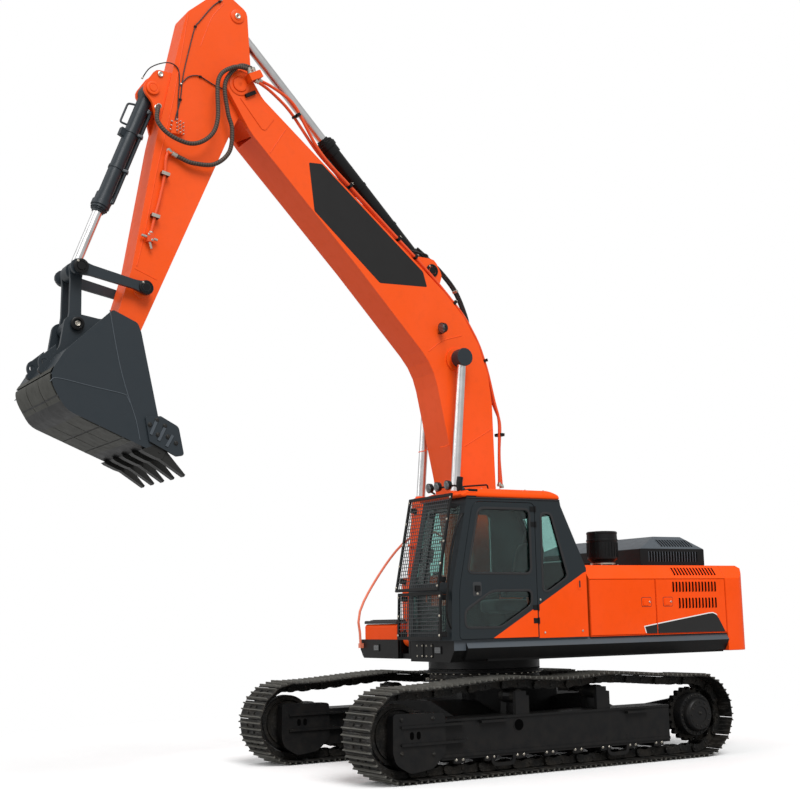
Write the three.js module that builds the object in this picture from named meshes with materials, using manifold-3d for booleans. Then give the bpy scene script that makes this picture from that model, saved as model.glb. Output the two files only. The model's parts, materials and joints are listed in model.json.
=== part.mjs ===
// A 38 tonne class crawler excavator with its boom raised, in millimetres.
// +Z is up, the front faces -Y and the cab stands on the +X side, which is the machine's left.
// Every piece is one named mesh. Pieces that move sit in a group placed on their pivot.
import * as THREE from "three";
import { mergeVertices } from "three/addons/utils/BufferGeometryUtils.js";
import Module from "manifold-3d";

const wasm = await Module();
wasm.setup();

// ---------------------------------------------------------------- driving dimensions

const REST_GAP = 0.3; // between pieces that touch
const RUN_GAP = 6; // between pieces that move past each other
const PIN_GAP = 3.5; // round a pin that turns in its bore

// Undercarriage
const TUMBLER_DISTANCE = 4270;
const TRACK_GAUGE = 2680;
const SHOE_WIDTH = 600;
const SHOE_COUNT = 50;
const SHOE_THICKNESS = 42;
const GROUSER_HEIGHT = 30;
const TUMBLER_RADIUS = 478; // to the outer face of the shoes
const CHAIN_DEPTH = 125; // from the shoes' outer face to the inside of the links
const CHAIN_WIDTH = 220;
const TUMBLER_CLEARANCE = 24; // the loop's inside is made of chords
const ROLLER_CLEARANCE = 4;
const CARRIER_RISE = 76; // how far the upper run stands over the tumblers at a carrier roller
const CARRIER_SAG = 34; // how far it hangs between them
const CARRIER_PLACES = [-560, 620];
const TRACK_BEAM = { width: 390, bottom: 336, top: 652, halfLength: 1660 };
const ROLLER_COUNT = 8;
const ROLLER_LENGTH = 290;
const CAR_BODY = { halfWidth: 640, halfLength: 740, bottom: 430, top: 900 };
const CAR_LEG = { near: 560, far: 1180, bottom: 450, top: 790, slope: 170, shoulder: 60 };
const CAR_SHEET = 40;

// Swing bearing
const BEARING = { radius: 690, bore: 500, bottom: 1000, joint: 1130 };

// Upper structure
const UPPER_WIDTH = 2960;
const DECK = { bottom: 1256, plate: 64, top: 1494, front: -900, cabFront: -1400, rightFront: -950 };
const SKIRT = { ridge: 1410, bottom: 1282, front: -1240 };
const DECK_SHEET = 24;
const DECK_BEAM_X = 700;
const CENTRE_SLOT = 1000; // width of the open bay where the boom and its cylinders pass
const HOUSE = { front: 545, split: 1600, rear: 2785, shoulder: 2186, top: 2350, chamfer: 120, wall: 32 };
const DOOR_SKIN = 32;
const HOOD = { x0: -1180, x1: 1180, y0: 1640, y1: 2740, shoulder: 2570, top: 2740, bevel: 210, wall: 26 };
const ENGINE = { halfWidth: 580, front: 1860, rear: 2500, top: 2134 };
const TANK = { top: 2300, wall: 24, front: -290, split: 645 };
const TOOL_BOX = { x0: -1370, x1: -560, depth: 640, top: 1690, lid: 40, wall: 24 };
const HANDRAIL = { x: -1425, radius: 17 };
const PRE_CLEANER = { place: [1090, 1100], neck: 150, bowl: 225, lid: 205, top: 2790 };
const COUNTERWEIGHT = { tail: 3500, bottom: 1268, waist: 1420, cornerRadius: 420 };

// Cab
const CAB = { inner: 545, outer: 1480, wall: 56, floor: 1496, top: 3120, rear: 510 };
const ROOF_HEIGHT = 112;
const GLASS = 8;
const DOOR_GAP = 6;

// Front equipment: each length is between pin centres
const BOOM_FOOT = [-100, 2050]; // y and z
const BOOM_LENGTH = 6930;
const BOOM_LIFT = 60.9; // degrees of the foot-to-nose line over the ground
const BOOM_WIDTH = 510;
const BOOM_PLATE = 22;
const ARM_LENGTH = 3436;
const ARM_DROP = -66.9; // degrees of the nose-to-tip line over the ground
const ARM_WIDTH = 360;
const ARM_PLATE = 18;
const BUCKET_WIDTH = 1340;
const BUCKET_PLATE = 30;
const BOOM_CYLINDER_FOOT = [-800, 1500];
const BOOM_CYLINDER_EYE = [2758, 1110]; // along and over the foot-to-nose line
const BOOM_CYLINDER_X = 400;
const BOOM_BARREL = { radius: 87, length: 1760 };
const ARM_CYLINDER_FOOT = [3900, 1440]; // in the boom's frame
const ARM_CYLINDER_EYE = [-830, 349]; // in the arm's frame
const ARM_BARREL = { radius: 96, length: 2110 };
const BUCKET_CYLINDER_FOOT = [610, 885]; // in the arm's frame
const BUCKET_BARREL = { radius: 84, length: 1600 };
const ROCKER_PIVOT = [2886, 40]; // in the arm's frame
const ROCKER_LENGTH = 765;
const ROCKER_ANGLE = 11.3; // degrees of the rocker over the ground, pointing forward
const BUCKET_EAR = [-580, 40]; // the link's pin from the bucket's main pin
const LINK_HALF_WIDTH = 172;
const PIN_RADIUS = 50;
// The two hoses of the left side run from a bracket on the boom's nose to a lug and a boss on the arm
const HOSE = { radius: 26, bracket: [6990, 142, 230], lug: [800, 745], arm: [1238, 418], straight: 60 };
const LUG_HOSE_X = 355;
const BOSS_HOSE_X = 298;
const HOSE_BOSS = 34;
const HOSE_STEPS = 36;
// Their middles in the side view, as y and z from the swing axis and the ground
const LUG_HOSE = [
  [-3600, 8262],
  [-3785, 8074],
  [-3796, 7581],
  [-3893, 7352],
  [-4108, 7230],
  [-4362, 7290],
  [-4510, 7440],
];
const BOSS_HOSE = [
  [-3497, 8318],
  [-3675, 8075],
  [-3642, 7716],
  [-3587, 7512],
  [-3620, 7229],
  [-3806, 7050],
  [-4064, 7029],
];

// Arcs are made of chords: this far apart, and finer past the big radius
const BIG_RADIUS = 250;
const FINE_STEP = Math.PI / 14;
const COARSE_STEP = Math.PI / 6;

// ---------------------------------------------------------------- colours

const ORANGE = { color: 0xf0551a, roughness: 0.42, metalness: 0.0 };
const SLATE = { color: 0x39424a, roughness: 0.5, metalness: 0.1 };
const BLACK = { color: 0x16171a, roughness: 0.6, metalness: 0.0 };
const STEEL = { color: 0x3a3630, roughness: 0.55, metalness: 0.8 };
const CHROME = { color: 0xd8dadb, roughness: 0.12, metalness: 1.0 };
const WINDOW = { color: 0x7fb0a4, roughness: 0.05, metalness: 0.0 };
const TRIM = { color: 0x24272a, roughness: 0.8, metalness: 0.0 };

// ---------------------------------------------------------------- solids

// A closed three.js geometry as a solid that can be joined and cut.
function solid(geometry) {
  const bare = geometry.clone();
  bare.deleteAttribute("normal");
  bare.deleteAttribute("uv");
  const merged = mergeVertices(bare, 1e-3);
  return new wasm.Manifold(
    new wasm.Mesh({
      numProp: 3,
      vertProperties: Float32Array.from(merged.attributes.position.array),
      triVerts: Uint32Array.from(merged.index.array),
    }),
  );
}

function join(first, ...others) {
  return others.reduce((body, other) => body.add(other), first);
}

function cut(body, ...tools) {
  return tools.reduce((left, tool) => left.subtract(tool), body);
}

// A named mesh of a solid.
function piece(name, body, finish) {
  const made = body.getMesh();
  const geometry = new THREE.BufferGeometry();
  const places = new Float32Array(made.numVert * 3);
  for (let i = 0; i < made.numVert; i++) {
    places.set(made.vertProperties.subarray(i * made.numProp, i * made.numProp + 3), i * 3);
  }
  geometry.setAttribute("position", new THREE.BufferAttribute(places, 3));
  geometry.setIndex(new THREE.BufferAttribute(Uint32Array.from(made.triVerts), 1));
  geometry.computeVertexNormals();
  const mesh = new THREE.Mesh(geometry, new THREE.MeshStandardMaterial(finish));
  mesh.name = name;
  return mesh;
}

function group(name, y, z, ...children) {
  const made = new THREE.Group();
  made.name = name;
  made.position.set(0, y, z);
  if (children.length) made.add(...children);
  return made;
}

// A closed outline through [u, v, radius] points given anticlockwise. A radius rounds its corner with an arc,
// and is limited where a side is too short for it.
function outline(points) {
  const places = [];
  points.forEach(([u, v, radius = 0], i) => {
    const here = new THREE.Vector2(u, v);
    if (!radius) {
      places.push(here);
      return;
    }
    const last = points[(i + points.length - 1) % points.length];
    const next = points[(i + 1) % points.length];
    const back = new THREE.Vector2(last[0], last[1]).sub(here);
    const on = new THREE.Vector2(next[0], next[1]).sub(here);
    const shorter = Math.min(back.length(), on.length());
    back.normalize();
    on.normalize();
    const half = Math.acos(THREE.MathUtils.clamp(back.dot(on), -1, 1)) / 2;
    const trim = Math.min(radius / Math.tan(half), 0.48 * shorter);
    const bend = trim * Math.tan(half);
    const sweep = (Math.PI - 2 * half) * (on.cross(back) > 0 ? 1 : -1);
    const centre = back.clone().add(on).normalize().multiplyScalar(bend / Math.sin(half)).add(here);
    const start = back.multiplyScalar(trim).add(here).sub(centre);
    const step = bend > BIG_RADIUS ? FINE_STEP : COARSE_STEP;
    const count = Math.max(1, Math.ceil(Math.abs(sweep) / step));
    for (let k = 0; k <= count; k++) {
      places.push(start.clone().rotateAround(new THREE.Vector2(), (sweep * k) / count).add(centre));
    }
  });
  return new THREE.Shape(places);
}

// The same outline moved outwards by a distance, or inwards by a negative one.
function grown(points, distance) {
  return points.map(([u, v, radius = 0], i) => {
    const last = points[(i + points.length - 1) % points.length];
    const next = points[(i + 1) % points.length];
    const inward = new THREE.Vector2(u - last[0], v - last[1]).normalize();
    const outward = new THREE.Vector2(next[0] - u, next[1] - v).normalize();
    const normalIn = new THREE.Vector2(inward.y, -inward.x);
    const normalOut = new THREE.Vector2(outward.y, -outward.x);
    const shift = normalIn.clone().add(normalOut);
    shift.multiplyScalar(distance / (1 + normalIn.dot(normalOut)));
    return [u + shift.x, v + shift.y, radius ? Math.max(radius + distance, 1) : 0];
  });
}

function extruded(points, depth) {
  return new THREE.ExtrudeGeometry(outline(points), { depth, bevelEnabled: false });
}

// A prism whose outline is given as [y, z] points and which runs from x0 to x1.
function sideways(points, x0, x1) {
  const geometry = extruded(points, x1 - x0);
  const axes = new THREE.Matrix4().makeBasis(
    new THREE.Vector3(0, 1, 0),
    new THREE.Vector3(0, 0, 1),
    new THREE.Vector3(1, 0, 0),
  );
  return solid(geometry.applyMatrix4(axes).translate(x0, 0, 0));
}

// A prism whose outline is given as [x, z] points and which runs from y0 to y1.
function lengthways(points, y0, y1) {
  const geometry = extruded(points, y1 - y0);
  const axes = new THREE.Matrix4().makeBasis(
    new THREE.Vector3(1, 0, 0),
    new THREE.Vector3(0, 0, 1),
    new THREE.Vector3(0, -1, 0),
  );
  return solid(geometry.applyMatrix4(axes).translate(0, y1, 0));
}

// A prism whose outline is given as [x, y] points and which runs from z0 to z1.
function upright(points, z0, z1) {
  return solid(extruded(points, z1 - z0).translate(0, 0, z0));
}

function block(x0, x1, y0, y1, z0, z1) {
  const geometry = new THREE.BoxGeometry(x1 - x0, y1 - y0, z1 - z0);
  return solid(geometry.translate((x0 + x1) / 2, (y0 + y1) / 2, (z0 + z1) / 2));
}

// A cylinder along X at [y, z].
function crosswise([y, z], radius, x0, x1, sides = 12) {
  const geometry = new THREE.CylinderGeometry(radius, radius, x1 - x0, sides);
  return solid(geometry.rotateZ(Math.PI / 2).translate((x0 + x1) / 2, y, z));
}

// A ring or drum about the Z axis at [x, y].
function drum([x, y], radius, z0, z1, sides = 24) {
  const geometry = new THREE.CylinderGeometry(radius, radius, z1 - z0, sides);
  return solid(geometry.rotateX(Math.PI / 2).translate(x, y, (z0 + z1) / 2));
}

// A round bar between two points.
function bar(from, to, radius, sides = 10) {
  const a = new THREE.Vector3(...from);
  const b = new THREE.Vector3(...to);
  const along = b.clone().sub(a);
  const geometry = new THREE.CylinderGeometry(radius, radius, along.length(), sides);
  const turn = new THREE.Quaternion();
  turn.setFromUnitVectors(new THREE.Vector3(0, 1, 0), along.clone().normalize());
  geometry.applyQuaternion(turn);
  const middle = a.add(b).multiplyScalar(0.5);
  return solid(geometry.translate(middle.x, middle.y, middle.z));
}

// A round tube through points, bent smoothly.
function bentTube(points, radius, steps, sides = 8) {
  const section = new THREE.Shape();
  for (let i = 0; i < sides; i++) {
    const angle = (i / sides) * 2 * Math.PI;
    const place = [radius * Math.cos(angle), radius * Math.sin(angle)];
    if (i) section.lineTo(...place);
    else section.moveTo(...place);
  }
  const path = new THREE.CatmullRomCurve3(points.map((p) => new THREE.Vector3(...p)), false, "centripetal");
  return solid(new THREE.ExtrudeGeometry(section, { steps, extrudePath: path }));
}

// A flat strip along the line from a to b in the side view, lying to the left of it
// by inset to inset + thickness.
function strip(a, b, inset, thickness) {
  const along = new THREE.Vector2(b[0] - a[0], b[1] - a[1]).normalize();
  const left = new THREE.Vector2(-along.y, along.x);
  const near = left.clone().multiplyScalar(inset);
  const far = left.clone().multiplyScalar(inset + thickness);
  return [
    [a[0] + near.x, a[1] + near.y],
    [b[0] + near.x, b[1] + near.y],
    [b[0] + far.x, b[1] + far.y],
    [a[0] + far.x, a[1] + far.y],
  ];
}

const radians = THREE.MathUtils.degToRad;

// A point given along and over a member's pin-to-pin line, as [y, z] in the member's own frame,
// where -Y is along it.
function onMember([along, over]) {
  return [-along, over];
}

// The same list of points for a whole outline, turned to run anticlockwise in the side view.
function memberOutline(points) {
  return points.map(([along, over, radius]) => [-along, over, radius]).reverse();
}

// Where a point of a member lies in the machine's side view.
function placed([y, z], origin, degrees) {
  const turn = radians(degrees);
  return [
    origin[0] + y * Math.cos(turn) + z * Math.sin(turn),
    origin[1] - y * Math.sin(turn) + z * Math.cos(turn),
  ];
}

const distance = (a, b) => Math.hypot(b[0] - a[0], b[1] - a[1]);

// ---------------------------------------------------------------- places of the main pins in the side view

const NOSE = placed([-BOOM_LENGTH, 0], BOOM_FOOT, BOOM_LIFT);
const TIP = placed([-ARM_LENGTH, 0], NOSE, ARM_DROP);
const BOOM_EYE = placed(onMember(BOOM_CYLINDER_EYE), BOOM_FOOT, BOOM_LIFT);
const ARM_FOOT = placed(onMember(ARM_CYLINDER_FOOT), BOOM_FOOT, BOOM_LIFT);
const ARM_EYE = placed(onMember(ARM_CYLINDER_EYE), NOSE, ARM_DROP);
const BUCKET_FOOT = placed(onMember(BUCKET_CYLINDER_FOOT), NOSE, ARM_DROP);
const ROCKER = placed(onMember(ROCKER_PIVOT), NOSE, ARM_DROP);
const KNEE = placed([-ROCKER_LENGTH, 0], ROCKER, ROCKER_ANGLE);
const EAR = [TIP[0] + BUCKET_EAR[0], TIP[1] + BUCKET_EAR[1]];

// ---------------------------------------------------------------- undercarriage

const halfTumbler = TUMBLER_DISTANCE / 2;
const axleHeight = TUMBLER_RADIUS + GROUSER_HEIGHT;

// The height of the shoes' outer face on the upper run: over the carrier rollers it is highest
// and it sags between.
function upperRun(y) {
  const top = axleHeight + TUMBLER_RADIUS;
  const [front, rear] = CARRIER_PLACES;
  const blend = (t) => (1 - Math.cos(Math.PI * t)) / 2;
  if (y < front) return top + CARRIER_RISE * blend((y + halfTumbler) / (front + halfTumbler));
  if (y > rear) return top + CARRIER_RISE * blend((halfTumbler - y) / (halfTumbler - rear));
  return top + CARRIER_RISE - CARRIER_SAG * Math.sin((Math.PI * (y - front)) / (rear - front));
}

// The closed side-view curve of the shoes' outer face.
function trackCurve() {
  const path = new THREE.Path();
  path.moveTo(-halfTumbler, GROUSER_HEIGHT);
  path.lineTo(halfTumbler, GROUSER_HEIGHT);
  path.absarc(halfTumbler, axleHeight, TUMBLER_RADIUS, -Math.PI / 2, Math.PI / 2, false);
  const samples = 24;
  for (let i = 1; i < samples; i++) {
    const y = halfTumbler - (TUMBLER_DISTANCE * i) / samples;
    path.lineTo(y, upperRun(y));
  }
  path.lineTo(-halfTumbler, axleHeight + TUMBLER_RADIUS);
  path.absarc(-halfTumbler, axleHeight, TUMBLER_RADIUS, Math.PI / 2, (3 * Math.PI) / 2, false);
  return path;
}

// Points on the track curve pushed inwards by a depth, with a repeating list of extra outward heights.
function trackLoop(count, depth, heights = [0]) {
  const places = trackCurve().getSpacedPoints(count).slice(0, count);
  return places.map((p, i) => {
    const last = places[(i + count - 1) % count];
    const next = places[(i + 1) % count];
    const along = next.clone().sub(last).normalize();
    const out = heights[i % heights.length] - depth;
    return [p.x + along.y * out, p.y - along.x * out];
  });
}

function track(side) {
  const centre = (side * TRACK_GAUGE) / 2;
  const profile = [0, GROUSER_HEIGHT, 0, 0];
  const outer = trackLoop(SHOE_COUNT * profile.length, 0, profile);
  const shoes = cut(
    sideways(outer, centre - SHOE_WIDTH / 2, centre + SHOE_WIDTH / 2),
    sideways(trackLoop(SHOE_COUNT, SHOE_THICKNESS), centre - SHOE_WIDTH, centre + SHOE_WIDTH),
  );
  const chain = cut(
    sideways(trackLoop(SHOE_COUNT, SHOE_THICKNESS / 2), centre - CHAIN_WIDTH / 2, centre + CHAIN_WIDTH / 2),
    sideways(trackLoop(SHOE_COUNT, CHAIN_DEPTH), centre - CHAIN_WIDTH, centre + CHAIN_WIDTH),
  );
  return join(shoes, chain);
}

const wheelRadius = TUMBLER_RADIUS - CHAIN_DEPTH - TUMBLER_CLEARANCE;

function idler(side) {
  const centre = (side * TRACK_GAUGE) / 2;
  const axle = [-halfTumbler, axleHeight];
  return join(
    crosswise(axle, wheelRadius, centre - 60, centre + 60, 32),
    crosswise(axle, wheelRadius - 45, centre - 84, centre + 84, 16),
    crosswise(axle, 90, centre - 118, centre + 118),
  );
}

const TOOTH_PROFILE = [
  [0.1, wheelRadius],
  [0.35, wheelRadius],
  [0.6, wheelRadius - 42],
  [0.85, wheelRadius - 42],
];

function sprocket(side) {
  const centre = (side * TRACK_GAUGE) / 2;
  const axle = [halfTumbler, axleHeight];
  const outer = side * (centre * side + 250);
  const inner = side * (centre * side - 240);
  const hub = [Math.min(outer, inner), Math.max(outer, inner)];
  const drive = [centre + side * 30, centre + side * 165].sort((a, b) => a - b);
  const teeth = 21;
  const rim = [];
  for (let i = 0; i < teeth; i++) {
    for (const [share, radius] of TOOTH_PROFILE) {
      const angle = ((i + share) / teeth) * 2 * Math.PI;
      rim.push([axle[0] + radius * Math.cos(angle), axle[1] + radius * Math.sin(angle)]);
    }
  }
  return join(
    sideways(rim, centre - 36, centre + 36),
    crosswise(axle, 262, ...drive, 20),
    crosswise(axle, 205, hub[0], hub[1], 16),
  );
}

function trackFrame(side) {
  const centre = (side * TRACK_GAUGE) / 2;
  const half = TRACK_BEAM.width / 2;
  const { bottom, top, halfLength } = TRACK_BEAM;
  const rollerRadius = 96;
  const rollerHeight = GROUSER_HEIGHT + CHAIN_DEPTH + ROLLER_CLEARANCE + rollerRadius;
  const beam = join(
    cut(
      block(centre - half, centre + half, -halfLength, halfLength, bottom, top),
      block(centre - half + 40, centre + half - 40, -halfLength + 60, halfLength - 60, bottom - 1, top - 40),
    ),
    block(centre - half, centre - half + 40, -halfLength, halfLength, rollerHeight - 40, bottom + 1),
    block(centre + half - 40, centre + half, -halfLength, halfLength, rollerHeight - 40, bottom + 1),
  );
  const yokeOutline = [
    [-halfTumbler - 150, axleHeight - 90, 60],
    [-halfLength + 40, bottom, 0],
    [-halfLength + 40, top, 0],
    [-halfTumbler - 150, axleHeight + 90, 60],
  ];
  const motorOutline = [
    [halfLength - 40, bottom, 0],
    [halfTumbler + 120, axleHeight - 210, 120],
    [halfTumbler + 120, axleHeight + 210, 120],
    [halfLength - 40, top, 0],
  ];
  const innerFace = centre - side * half;
  const motorPlate = [Math.min(innerFace, innerFace + side * 45), Math.max(innerFace, innerFace + side * 45)];
  const rollerEnd = ROLLER_LENGTH / 2 + 20;
  const rollers = Array.from({ length: ROLLER_COUNT }, (_, i) => {
    const y = -halfLength + 240 + (i * (2 * halfLength - 420)) / (ROLLER_COUNT - 1);
    return crosswise([y, rollerHeight], rollerRadius, centre - rollerEnd, centre + rollerEnd, 12);
  });
  const carrierRadius = 78;
  const chainUnderside = axleHeight + TUMBLER_RADIUS + CARRIER_RISE - CHAIN_DEPTH;
  const carrierHeight = chainUnderside - 2 * ROLLER_CLEARANCE - carrierRadius;
  const carriers = CARRIER_PLACES.map((y) =>
    join(
      crosswise([y, carrierHeight], carrierRadius, centre - 140, centre + 140, 12),
      block(centre + side * 165 - 25, centre + side * 165 + 25, y - 75, y + 75, top - 1, carrierHeight + 60),
      crosswise([y, carrierHeight], 36, centre - 190, centre + 190, 8),
    ),
  );
  return join(
    cut(
      beam,
      crosswise([-halfTumbler, axleHeight], wheelRadius + 18, centre - 100, centre + 100, 32),
    ),
    sideways(yokeOutline, centre + half - 60, centre + half - 16),
    sideways(yokeOutline, centre - half + 16, centre - half + 60),
    sideways(motorOutline, motorPlate[0], motorPlate[1]),
    ...rollers,
    ...carriers,
  );
}

function carBody() {
  const { halfWidth, halfLength, bottom, top } = CAR_BODY;
  const reach = TRACK_GAUGE / 2 - TRACK_BEAM.width / 2 - REST_GAP;
  const leg = (y0, y1) => {
    const shape = [
      [-reach, CAR_LEG.bottom],
      [reach, CAR_LEG.bottom],
      [reach, CAR_LEG.top - CAR_LEG.slope],
      [halfWidth - CAR_LEG.shoulder, CAR_LEG.top],
      [-halfWidth + CAR_LEG.shoulder, CAR_LEG.top],
      [-reach, CAR_LEG.top - CAR_LEG.slope],
    ];
    return lengthways(shape, y0, y1);
  };
  const legHollow = (y0, y1) =>
    lengthways(
      [
        [-reach + CAR_SHEET, CAR_LEG.bottom - 10],
        [reach - CAR_SHEET, CAR_LEG.bottom - 10],
        [reach - CAR_SHEET, CAR_LEG.top - CAR_LEG.slope - CAR_SHEET],
        [halfWidth - CAR_LEG.shoulder, CAR_LEG.top - CAR_SHEET],
        [-halfWidth + CAR_LEG.shoulder, CAR_LEG.top - CAR_SHEET],
        [-reach + CAR_SHEET, CAR_LEG.top - CAR_LEG.slope - CAR_SHEET],
      ],
      y0,
      y1,
    );
  const shell = join(
    upright(
      [
        [-halfWidth, -halfLength, 160],
        [halfWidth, -halfLength, 160],
        [halfWidth, halfLength, 160],
        [-halfWidth, halfLength, 160],
      ],
      bottom,
      top,
    ),
    leg(-CAR_LEG.far, -CAR_LEG.near),
    leg(CAR_LEG.near, CAR_LEG.far),
    drum([0, 0], BEARING.radius - 30, top - 1, BEARING.bottom - REST_GAP, 36),
  );
  return cut(
    shell,
    block(-halfWidth + 50, halfWidth - 50, -halfLength + 50, halfLength - 50, bottom - 10, top - 50),
    legHollow(-CAR_LEG.far + CAR_SHEET, -halfLength - 20),
    legHollow(halfLength + 20, CAR_LEG.far - CAR_SHEET),
    drum([0, 0], BEARING.bore, bottom, BEARING.bottom + 10, 24),
  );
}

function ring(z0, z1, radius, bore) {
  return cut(drum([0, 0], radius, z0, z1, 40), drum([0, 0], bore, z0 - 10, z1 + 10, 32));
}

function undercarriage() {
  const made = group("undercarriage", 0, 0);
  for (const [side, word] of [[1, "left"], [-1, "right"]]) {
    made.add(
      piece("track_" + word, track(side), STEEL),
      piece("idler_" + word, idler(side), STEEL),
      piece("sprocket_" + word, cut(sprocket(side), motorHole(side)), STEEL),
      piece("track_frame_" + word, cut(trackFrame(side), hubHole(side), axleHole(side)), SLATE),
    );
  }
  const race = ring(BEARING.bottom, BEARING.joint - RUN_GAP / 2, BEARING.radius, BEARING.bore);
  made.add(piece("lower_frame", carBody(), SLATE), piece("swing_bearing", race, BLACK));
  return made;
}

// The hub passes through the frame's motor plate, the idler's axle through the yoke.
function hubHole(side) {
  const centre = (side * TRACK_GAUGE) / 2;
  return crosswise([halfTumbler, axleHeight], 205 + REST_GAP, centre - 400, centre + 400, 16);
}

function axleHole(side) {
  const centre = (side * TRACK_GAUGE) / 2;
  return crosswise([-halfTumbler, axleHeight], 90 + REST_GAP, centre - 400, centre + 400);
}

// A recess in the inner end of the hub, where the travel motor's cover sits.
function motorHole(side) {
  const centre = (side * TRACK_GAUGE) / 2;
  const end = centre - side * 240;
  const ends = [end - side * 10, end + side * 40].sort((a, b) => a - b);
  return crosswise([halfTumbler, axleHeight], 150, ...ends);
}

// ---------------------------------------------------------------- upper structure

const halfUpper = UPPER_WIDTH / 2;
const halfSlot = CENTRE_SLOT / 2;
const bracketInner = BOOM_WIDTH / 2 + 12;
const bracketPlate = 40;

// The plates that carry the boom's foot and its cylinders.
function boomBrackets() {
  const [footY, footZ] = BOOM_FOOT;
  const [cylinderY, cylinderZ] = BOOM_CYLINDER_FOOT;
  const shape = [
    [cylinderY - 120, DECK.bottom],
    [1600, DECK.bottom],
    [1600, DECK.top],
    [footY + 700, footZ - 330],
    [footY + 175, footZ + 175, 150],
    [footY - 175, footZ + 175, 150],
    [cylinderY + 130, cylinderZ + 130, 60],
    [cylinderY - 120, cylinderZ + 120, 100],
  ];
  const lugShape = [
    [cylinderY - 120, DECK.bottom],
    [cylinderY + 220, DECK.bottom],
    [cylinderY + 120, cylinderZ + 120, 100],
    [cylinderY - 120, cylinderZ + 120, 100],
  ];
  const lugInner = BOOM_CYLINDER_X + 92;
  const plates = [1, -1].map((side) => {
    const [x0, x1] = [side * bracketInner, side * (bracketInner + bracketPlate)].sort((a, b) => a - b);
    const [l0, l1] = [side * lugInner, side * (lugInner + 28)].sort((a, b) => a - b);
    const [p0, p1] = [side * bracketInner, side * (lugInner + 20)].sort((a, b) => a - b);
    return join(
      sideways(shape, x0, x1),
      sideways(lugShape, l0, l1),
      crosswise(BOOM_CYLINDER_FOOT, PIN_RADIUS, p0, p1, 16),
    );
  });
  const pinEnd = bracketInner + bracketPlate + 14;
  const footPin = crosswise(BOOM_FOOT, PIN_RADIUS + 10, -pinEnd, pinEnd);
  return join(plates[0], plates[1], footPin);
}

function skirt(side) {
  const shape = [
    [side * (halfUpper - 170), SKIRT.bottom],
    [side * (halfUpper - 60), SKIRT.bottom],
    [side * (halfUpper + 18), SKIRT.ridge],
    [side * (halfUpper - 40), DECK.top],
    [side * (halfUpper - 170), DECK.top],
  ];
  const front = side > 0 ? SKIRT.front : DECK.rightFront;
  return lengthways(side > 0 ? shape : shape.reverse(), front, HOUSE.rear);
}

// An upright plate under the house floor, from the deck's bottom plate to its sheet.
function sideBeam(x, y0, y1) {
  return block(x - 20, x + 20, y0, y1, DECK.bottom + 1, DECK.top - 61);
}

function deckFrame() {
  const { bottom, plate, top, front, cabFront, rightFront } = DECK;
  const hollow = (x0, x1, y0) =>
    block(x0, x1, y0 + DECK_SHEET, HOUSE.front - DECK_SHEET, bottom + plate, top - DECK_SHEET);
  const cabPlatform = cut(
    lengthways(
      [
        [halfSlot + 20, bottom],
        [halfUpper - 120, bottom],
        [halfUpper - 30, bottom + 130],
        [halfUpper - 30, top],
        [halfSlot + 20, top],
      ],
      cabFront,
      HOUSE.front,
    ),
    hollow(halfSlot, halfUpper - 190, cabFront),
  );
  const rightPlatform = cut(
    lengthways(
      [
        [-halfUpper, bottom + 110],
        [-halfUpper + 90, bottom],
        [-halfSlot - 20, bottom],
        [-halfSlot - 20, top],
        [-halfUpper, top],
      ],
      rightFront,
      HOUSE.front,
    ),
    hollow(-halfUpper + 110, -halfSlot, rightFront),
  );
  return join(
    block(-halfUpper + 100, halfUpper - 100, front, HOUSE.rear, bottom, bottom + plate),
    block(-halfUpper + 100, halfUpper - 100, HOUSE.front - 1, HOUSE.rear, top - 60 - DECK_SHEET, top - 60),
    ...[-1, 1].map((side) => sideBeam(side * DECK_BEAM_X, HOUSE.front - 1, HOUSE.rear)),
    cabPlatform,
    rightPlatform,
    skirt(1),
    skirt(-1),
    boomBrackets(),
    ring(BEARING.joint + RUN_GAP / 2, bottom + 1, BEARING.radius + 10, BEARING.bore),
  );
}

// The house's cross-section as [x, z] points, from the deck to the roof.
function houseSection(x0, x1) {
  const { shoulder, top, chamfer } = HOUSE;
  const floor = DECK.top + REST_GAP;
  return [
    [x0, floor],
    [x1, floor],
    ...(x1 === halfUpper ? [[x1, shoulder], [x1 - chamfer, top]] : [[x1, top]]),
    ...(x0 === -halfUpper ? [[x0 + chamfer, top], [x0, shoulder]] : [[x0, top]]),
  ];
}

// A side door's outline in the side view, between two seams.
function serviceDoorSpan(y0, y1) {
  const z0 = DECK.top + REST_GAP + 12;
  return [y0 + DOOR_GAP, y1 - DOOR_GAP, z0, HOUSE.shoulder - 14];
}

function doorHole(x, y0, y1) {
  const [a, b, z0, z1] = serviceDoorSpan(y0, y1);
  const depth = DOOR_SKIN + 4;
  const [x0, x1] = [x, x - Math.sign(x) * depth].sort((p, q) => p - q);
  const inset = 55;
  const [out0, out1] = [x0 - (x < 0 ? 40 : 0), x1 + (x > 0 ? 40 : 0)];
  return join(
    block(out0, out1, a - DOOR_GAP, b + DOOR_GAP, z0 - DOOR_GAP, z1 + DOOR_GAP),
    block(x0 - 60, x1 + 60, a + inset, b - inset, z0 + inset, z1 - inset),
  );
}

function leftHouse() {
  const { front, split, wall } = HOUSE;
  const inner = halfSlot - 120;
  const shell = lengthways(houseSection(inner, halfUpper), front, split - REST_GAP);
  const hollow = lengthways(
    [
      [inner + wall, 0],
      [halfUpper - wall - DOOR_SKIN - 8, 0],
      [halfUpper - wall - DOOR_SKIN - 8, HOUSE.shoulder - 10],
      [halfUpper - HOUSE.chamfer - wall, HOUSE.top - wall],
      [inner + wall, HOUSE.top - wall],
    ],
    front + wall,
    split - wall,
  );
  return cut(shell, hollow, doorHole(halfUpper, front + 6, split - 2));
}

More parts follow.
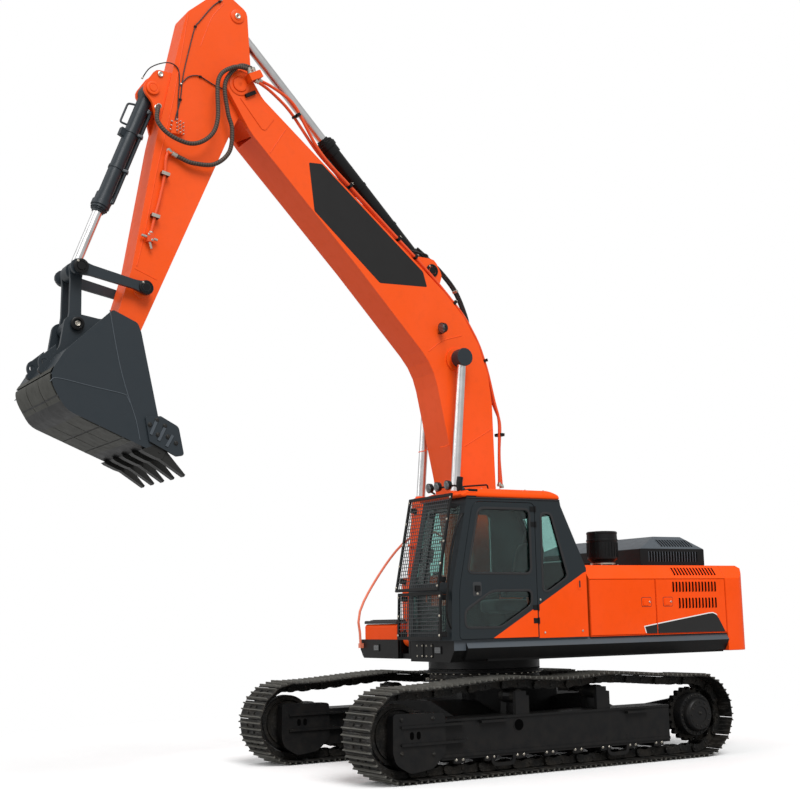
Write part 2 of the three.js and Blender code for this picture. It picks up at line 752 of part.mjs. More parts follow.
function rearHouse() {
  const { split, rear, wall } = HOUSE;
  const shell = lengthways(houseSection(-halfUpper, halfUpper), split, rear - REST_GAP);
  const side = halfUpper - wall - DOOR_SKIN - 8;
  const hollow = lengthways(
    [
      [-side, 0],
      [side, 0],
      [side, HOUSE.shoulder - 10],
      [halfUpper - HOUSE.chamfer - wall, HOUSE.top - wall],
      [-halfUpper + HOUSE.chamfer + wall, HOUSE.top - wall],
      [-side, HOUSE.shoulder - 10],
    ],
    split + wall,
    rear - wall,
  );
  return cut(
    shell,
    hollow,
    doorHole(halfUpper, split + 2, rear - 6),
    doorHole(-halfUpper, split + 2, rear - 6),
    block(HOOD.x0 + 60, HOOD.x1 - 60, split + 90, rear - 90, HOUSE.top - 100, HOUSE.top + 100),
  );
}

// The raised hood over the engine: black sides, a bevelled top, hinged along its front edge.
function hood() {
  const { x0, x1, y0, y1, shoulder, top, bevel, wall } = HOOD;
  const base = HOUSE.top + RUN_GAP;
  const shape = (inset) => [
    [x0 + inset, base - (inset ? 50 : 0)],
    [x1 - inset, base - (inset ? 50 : 0)],
    [x1 - inset, shoulder - inset / 2],
    [x1 - bevel - inset / 2, top - inset],
    [x0 + bevel + inset / 2, top - inset],
    [x0 + inset, shoulder - inset / 2],
  ];
  const sideShape = [
    [y0, base],
    [y1, base],
    [y1, shoulder],
    [y1 - bevel, top],
    [y0 + bevel * 2, top],
    [y0, shoulder],
  ];
  const outer = lengthways(shape(0), y0, y1).intersect(sideways(sideShape, x0, x1));
  const inner = lengthways(shape(wall), y0 + wall, y1 - wall).intersect(
    sideways(
      [
        [y0 + wall, base - 50],
        [y1 - wall, base - 50],
        [y1 - wall, shoulder - wall / 2],
        [y1 - bevel - wall / 2, top - wall],
        [y0 + bevel * 2 + wall / 2, top - wall],
        [y0 + wall, shoulder - wall / 2],
      ],
      x0,
      x1,
    ),
  );
  return cut(outer, inner);
}

// A side door as a panel flush with the house.
function serviceDoor(side, y0, y1) {
  const [a, b, z0, z1] = serviceDoorSpan(y0, y1);
  const [x0, x1] = [side * halfUpper, side * (halfUpper - DOOR_SKIN)].sort((p, q) => p - q);
  return block(x0, x1, a, b, z0, z1);
}

function counterweight() {
  const { tail, bottom, waist, cornerRadius } = COUNTERWEIGHT;
  const front = HOUSE.rear + 4;
  const rearEdge = Math.sqrt(tail ** 2 - halfUpper ** 2);
  const plan = (grow) => [
    [-halfUpper, front],
    [halfUpper, front],
    [halfUpper + grow, rearEdge - 60, cornerRadius],
    [halfUpper * 0.62, tail - 130 + grow, 700],
    [-halfUpper * 0.62, tail - 130 + grow, 700],
    [-halfUpper - grow, rearEdge - 60, cornerRadius],
  ];
  const side = [
    [front, bottom],
    [tail - 120, bottom, 60],
    [tail, waist, 40],
    [tail - 200, HOUSE.shoulder + 40, 60],
    [tail - 400, HOUSE.top],
    [front, HOUSE.top],
  ];
  const section = [
    [-halfUpper - 16, bottom],
    [halfUpper + 16, bottom],
    [halfUpper + 16, waist],
    [halfUpper, HOUSE.shoulder],
    [halfUpper - HOUSE.chamfer, HOUSE.top],
    [-halfUpper + HOUSE.chamfer, HOUSE.top],
    [-halfUpper, HOUSE.shoulder],
    [-halfUpper - 16, waist],
  ];
  const cast = upright(plan(16), bottom, HOUSE.top)
    .intersect(sideways(side, -halfUpper - 20, halfUpper + 20))
    .intersect(lengthways(section, front, tail + 20));
  const pocket = halfUpper - 260;
  return cut(cast, block(-pocket, pocket, front - 10, front + 170, bottom + 240, HOUSE.top - 200));
}

function engine() {
  const { halfWidth, front, rear, top } = ENGINE;
  return block(-halfWidth, halfWidth, front, rear, DECK.top - 60 + REST_GAP, top);
}

function tank(y0, y1) {
  const { top, wall } = TANK;
  const [x0, x1] = [-halfUpper + 4, -halfSlot - 40];
  const shape = [
    [x0, DECK.top + REST_GAP],
    [x1, DECK.top + REST_GAP],
    [x1, top, 40],
    [x0, top, 40],
  ];
  return cut(
    lengthways(shape, y0, y1),
    block(x0 + wall, x1 - wall, y0 + wall, y1 - wall, DECK.top - 10, top - wall),
  );
}

function toolBox() {
  const { rightFront, top } = DECK;
  const rear = rightFront + TOOL_BOX.depth;
  const shape = [
    [rightFront + 12, top + REST_GAP],
    [rear, top + REST_GAP],
    [rear, TOOL_BOX.top],
    [rightFront + 12, TOOL_BOX.top, 40],
  ];
  return cut(
    sideways(shape, TOOL_BOX.x0, TOOL_BOX.x1),
    block(TOOL_BOX.x0 + 24, TOOL_BOX.x1 - 24, rightFront + 40, rear - 24, top + 24, TOOL_BOX.top + 50),
  );
}

function toolBoxLid() {
  const { rightFront } = DECK;
  const rear = rightFront + TOOL_BOX.depth;
  return sideways(
    [
      [rightFront + 6, TOOL_BOX.top + 4],
      [rear, TOOL_BOX.top + 4],
      [rear, TOOL_BOX.top + 44],
      [rightFront + 6, TOOL_BOX.top + 44, 30],
    ],
    TOOL_BOX.x0 - 4,
    TOOL_BOX.x1 + 4,
  );
}

function preCleaner() {
  const { place, neck, bowl, lid, top } = PRE_CLEANER;
  const base = HOUSE.top + REST_GAP;
  return join(
    drum(place, neck, base, base + 60, 24),
    drum(place, bowl, base + 59, top - 18, 32),
    drum(place, lid, top - 19, top, 32),
  );
}

function rightHandrail() {
  const { x, radius } = HANDRAIL;
  return join(
    block(x - 30, x + 30, DECK.rightFront - 46, DECK.rightFront - REST_GAP, DECK.top - 110, DECK.top - 50),
    bentTube(
      [
        [x, DECK.rightFront - 30, DECK.top - 60],
        [x, DECK.rightFront - 34, DECK.top + 60],
        [x, DECK.rightFront - 50, 1800],
        [x, -740, 2260],
        [x, -210, 2820],
        [x, 200, 2930],
        [x, 420, 2800],
        [x, 450, 2500],
        [x, 450, TANK.top + REST_GAP],
      ],
      radius,
      20,
    ),
  );
}

// ---------------------------------------------------------------- cab

const CAB_SIDE = [
  [-1450, CAB.floor],
  [CAB.rear, CAB.floor],
  [CAB.rear, 2310],
  [160, 3045, 60],
  [145, CAB.top],
  [-1190, CAB.top],
  [-1425, 2080, 400],
];
const CAB_DOOR = [
  [-1335, CAB.floor + 14, 40],
  [-236, CAB.floor + 14, 20],
  [-236, CAB.top - 50, 60],
  [-1110, CAB.top - 50, 120],
  [-1320, 2080, 500],
];
const DOOR_WINDOW_UPPER = [
  [-1215, 2250, 60],
  [-305, 2240, 60],
  [-305, 3000, 80],
  [-1040, 3000, 100],
];
const DOOR_WINDOW_LOWER = [
  [-1260, 1635, 70],
  [-760, 1630, 60],
  [-310, 1880, 60],
  [-310, 2055, 50],
  [-880, 2050, 60],
  [-1260, 1830, 60],
];
const QUARTER_WINDOW = [
  [-150, 2040, 60],
  [-60, 2030, 50],
  [240, 2205, 50],
  [10, 2960, 60],
  [-145, 2960, 50],
];
const RIGHT_WINDOW = [
  [-1230, 1900, 60],
  [-250, 1900, 60],
  [-250, 3000, 60],
  [-1060, 3000, 60],
];
const FRONT_LOWER = [[-1436, 1600], [-1426, 2020]];
const FRONT_UPPER = [[-1398, 2150], [-1213, 3030]];
const REAR_SLOPE = [[CAB.rear - 52, 2420], [CAB.rear - 316, 2960]];
const paneSides = [CAB.inner + 110, CAB.outer - 110];
const rearPane = [CAB.inner + 150, CAB.outer - 150];

function paneHole(line, [x0, x1]) {
  return sideways(strip(line[1], line[0], -200, 400), x0, x1);
}

function pane(line, [x0, x1]) {
  const [a, b] = line.map(([y, z]) => new THREE.Vector2(y, z));
  const along = b.clone().sub(a).normalize().multiplyScalar(REST_GAP * 2);
  const from = a.add(along);
  const to = b.sub(along);
  return sideways(strip([to.x, to.y], [from.x, from.y], 12, GLASS), x0 + REST_GAP * 2, x1 - REST_GAP * 2);
}

function sidePane(points, x) {
  return sideways(grown(points, -REST_GAP * 2), x - GLASS / 2, x + GLASS / 2);
}

function cabShell() {
  const { inner, outer, wall, top } = CAB;
  const hollow = grown(CAB_SIDE, -wall);
  hollow[3] = [hollow[3][0], top - 40, 0];
  hollow[4] = [hollow[4][0] - 20, top + 200, 0];
  hollow[5] = [hollow[5][0], top + 200, 0];
  return cut(
    sideways(CAB_SIDE, inner, outer),
    sideways(hollow, inner + wall, outer - wall),
    sideways(grown(CAB_DOOR, DOOR_GAP), outer - wall - 5, outer + 5),
    paneHole(FRONT_LOWER, paneSides),
    paneHole(FRONT_UPPER, paneSides),
    sideways(RIGHT_WINDOW, inner - 5, inner + wall + 5),
    sideways(QUARTER_WINDOW, outer - wall - 5, outer + 5),
    sideways(strip(REAR_SLOPE[0], REAR_SLOPE[1], -120, 300), rearPane[0], rearPane[1]),
  );
}

function cabRoof() {
  const { inner, outer, top } = CAB;
  const base = top + REST_GAP;
  const shell = lengthways(
    [
      [inner - 6, base],
      [outer + 6, base],
      [outer + 6, base + 50, 30],
      [outer - 60, base + ROOF_HEIGHT, 80],
      [inner + 60, base + ROOF_HEIGHT, 80],
      [inner - 6, base + 50, 30],
    ],
    -1260,
    158,
  ).intersect(
    sideways(
      [
        [-1260, base],
        [158, base],
        [140, base + 60, 60],
        [40, base + ROOF_HEIGHT, 120],
        [-1080, base + ROOF_HEIGHT, 200],
        [-1260, base + 40, 20],
      ],
      inner - 20,
      outer + 20,
    ),
  );
  return cut(shell, block(inner + 70, outer - 70, -1040, 0, base - 10, base + ROOF_HEIGHT - 22));
}

function cabDoor() {
  const { outer, wall } = CAB;
  return cut(
    sideways(CAB_DOOR, outer - wall, outer),
    sideways(DOOR_WINDOW_UPPER, outer - wall - 5, outer + 5),
    sideways(DOOR_WINDOW_LOWER, outer - wall - 5, outer + 5),
  );
}

function seat() {
  const [x0, x1] = [770, 1270];
  const floor = CAB.floor + CAB.wall + REST_GAP;
  return join(
    block(x0 + 90, x1 - 90, -500, -80, floor, floor + 260),
    sideways(
      [
        [-640, floor + 250],
        [-60, floor + 250],
        [120, floor + 1130, 45],
        [0, floor + 1150, 45],
        [-130, floor + 400, 60],
        [-640, floor + 400, 50],
      ],
      x0,
      x1,
    ),
  );
}

function console() {
  const floor = CAB.floor + CAB.wall + REST_GAP;
  const [x0, x1] = [CAB.inner + CAB.wall + 6, 740];
  return join(
    sideways(
      [
        [-780, floor],
        [300, floor],
        [300, floor + 520, 40],
        [-700, floor + 520, 80],
        [-780, floor + 300, 60],
      ],
      x0,
      x1,
    ),
    bar([(x0 + x1) / 2, -620, floor + 500], [(x0 + x1) / 2 + 20, -660, floor + 740], 20, 10),
  );
}

// A bolted mesh frame in front of a window: a rim with cross bars, standing off the cab on brackets.
function frontGuard(lower, upper, bars) {
  const [x0, x1] = [halfSlot + 12, 1440];
  const rim = strip(upper, lower, 0, 26);
  const reach = distance(lower, upper);
  const hole = (from, to) => {
    const mix = (t) => lower.map((place, k) => place + ((upper[k] - place) * t) / reach);
    return strip(mix(to), mix(from), -40, 120);
  };
  const pitch = (reach - 24) / bars;
  const holes = Array.from({ length: bars }, (_, i) => {
    const from = 24 + i * pitch;
    const middle = (x0 + x1) / 2;
    return join(
      sideways(hole(from, from + pitch - 24), x0 + 72, middle - 12),
      sideways(hole(from, from + pitch - 24), middle + 12, x1 - 40),
    );
  });
  return cut(sideways(rim, x0, x1), ...holes);
}

const GUARD_LOWER = [[-1580, 1510], [-1560, 2048]];
const GUARD_UPPER = [[-1600, 2064], [-1375, 3165]];

// The four feet that hold a guard off the cab's front.
function guardFeet(line, frontLine) {
  const feet = [];
  for (const share of [0.12, 0.88]) {
    const y = line[0][0] + (line[1][0] - line[0][0]) * share;
    const z = line[0][1] + (line[1][1] - line[0][1]) * share;
    const back = frontLine(z - 25) - REST_GAP;
    for (const x of [CAB.inner + 2, 1402]) feet.push(block(x, x + 34, y + 3, back, z - 25, z + 25));
  }
  return feet;
}

// The y of the cab's front face at a height.
function cabFront(z) {
  if (z < 1990) return -1450 + ((z - CAB.floor) * 25) / (2080 - CAB.floor) - 1;
  return -1425 + ((z - 2080) * 235) / (CAB.top - 2080) - 3;
}

function cab() {
  const { inner, outer, wall } = CAB;
  const upperGuard = join(frontGuard(...GUARD_UPPER, 6), ...guardFeet(GUARD_UPPER, cabFront));
  const lowerGuard = join(frontGuard(...GUARD_LOWER, 3), ...guardFeet(GUARD_LOWER, cabFront));
  return [
    piece("cab_shell", cabShell(), SLATE),
    piece("cab_roof", cabRoof(), ORANGE),
    piece("windscreen_upper", pane(FRONT_UPPER, paneSides), WINDOW),
    piece("windscreen_lower", pane(FRONT_LOWER, paneSides), WINDOW),
    piece("cab_rear_window", pane([REAR_SLOPE[1], REAR_SLOPE[0]], rearPane), WINDOW),
    piece("cab_right_window", sidePane(RIGHT_WINDOW, inner + wall / 2), WINDOW),
    piece("cab_quarter_window", sidePane(QUARTER_WINDOW, outer - wall / 2), WINDOW),
    piece("operator_seat", seat(), TRIM),
    piece("control_console", console(), TRIM),
    piece("front_guard_upper", upperGuard, BLACK),
    piece("front_guard_lower", lowerGuard, BLACK),
  ];
}

// A hinged piece: its geometry is built in the machine's frame and its group stands on the hinge.
function hinged(name, x, y, z, ...meshes) {
  const made = new THREE.Group();
  made.name = name;
  made.position.set(x, y, z);
  for (const mesh of meshes) {
    mesh.geometry.translate(-x, -y, -z);
    made.add(mesh);
  }
  return made;
}

function upperStructure() {
  const { outer, wall } = CAB;
  const hingeOut = 10;
  const made = group("upper", 0, 0);
  made.add(
    piece("deck_frame", deckFrame(), BLACK),
    piece("counterweight", counterweight(), ORANGE),
    piece("engine_block", engine(), STEEL),
    piece("left_house", leftHouse(), ORANGE),
    piece("rear_house", rearHouse(), ORANGE),
    piece("fuel_tank", tank(TANK.front, TANK.split - 5), ORANGE),
    piece("hydraulic_tank", tank(TANK.split + 5, HOUSE.split - 5), ORANGE),
    piece("tool_box", toolBox(), ORANGE),
    piece("pre_cleaner", preCleaner(), BLACK),
    piece("right_handrail", rightHandrail(), ORANGE),
    ...cab(),
    hinged(
      "cab_door_hinge",
      outer + hingeOut,
      -215,
      2300,
      piece("cab_door", cabDoor(), SLATE),
      piece("door_window_upper", sidePane(DOOR_WINDOW_UPPER, outer - wall / 2), WINDOW),
      piece("door_window_lower", sidePane(DOOR_WINDOW_LOWER, outer - wall / 2), WINDOW),
    ),
    hinged(
      "left_front_door_hinge",
      halfUpper + hingeOut,
      HOUSE.front,
      1840,
      piece("left_front_door", serviceDoor(1, HOUSE.front + 6, HOUSE.split - 2), ORANGE),
    ),
    hinged(
      "left_rear_door_hinge",
      halfUpper + hingeOut,
      HOUSE.rear,
      1840,
      piece("left_rear_door", serviceDoor(1, HOUSE.split + 2, HOUSE.rear - 6), ORANGE),
    ),
    hinged(
      "right_rear_door_hinge",
      -halfUpper - hingeOut,
      HOUSE.rear,
      1840,
      piece("right_rear_door", serviceDoor(-1, HOUSE.split + 2, HOUSE.rear - 6), ORANGE),
    ),
    hinged("hood_hinge", 0, HOOD.y0, HOUSE.top + 2, piece("engine_hood", hood(), BLACK)),
    hinged(
      "tool_box_hinge",
      0,
      DECK.rightFront + TOOL_BOX.depth,
      TOOL_BOX.top + 44,
      piece("tool_box_lid", toolBoxLid(), ORANGE),
    ),
  );
  return made;
}

// ---------------------------------------------------------------- front equipment

// A hydraulic cylinder's barrel along -Y from its own eye, in its own frame.
function barrel({ radius, length }, eyeWidth, x = 0, rod = 55) {
  const eye = cut(
    join(
      crosswise([0, 0], radius + 12, x - eyeWidth / 2, x + eyeWidth / 2, 16),
      bar([x, -30, 0], [x, -length, 0], radius, 18),
      bar([x, -length + 190, 0], [x, -length - 2, 0], radius + 14, 18),
    ),
    crosswise([0, 0], PIN_RADIUS + PIN_GAP, x - 200, x + 200),
    bar([x, -radius - 120, 0], [x, -length - 60, 0], rod + PIN_GAP, 16),
  );
  return eye;
}

// Its rod, with the eye at the far end and its inner end inside the barrel.
function rod(inside, reach, eyeRadius, eyeWidth, x, radius = 55) {
  return join(
    bar([x, -inside, 0], [x, -reach + 30, 0], radius, 16),
    crosswise([-reach, 0], eyeRadius, x - eyeWidth / 2, x + eyeWidth / 2, 16),
  );
}

// A cylinder as two nested groups: the barrel on its foot pin, and the rod in it.
function cylinder(name, foot, eye, barrelSolid, rodSolid, finish) {
  const made = group(name + "_foot", foot[0], foot[1]);
  const angle = Math.atan2(eye[1] - foot[1], foot[0] - eye[0]);
  made.rotation.x = -angle;
  const slider = group(name + "_slide", 0, 0, piece(name + "_rod", rodSolid, CHROME));
  made.add(piece(name + "_barrel", barrelSolid, finish), slider);
  return made;
}

function boomPlan() {
  const nose = BOOM_LENGTH;
  return memberOutline([
    [-185, 185, 178],
    [-185, -185, 178],
    [260, -115, 300],
    [0.2135 * nose, 343, 0],
    [0.408 * nose, 762, 900],
    [0.631 * nose, 385, 0],
    [0.918 * nose, -152, 500],
    [nose + 182, -182, 176],
    [nose + 182, 182, 176],
    [nose - 250, 207, 200],
    [0.4 * nose, 1725, 1880],
    [0.158 * nose, 827, 0],
  ]);
}

function boom() {
  const half = BOOM_WIDTH / 2;
  const nose = BOOM_LENGTH;
  const shape = boomPlan();
  const footBoss = crosswise([0, 0], 172, -half - 6, half + 6, 16);
  const noseSlot = ARM_WIDTH / 2 + RUN_GAP;
  const eye = onMember(BOOM_CYLINDER_EYE);
  const cylinderFoot = onMember(ARM_CYLINDER_FOOT);
  const hollow = grown(shape, -BOOM_PLATE);
  const inner = half - BOOM_PLATE;
  const box = cut(
    sideways(shape, -half, half),
    sideways(hollow, -inner, inner).intersect(block(-inner, inner, -nose + 560, -420, -3000, 3000)),
  );
  const lug = [
    [cylinderFoot[0] - 430, cylinderFoot[1] - 420],
    [cylinderFoot[0] + 330, cylinderFoot[1] - 130],
    [cylinderFoot[0] + 115, cylinderFoot[1] + 115, 110],
    [cylinderFoot[0] - 115, cylinderFoot[1] + 115, 110],
  ];
  const lugInner = ARM_BARREL.radius + 30;
  const lugs = [1, -1].map((side) => {
    const [x0, x1] = [side * lugInner, side * (lugInner + 40)].sort((a, b) => a - b);
    return sideways(lug, x0, x1);
  });
  const bosses = [1, -1].map((side) => {
    const [x0, x1] = [side * (half - 5), side * (half + 42)].sort((a, b) => a - b);
    return join(
      crosswise(eye, 150, Math.min(x0, side * (half + 20)), Math.max(x0, side * (half + 20)), 16),
      crosswise(eye, 95, x0, x1, 16),
    );
  });
  return join(
    cut(
      join(box, footBoss),
      crosswise([0, 0], PIN_RADIUS + 10 + PIN_GAP, -half - 30, half + 30),
      block(-noseSlot, noseSlot, -nose - 400, -nose + 460, -500, 500),
      crosswise([-nose, 0], 640, -noseSlot, noseSlot, 36),
    ),
    crosswise([-nose, 0], PIN_RADIUS + 20, -half - 26, half + 26, 16),
    crosswise(cylinderFoot, PIN_RADIUS, -lugInner - 55, lugInner + 55),
    block(half - 5, LUG_HOSE_X + 40, -HOSE.bracket[0], -HOSE.bracket[0] + 90, 100, HOSE.bracket[2] + 40),
    ...lugs,
    ...bosses,
  );
}

function armPlan() {
  const tip = ARM_LENGTH;
  return memberOutline([
    [-1035, 655, 110],
    [-960, 262, 110],
    [-60, -190, 170],
    [0.17 * tip, -158, 0],
    [tip + 138, -138, 134],
    [tip + 138, 138, 134],
    [0.79 * tip, 243, 0],
    [0.345 * tip, 600, 0],
    [-490, 915, 90],
  ]);
}

function arm() {
  const half = ARM_WIDTH / 2;
  const tip = ARM_LENGTH;
  const shape = armPlan();
  const hollow = grown(shape, -ARM_PLATE);
  const inner = half - ARM_PLATE;
  const rodEye = onMember(ARM_CYLINDER_EYE);
  const foot = onMember(BUCKET_CYLINDER_FOOT);
  const rockerPin = onMember(ROCKER_PIVOT);
  const lug = [
    [foot[0] - 520, foot[1] - 330],
    [foot[0] + 330, foot[1] - 190],
    [foot[0] + 240, foot[1] + 60, 80],
    [foot[0] - 60, foot[1] + 118, 100],
    [foot[0] - 150, foot[1] - 60, 70],
  ];
  const lugInner = BUCKET_BARREL.radius + 28;
  const lugs = [1, -1].map((side) => {
    const [x0, x1] = [side * lugInner, side * (lugInner + 40)].sort((a, b) => a - b);
    return sideways(lug, x0, x1);
  });
  const eyeSlot = 110;
  return join(
    cut(
      sideways(shape, -half, half),
      sideways(hollow, -inner, inner).intersect(
        join(
          block(-inner, inner, -tip + 330, -260, -900, 1100),
          block(-inner, inner, 240, 700, -900, 1100),
        ),
      ),
      sideways([[430, -200], [1200, -200], [1200, 560], [430, 560]], -eyeSlot, eyeSlot),
      crosswise([0, 0], PIN_RADIUS + 20 + PIN_GAP, -half - 10, half + 10, 16),
      crosswise(rockerPin, PIN_RADIUS + PIN_GAP, -half - 10, half + 10),
      block(-inner, inner, -300, 300, -800, -120),
    ),
    crosswise([-tip, 0], PIN_RADIUS + 12, -half - 2 * RUN_GAP - 74, half + 2 * RUN_GAP + 74),
    crosswise(foot, PIN_RADIUS, -lugInner - 52, lugInner + 52),
    crosswise(rodEye, PIN_RADIUS, -half - 22, -eyeSlot + 2),
    crosswise(rodEye, PIN_RADIUS, eyeSlot - 2, half + 22),
    crosswise(onMember(HOSE.arm), HOSE_BOSS, half - 2, half + 75),
    ...lugs,
  );
}

// Two flat rockers joined by the pin they swing on, and by the pin at their knee.
function rockers() {
  const inner = ARM_WIDTH / 2 + 84;
  const thickness = 46;
  const knee = [-ROCKER_LENGTH, 0];
  const shape = [
    [knee[0] - 105, -105, 100],
    [knee[0] + 120, -60, 200],
    [-120, -52, 200],
    [92, -92, 88],
    [92, 92, 88],
    [-120, 52, 200],
    [knee[0] + 120, 60, 200],
    [knee[0] - 105, 105, 100],
  ];
  const plates = [1, -1].map((side) => {
    const [x0, x1] = [side * inner, side * (inner + thickness)].sort((a, b) => a - b);
    const [k0, k1] = [side * (LINK_HALF_WIDTH + 4), side * (inner + thickness + 24)].sort((a, b) => a - b);
    return join(sideways(shape, x0, x1), crosswise(knee, PIN_RADIUS + 8, k0, k1));
  });
  const pinEnd = inner + thickness + 24;
  return join(crosswise([0, 0], PIN_RADIUS, -pinEnd, pinEnd), ...plates);
}

// The H-shaped link between the rockers' knee and the bucket: two cheeks tied by a tube near the bucket.
function bucketLink() {
  const length = distance(EAR, KNEE);
  const end = [0, 0];
  const top = [-length, 0];
  const shape = [
    [top[0] - 90, -90, 86],
    [top[0] + 120, -62, 150],
    [-150, -62, 150],
    [95, -95, 90],
    [95, 95, 90],
    [-150, 70, 150],
    [top[0] + 120, 62, 150],
    [top[0] - 90, 90, 86],
  ];
  const cheeks = [1, -1].map((side) => {
    const [x0, x1] = [side * (LINK_HALF_WIDTH - 52), side * LINK_HALF_WIDTH].sort((a, b) => a - b);
    return sideways(shape, x0, x1);
  });
  const earPin = ARM_WIDTH / 2 + 2 * RUN_GAP + 74;
  return join(
    ...cheeks,
    crosswise(end, 92, -LINK_HALF_WIDTH, LINK_HALF_WIDTH, 16),
    crosswise(end, PIN_RADIUS, -earPin, earPin),
  );
}

// The bucket's outlines in the side view, from its main pin: the side plates, the sheet wrapped between them,
// the ears on its back, a tooth and a side cutter. Its mouth faces the machine.
const BUCKET_SIDE = [
  [270, -1420, 0],
  [200, -990, 0],
  [0, -80, 60],
  [-40, 20, 60],
  [-320, 140, 40],
  [-830, -345, 300],
  [-1010, -640, 260],
  [-810, -975, 260],
];
const BUCKET_WRAP = [
  [270, -1420, 0],
  [200, -990, 0],
  [-30, -235, 40],
  [-430, -40, 60],
  [-830, -345, 300],
  [-1010, -640, 260],
  [-810, -975, 260],
];
const BUCKET_MOUTH = [
  [120, -1330],
  [340, -1415],
  [700, -1300],
  [500, -330],
  [-75, -330],
];
const BUCKET_EARS = [
  [-1010, -500, 60],
  [-925, -540, 0],
  [-800, -365, 0],
  [-440, -90, 0],
  [-60, -255, 0],
  [130, -165, 80],
  [165, 60, 130],
  [-20, 175, 120],
  [-300, 120, 200],
  [BUCKET_EAR[0] + 40, BUCKET_EAR[1] + 115, 100],
  [BUCKET_EAR[0] - 130, BUCKET_EAR[1] + 70, 90],
  [-760, -225, 120],
];
const BUCKET_TOOTH = [
  [90, -1352, 0],
  [190, -1422, 0],
  [505, -1626],
  [518, -1606],
  [290, -1345, 0],
  [180, -1318, 0],
];
const SIDE_CUTTER = [
  [95, -1265, 0],
  [400, -1415, 30],
  [490, -1400, 30],
  [425, -1090, 60],
  [220, -985, 0],
  [45, -1000, 20],
];
const TOOTH_COUNT = 5;
const TOOTH_WIDTH = 92;

function bucket() {
  const half = BUCKET_WIDTH / 2;
  const inner = half - BUCKET_PLATE;
  const sides = [1, -1].map((side) => {
    const [x0, x1] = [side * (inner - 1), side * half].sort((a, b) => a - b);
    const [c0, c1] = [side * (half - 1), side * (half + 26)].sort((a, b) => a - b);
    return join(sideways(BUCKET_SIDE, x0, x1), sideways(SIDE_CUTTER, c0, c1));
  });
  const sheet = cut(
    sideways(BUCKET_WRAP, -inner, inner),
    sideways(grown(BUCKET_WRAP, -BUCKET_PLATE), -inner - 5, inner + 5),
    sideways(BUCKET_MOUTH, -inner - 5, inner + 5),
  );
  const earInner = ARM_WIDTH / 2 + 2 * RUN_GAP;
  const ears = [1, -1].map((side) => {
    const [x0, x1] = [side * earInner, side * (earInner + 54)].sort((a, b) => a - b);
    return sideways(BUCKET_EARS, x0, x1);
  });
  const pitch = (BUCKET_WIDTH - TOOTH_WIDTH - 20) / (TOOTH_COUNT - 1);
  const teeth = Array.from({ length: TOOTH_COUNT }, (_, i) => {
    const x = (i - (TOOTH_COUNT - 1) / 2) * pitch;
    return sideways(BUCKET_TOOTH, x - TOOTH_WIDTH / 2, x + TOOTH_WIDTH / 2);
  });
  return cut(
    join(sides[0], sides[1], sheet, ...ears, ...teeth),
    crosswise([0, 0], PIN_RADIUS + 12 + PIN_GAP, -earInner - 80, earInner + 80),
    crosswise(BUCKET_EAR, PIN_RADIUS + PIN_GAP, -earInner - 80, earInner + 80),
  );
}

// The hoses in the machine's frame, each whole from its end on the boom to its end on the arm.
function hoses() {
  const { radius, bracket, lug, arm: boss, straight } = HOSE;
  const [start, lower, upper] = bracket;
  const onBoom = (x, along, over) => [x, ...placed(onMember([along, over]), BOOM_FOOT, BOOM_LIFT)];
  const onArm = (x, along, over) => [x, ...placed(onMember([along, over]), NOSE, ARM_DROP)];
  const lugFace = BUCKET_BARREL.radius + 68 + REST_GAP;
  const bossX = LUG_HOSE_X - 135;
  const bossEdge = boss[1] - HOSE_BOSS - REST_GAP;
  const toLug = [
    onBoom(LUG_HOSE_X, start + REST_GAP, lower),
    onBoom(LUG_HOSE_X, start + straight, lower),
    ...LUG_HOSE.map(([y, z]) => [LUG_HOSE_X, y, z]),
    onArm(lugFace + 2 * straight, lug[0] + 70, lug[1] + 8),
    onArm(lugFace + straight, lug[0], lug[1]),
    onArm(lugFace, lug[0], lug[1]),
  ];
  const toBoss = [
    onBoom(BOSS_HOSE_X, start + REST_GAP, upper),
    onBoom(BOSS_HOSE_X, start + straight, upper),
    ...BOSS_HOSE.map(([y, z]) => [BOSS_HOSE_X, y, z]),
    onArm(bossX + 15, boss[0], bossEdge - 2 * straight),
    onArm(bossX, boss[0], bossEdge - straight),
    onArm(bossX, boss[0], bossEdge),
  ];
  return [
    piece("boom_hose_left", bentTube(toLug, radius, HOSE_STEPS), TRIM),
    piece("boom_hose_right", bentTube(toBoss, radius, HOSE_STEPS), TRIM),
  ];
}

